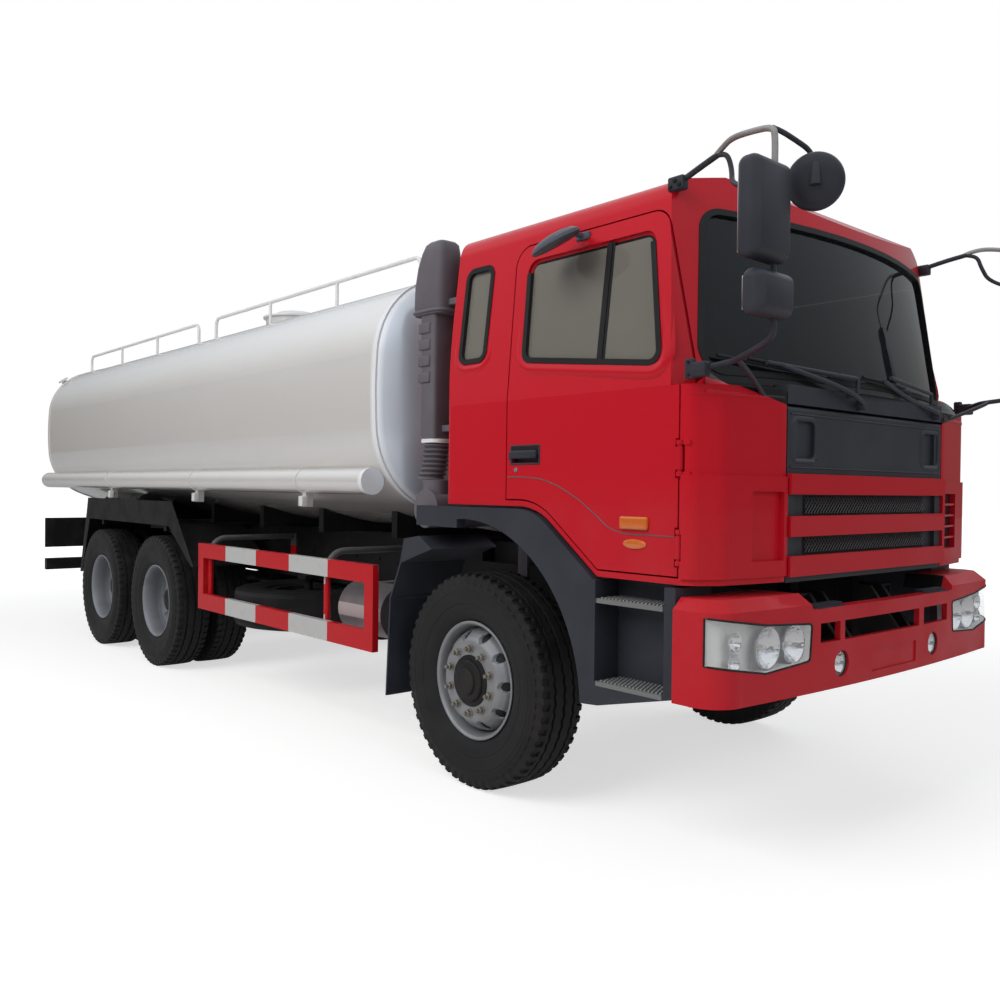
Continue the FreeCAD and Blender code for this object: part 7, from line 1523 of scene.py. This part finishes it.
ribs = [block((SNORKEL_X - 0.070, SNORKEL_Y - 0.084, z), (SNORKEL_X + 0.030, SNORKEL_Y - 0.050, z + 0.058), 0.008, 0)
        for z in np.arange(2.075, 2.40, 0.088)]
lip = stack([(z, -0.008, 0.123 + e, 0.088 + e) for z, e in LIP], 0.42)
wall_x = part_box("cab_shell")[0].x - 0.0008
stays = [block((SNORKEL_X + 0.05, SNORKEL_Y - 0.018, z), (wall_x, SNORKEL_Y + 0.018, z + 0.035), 0.004, 0)
         for z in (1.812, 2.482)]
snorkel_parts = [stack(HOOD, 0.42), stack(DUCT, 0.30), lip, bellows()] + ribs + stays
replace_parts(piece("snorkel_hood_and_duct", snorkel_parts, duct_plastic, "cab", 50), "snorkel")
band = stack([(z, 0.0, 0.074 + e, 0.076 + e) for z, e in BAND], 0.8)
piece("snorkel_clamp_band", [band], rail_zinc, "cab")
print("snorkel from z 1.56 to 2.83")

# %% [markdown]
# Inside the cab two sprung seats stand behind the screen. Their covers are woven cloth, dark with light
# head covers. The threads could be a picture, but two crossed waves on the truck's own frame give warp
# and weft at any distance.

# %% Woven cloth
def woven(name, colour, second, scale=190.0):
    """Woven cloth: two crossed waves make the threads, in the normal and in the colour."""
    cloth = Finish(name, colour, 0.85, Sheen_Weight=0.3)
    x, y, z = cloth.place()
    warp, weft = (cloth.sine((across + x * 0.3) * scale * 6.0) for across in (y, z))
    threads = warp * weft * 0.5 + 0.5
    cloth.set("Base Color", cloth.mix(threads * 0.25, colour, second))
    cloth.set("Roughness", 0.78 + threads * 0.15)
    cloth.bump(threads, 0.03, 0.0004)
    return cloth


seat_cloth = woven("seat_cloth_dark", (0.055, 0.055, 0.060), (0.11, 0.11, 0.12))
head_cloth = woven("headrest_cover_light", (0.50, 0.50, 0.52), (0.62, 0.62, 0.62))
print("two woven covers")

# %% [markdown]
# A seat cushion is a crowned closed form: its sides pull in between the corners and its face swells.
# Cloth could be simulated, but behind smoked glass the crown alone reads right, so the swell is a
# product of two parabolas. An exponent below one pushes the outline from a circle towards a square.

# %% Seats
def cushion(low, high, crown=0.25, power=0.28, rows=25, cols=48):
    """Crowned cushion: sides follow sign(cos) |cos|^power, and the face swells by crown * (1 - x^2)(1 - y^2)."""
    low, high = np.array(low, float), np.array(high, float)
    middle, half = (low + high) / 2, (high - low) / 2
    thin = int(np.argmin(half))
    p, q = (thin + 1) % 3, (thin + 2) % 3
    v = np.linspace(-np.pi / 2, np.pi / 2, rows)[:, None]
    u = np.linspace(0, 2 * np.pi, cols, endpoint=False)[None]
    lift = np.sign(np.sin(v)) * np.abs(np.sin(v)) ** 0.6
    reach = np.abs(np.cos(v)) ** power
    x = reach * np.sign(np.cos(u)) * np.abs(np.cos(u)) ** power
    y = reach * np.sign(np.sin(u)) * np.abs(np.sin(u)) ** power
    grid = np.zeros((rows, cols, 3))
    grid[..., p] = middle[p] + half[p] * x
    grid[..., q] = middle[q] + half[q] * y
    swell = (1 - crown) + crown * (1 - x ** 2) * (1 - y ** 2)
    grid[..., thin] = middle[thin] + half[thin] * lift * swell
    return sheet(grid, wrap_cols=True)


# Each pad is its span along, its half width, its span upwards, its crown and its cover.
PADS = (("seat_cushion_", (0.285, 0.800), 0.262, (1.700, 1.872), 0.22, seat_cloth),
        ("seat_back_", (0.165, 0.325), 0.262, (1.760, 2.475), 0.25, seat_cloth),
        ("headrest_", (0.195, 0.318), 0.152, (2.445, 2.640), 0.20, head_cloth))
for word, y in (("right", -0.64), ("left", 0.64)):
    for name, (x0, x1), half, (z0, z1), crown, cover in PADS:
        pad = cushion(at(x0, y - half, z0), at(x1, y + half, z1), crown)
        piece(name + word, [pad], cover, "cab", 60)
print("two seats with headrests")

# %% [markdown]
# The lamps under the hose tubes are small white blocks on brackets. Their lenses light up the side at
# night and are the only bright spots under the tank. A capped stub stands on the tank's shoulder, and
# two rows of bolt heads run along each frame rail. Bolts could be bump only, but these catch the light.

# %% Side lamps, stub and bolt heads
white_lens = Finish("side_lens_white", (0.75, 0.76, 0.76), 0.2, Coat_Weight=0.8)
white_lens.set("Roughness", 0.15 + white_lens.noise(40.0) * 0.1)
lenses = []
for x in (-5.16, -3.26, -1.60):
    for side in (-1, 1):
        y0, y1 = sorted((side * 1.215, side * 1.258))
        lenses.append(block(at(x - 0.024, y0, 1.385), at(x + 0.024, y1, 1.450), 0.006, 2))
piece("side_lamp_lenses", lenses, white_lens, "chassis")
stub = [(0.0005, 0.0), (0.030, 0.0), (0.030, 0.050), (0.052, 0.054), (0.054, 0.060), (0.052, 0.068),
        (0.0005, 0.070)]
foot = meets("tank", at(-7.2, -1.20, 2.80), (0, 0.6, -0.8))
out_way = ((1.0, 0.0, 0.0), (0.0, -0.8, -0.6), (0.0, -0.6, 0.8))
piece("tank_shoulder_stub", [spun(stub, (foot.x, foot.y, foot.z - 0.004), out_way, 32)], silver_white, "chassis")
bolt_steel = satin_black("bolt_head_black", 0.3, 0.2)
heads = []
head_profile = [(0.011, 0.0), (0.011, 0.003), (0.008, 0.004)]
hexagon = [(0.008, 0.003), (0.008, 0.009), (0.0065, 0.010)]
for side in (-1, 1):
    for x in np.arange(-6.9, 1.2, 0.31):
        for z in (0.84, 1.00):
            for profile, sides in ((head_profile, 10), (hexagon, 6)):
                heads.append(spun(turned(profile, side), at(x, side * 0.430, z), "y", sides))
piece("frame_bolt_heads", heads, bolt_steel, "chassis")
print(len(lenses), "side lenses and", len(heads) // 2, "bolts")

# %% [markdown]
# The truck is shown on a white floor under soft light, from its front right corner. The camera sees
# pure white round it. Gloss would turn milky if it mirrored that white too, so mirrored rays see an
# open yard instead: bright sky overhead that sinks to a dim warm rim at the horizon. The ray's own kind
# picks between them, which keeps the red deep and gives the tank its pale shoulder.

# %% World
YARD = ((0.0, (0.15, 0.135, 0.12)), (0.10, (0.19, 0.18, 0.165)), (0.28, (0.44, 0.46, 0.48)),
        (0.55, (0.84, 0.90, 0.96)), (1.0, (0.96, 0.98, 1.0)))
world = bpy.data.worlds.new("studio")
bpy.context.scene.world = world
world.use_nodes = True
world.node_tree.nodes.remove(world.node_tree.nodes["Background"])
sky = Graph(world.node_tree)
way = sky.node("ShaderNodeTexCoord", out="Generated")
height = sky.node("ShaderNodeSeparateXYZ", None, {0: way}, out="Z")
soft = sky.node("ShaderNodeBackground", None, {"Color": (0.93, 0.96, 1.0), "Strength": 0.30})
white = sky.node("ShaderNodeBackground", None, {"Color": (1.0, 1.0, 1.0), "Strength": 1.0})
yard = sky.node("ShaderNodeBackground", None, {"Color": sky.node("ShaderNodeValToRGB", {"stops": YARD}, {0: height})})
camera_ray, glossy_ray, through_ray = sky.rays("Is Camera Ray", "Is Glossy Ray", "Is Transmission Ray")
mirrored = sky.node("ShaderNodeMixShader", None, {0: glossy_ray, 1: soft, 2: yard})
chosen = sky.node("ShaderNodeMixShader", None, {0: sky.higher(camera_ray, through_ray), 1: mirrored, 2: white})
sky.join(sky.tree.nodes["World Output"].inputs["Surface"], chosen)
print("world: white to the camera, a yard to mirrored rays")

# %% [markdown]
# The floor is a pale matt sheet that keeps the truck's shadow. It could be pure white everywhere, but
# then the shadow would drown, so a glow that only the camera sees is weak under the truck and grows to
# full white farther off, and the horizon vanishes.

# %% Floor
floor_mesh = bpy.data.meshes.new("floor")
floor_mesh.from_pydata([(-60, -60, 0), (60, -60, 0), (60, 60, 0), (-60, 60, 0)], [], [(0, 1, 2, 3)])
floor = bpy.data.objects.new("floor", floor_mesh)
bpy.context.scene.collection.objects.link(floor)
floor_white = bpy.data.materials.new("floor_white")
floor_white.use_nodes = True
floor_white.node_tree.nodes.remove(floor_white.node_tree.nodes["Principled BSDF"])
ground = Graph(floor_white.node_tree)
place = ground.node("ShaderNodeTexCoord", out="Object")
far = ground.node("ShaderNodeVectorMath", {"operation": "LENGTH"}, {0: place}, out="Value")
near_to_far = {0: far, "From Min": 5.5, "From Max": 13.0, "To Min": 0.62, "To Max": 1.0}
whiteness = ground.node("ShaderNodeMapRange", {"interpolation_type": "SMOOTHSTEP"}, near_to_far)
camera_ray, glossy_ray = ground.rays("Is Camera Ray", "Is Glossy Ray")
glow = ground.node("ShaderNodeEmission", None, {"Strength": whiteness * camera_ray + glossy_ray * 0.10})
matt = ground.node("ShaderNodeBsdfDiffuse", None, {"Color": (0.62, 0.62, 0.62)})
both = ground.node("ShaderNodeAddShader", None, {0: matt, 1: glow})
ground.join(ground.tree.nodes["Material Output"].inputs["Surface"], both)
floor_mesh.materials.append(floor_white)
print("floor set")

# %% [markdown]
# Three large soft lamps stand for the open sky: one high on the right side, one in front and a weak one
# on the left. Mirrored rays don't see them, or their squares would show in the paint.

# %% Lamps
def soft_lamp(name, place, aim, size, watts, colour=(1.0, 1.0, 1.0)):
    """A square area lamp that looks at a point and leaves no square mirror image in the paint."""
    data = bpy.data.lights.new(name, "AREA")
    data.shape, data.size, data.energy, data.color = "SQUARE", size, watts, colour
    lamp = bpy.data.objects.new(name, data)
    lamp.location = place
    lamp.visible_glossy = False
    lamp.rotation_euler = (Vector(aim) - Vector(place)).to_track_quat("-Z", "Y").to_euler()
    bpy.context.scene.collection.objects.link(lamp)


soft_lamp("key_right_side", at(-1.0, -11.0, 9.0), at(-1.5, 0.0, 1.3), 8.0, 960, (1.0, 0.98, 0.95))
soft_lamp("fill_front", at(11.0, -3.0, 6.0), at(0.5, 0.0, 1.4), 7.0, 260, (0.95, 0.97, 1.0))
soft_lamp("rim_left", at(-2.0, 11.0, 9.0), at(-2.0, 0.0, 1.5), 8.0, 300)
print("three soft lamps")

# %% [markdown]
# The camera stands where the photographer stood: the wheels' ellipses, the guard's corners and the
# bumper's lamps were solved together for its place, direction and lens. The three unit vectors below
# are its right, up and backward directions.

# %% Camera
def photo_camera():
    """Camera from yaw, pitch and roll: forward = (-cos yaw cos pitch, sin yaw cos pitch, sin pitch)."""
    yaw, pitch, roll = (math.radians(k) for k in (40.94, -0.714, 0.694))
    ahead = np.array([-math.cos(yaw) * math.cos(pitch), math.sin(yaw) * math.cos(pitch), math.sin(pitch)])
    right = np.cross(ahead, [0.0, 0.0, 1.0])
    right /= np.linalg.norm(right)
    up = np.cross(right, ahead)
    turned_right = math.cos(roll) * right + math.sin(roll) * up
    turned_up = math.cos(roll) * up - math.sin(roll) * right
    data = bpy.data.cameras.new("photo_camera")
    data.sensor_width = 36.0
    data.lens = 928.45 * 36.0 / 1000.0
    camera = bpy.data.objects.new("photo_camera", data)
    spot = at(3.613, -4.121, 1.512)
    rows = [(turned_right[i], turned_up[i], -ahead[i], spot[i]) for i in range(3)]
    camera.matrix_world = Matrix(rows + [(0, 0, 0, 1)])
    bpy.context.scene.collection.objects.link(camera)
    return camera


bpy.context.scene.camera = photo_camera()
bpy.context.scene.view_settings.view_transform = "Standard"
print("camera lens", round(bpy.context.scene.camera.data.lens, 2), "mm")
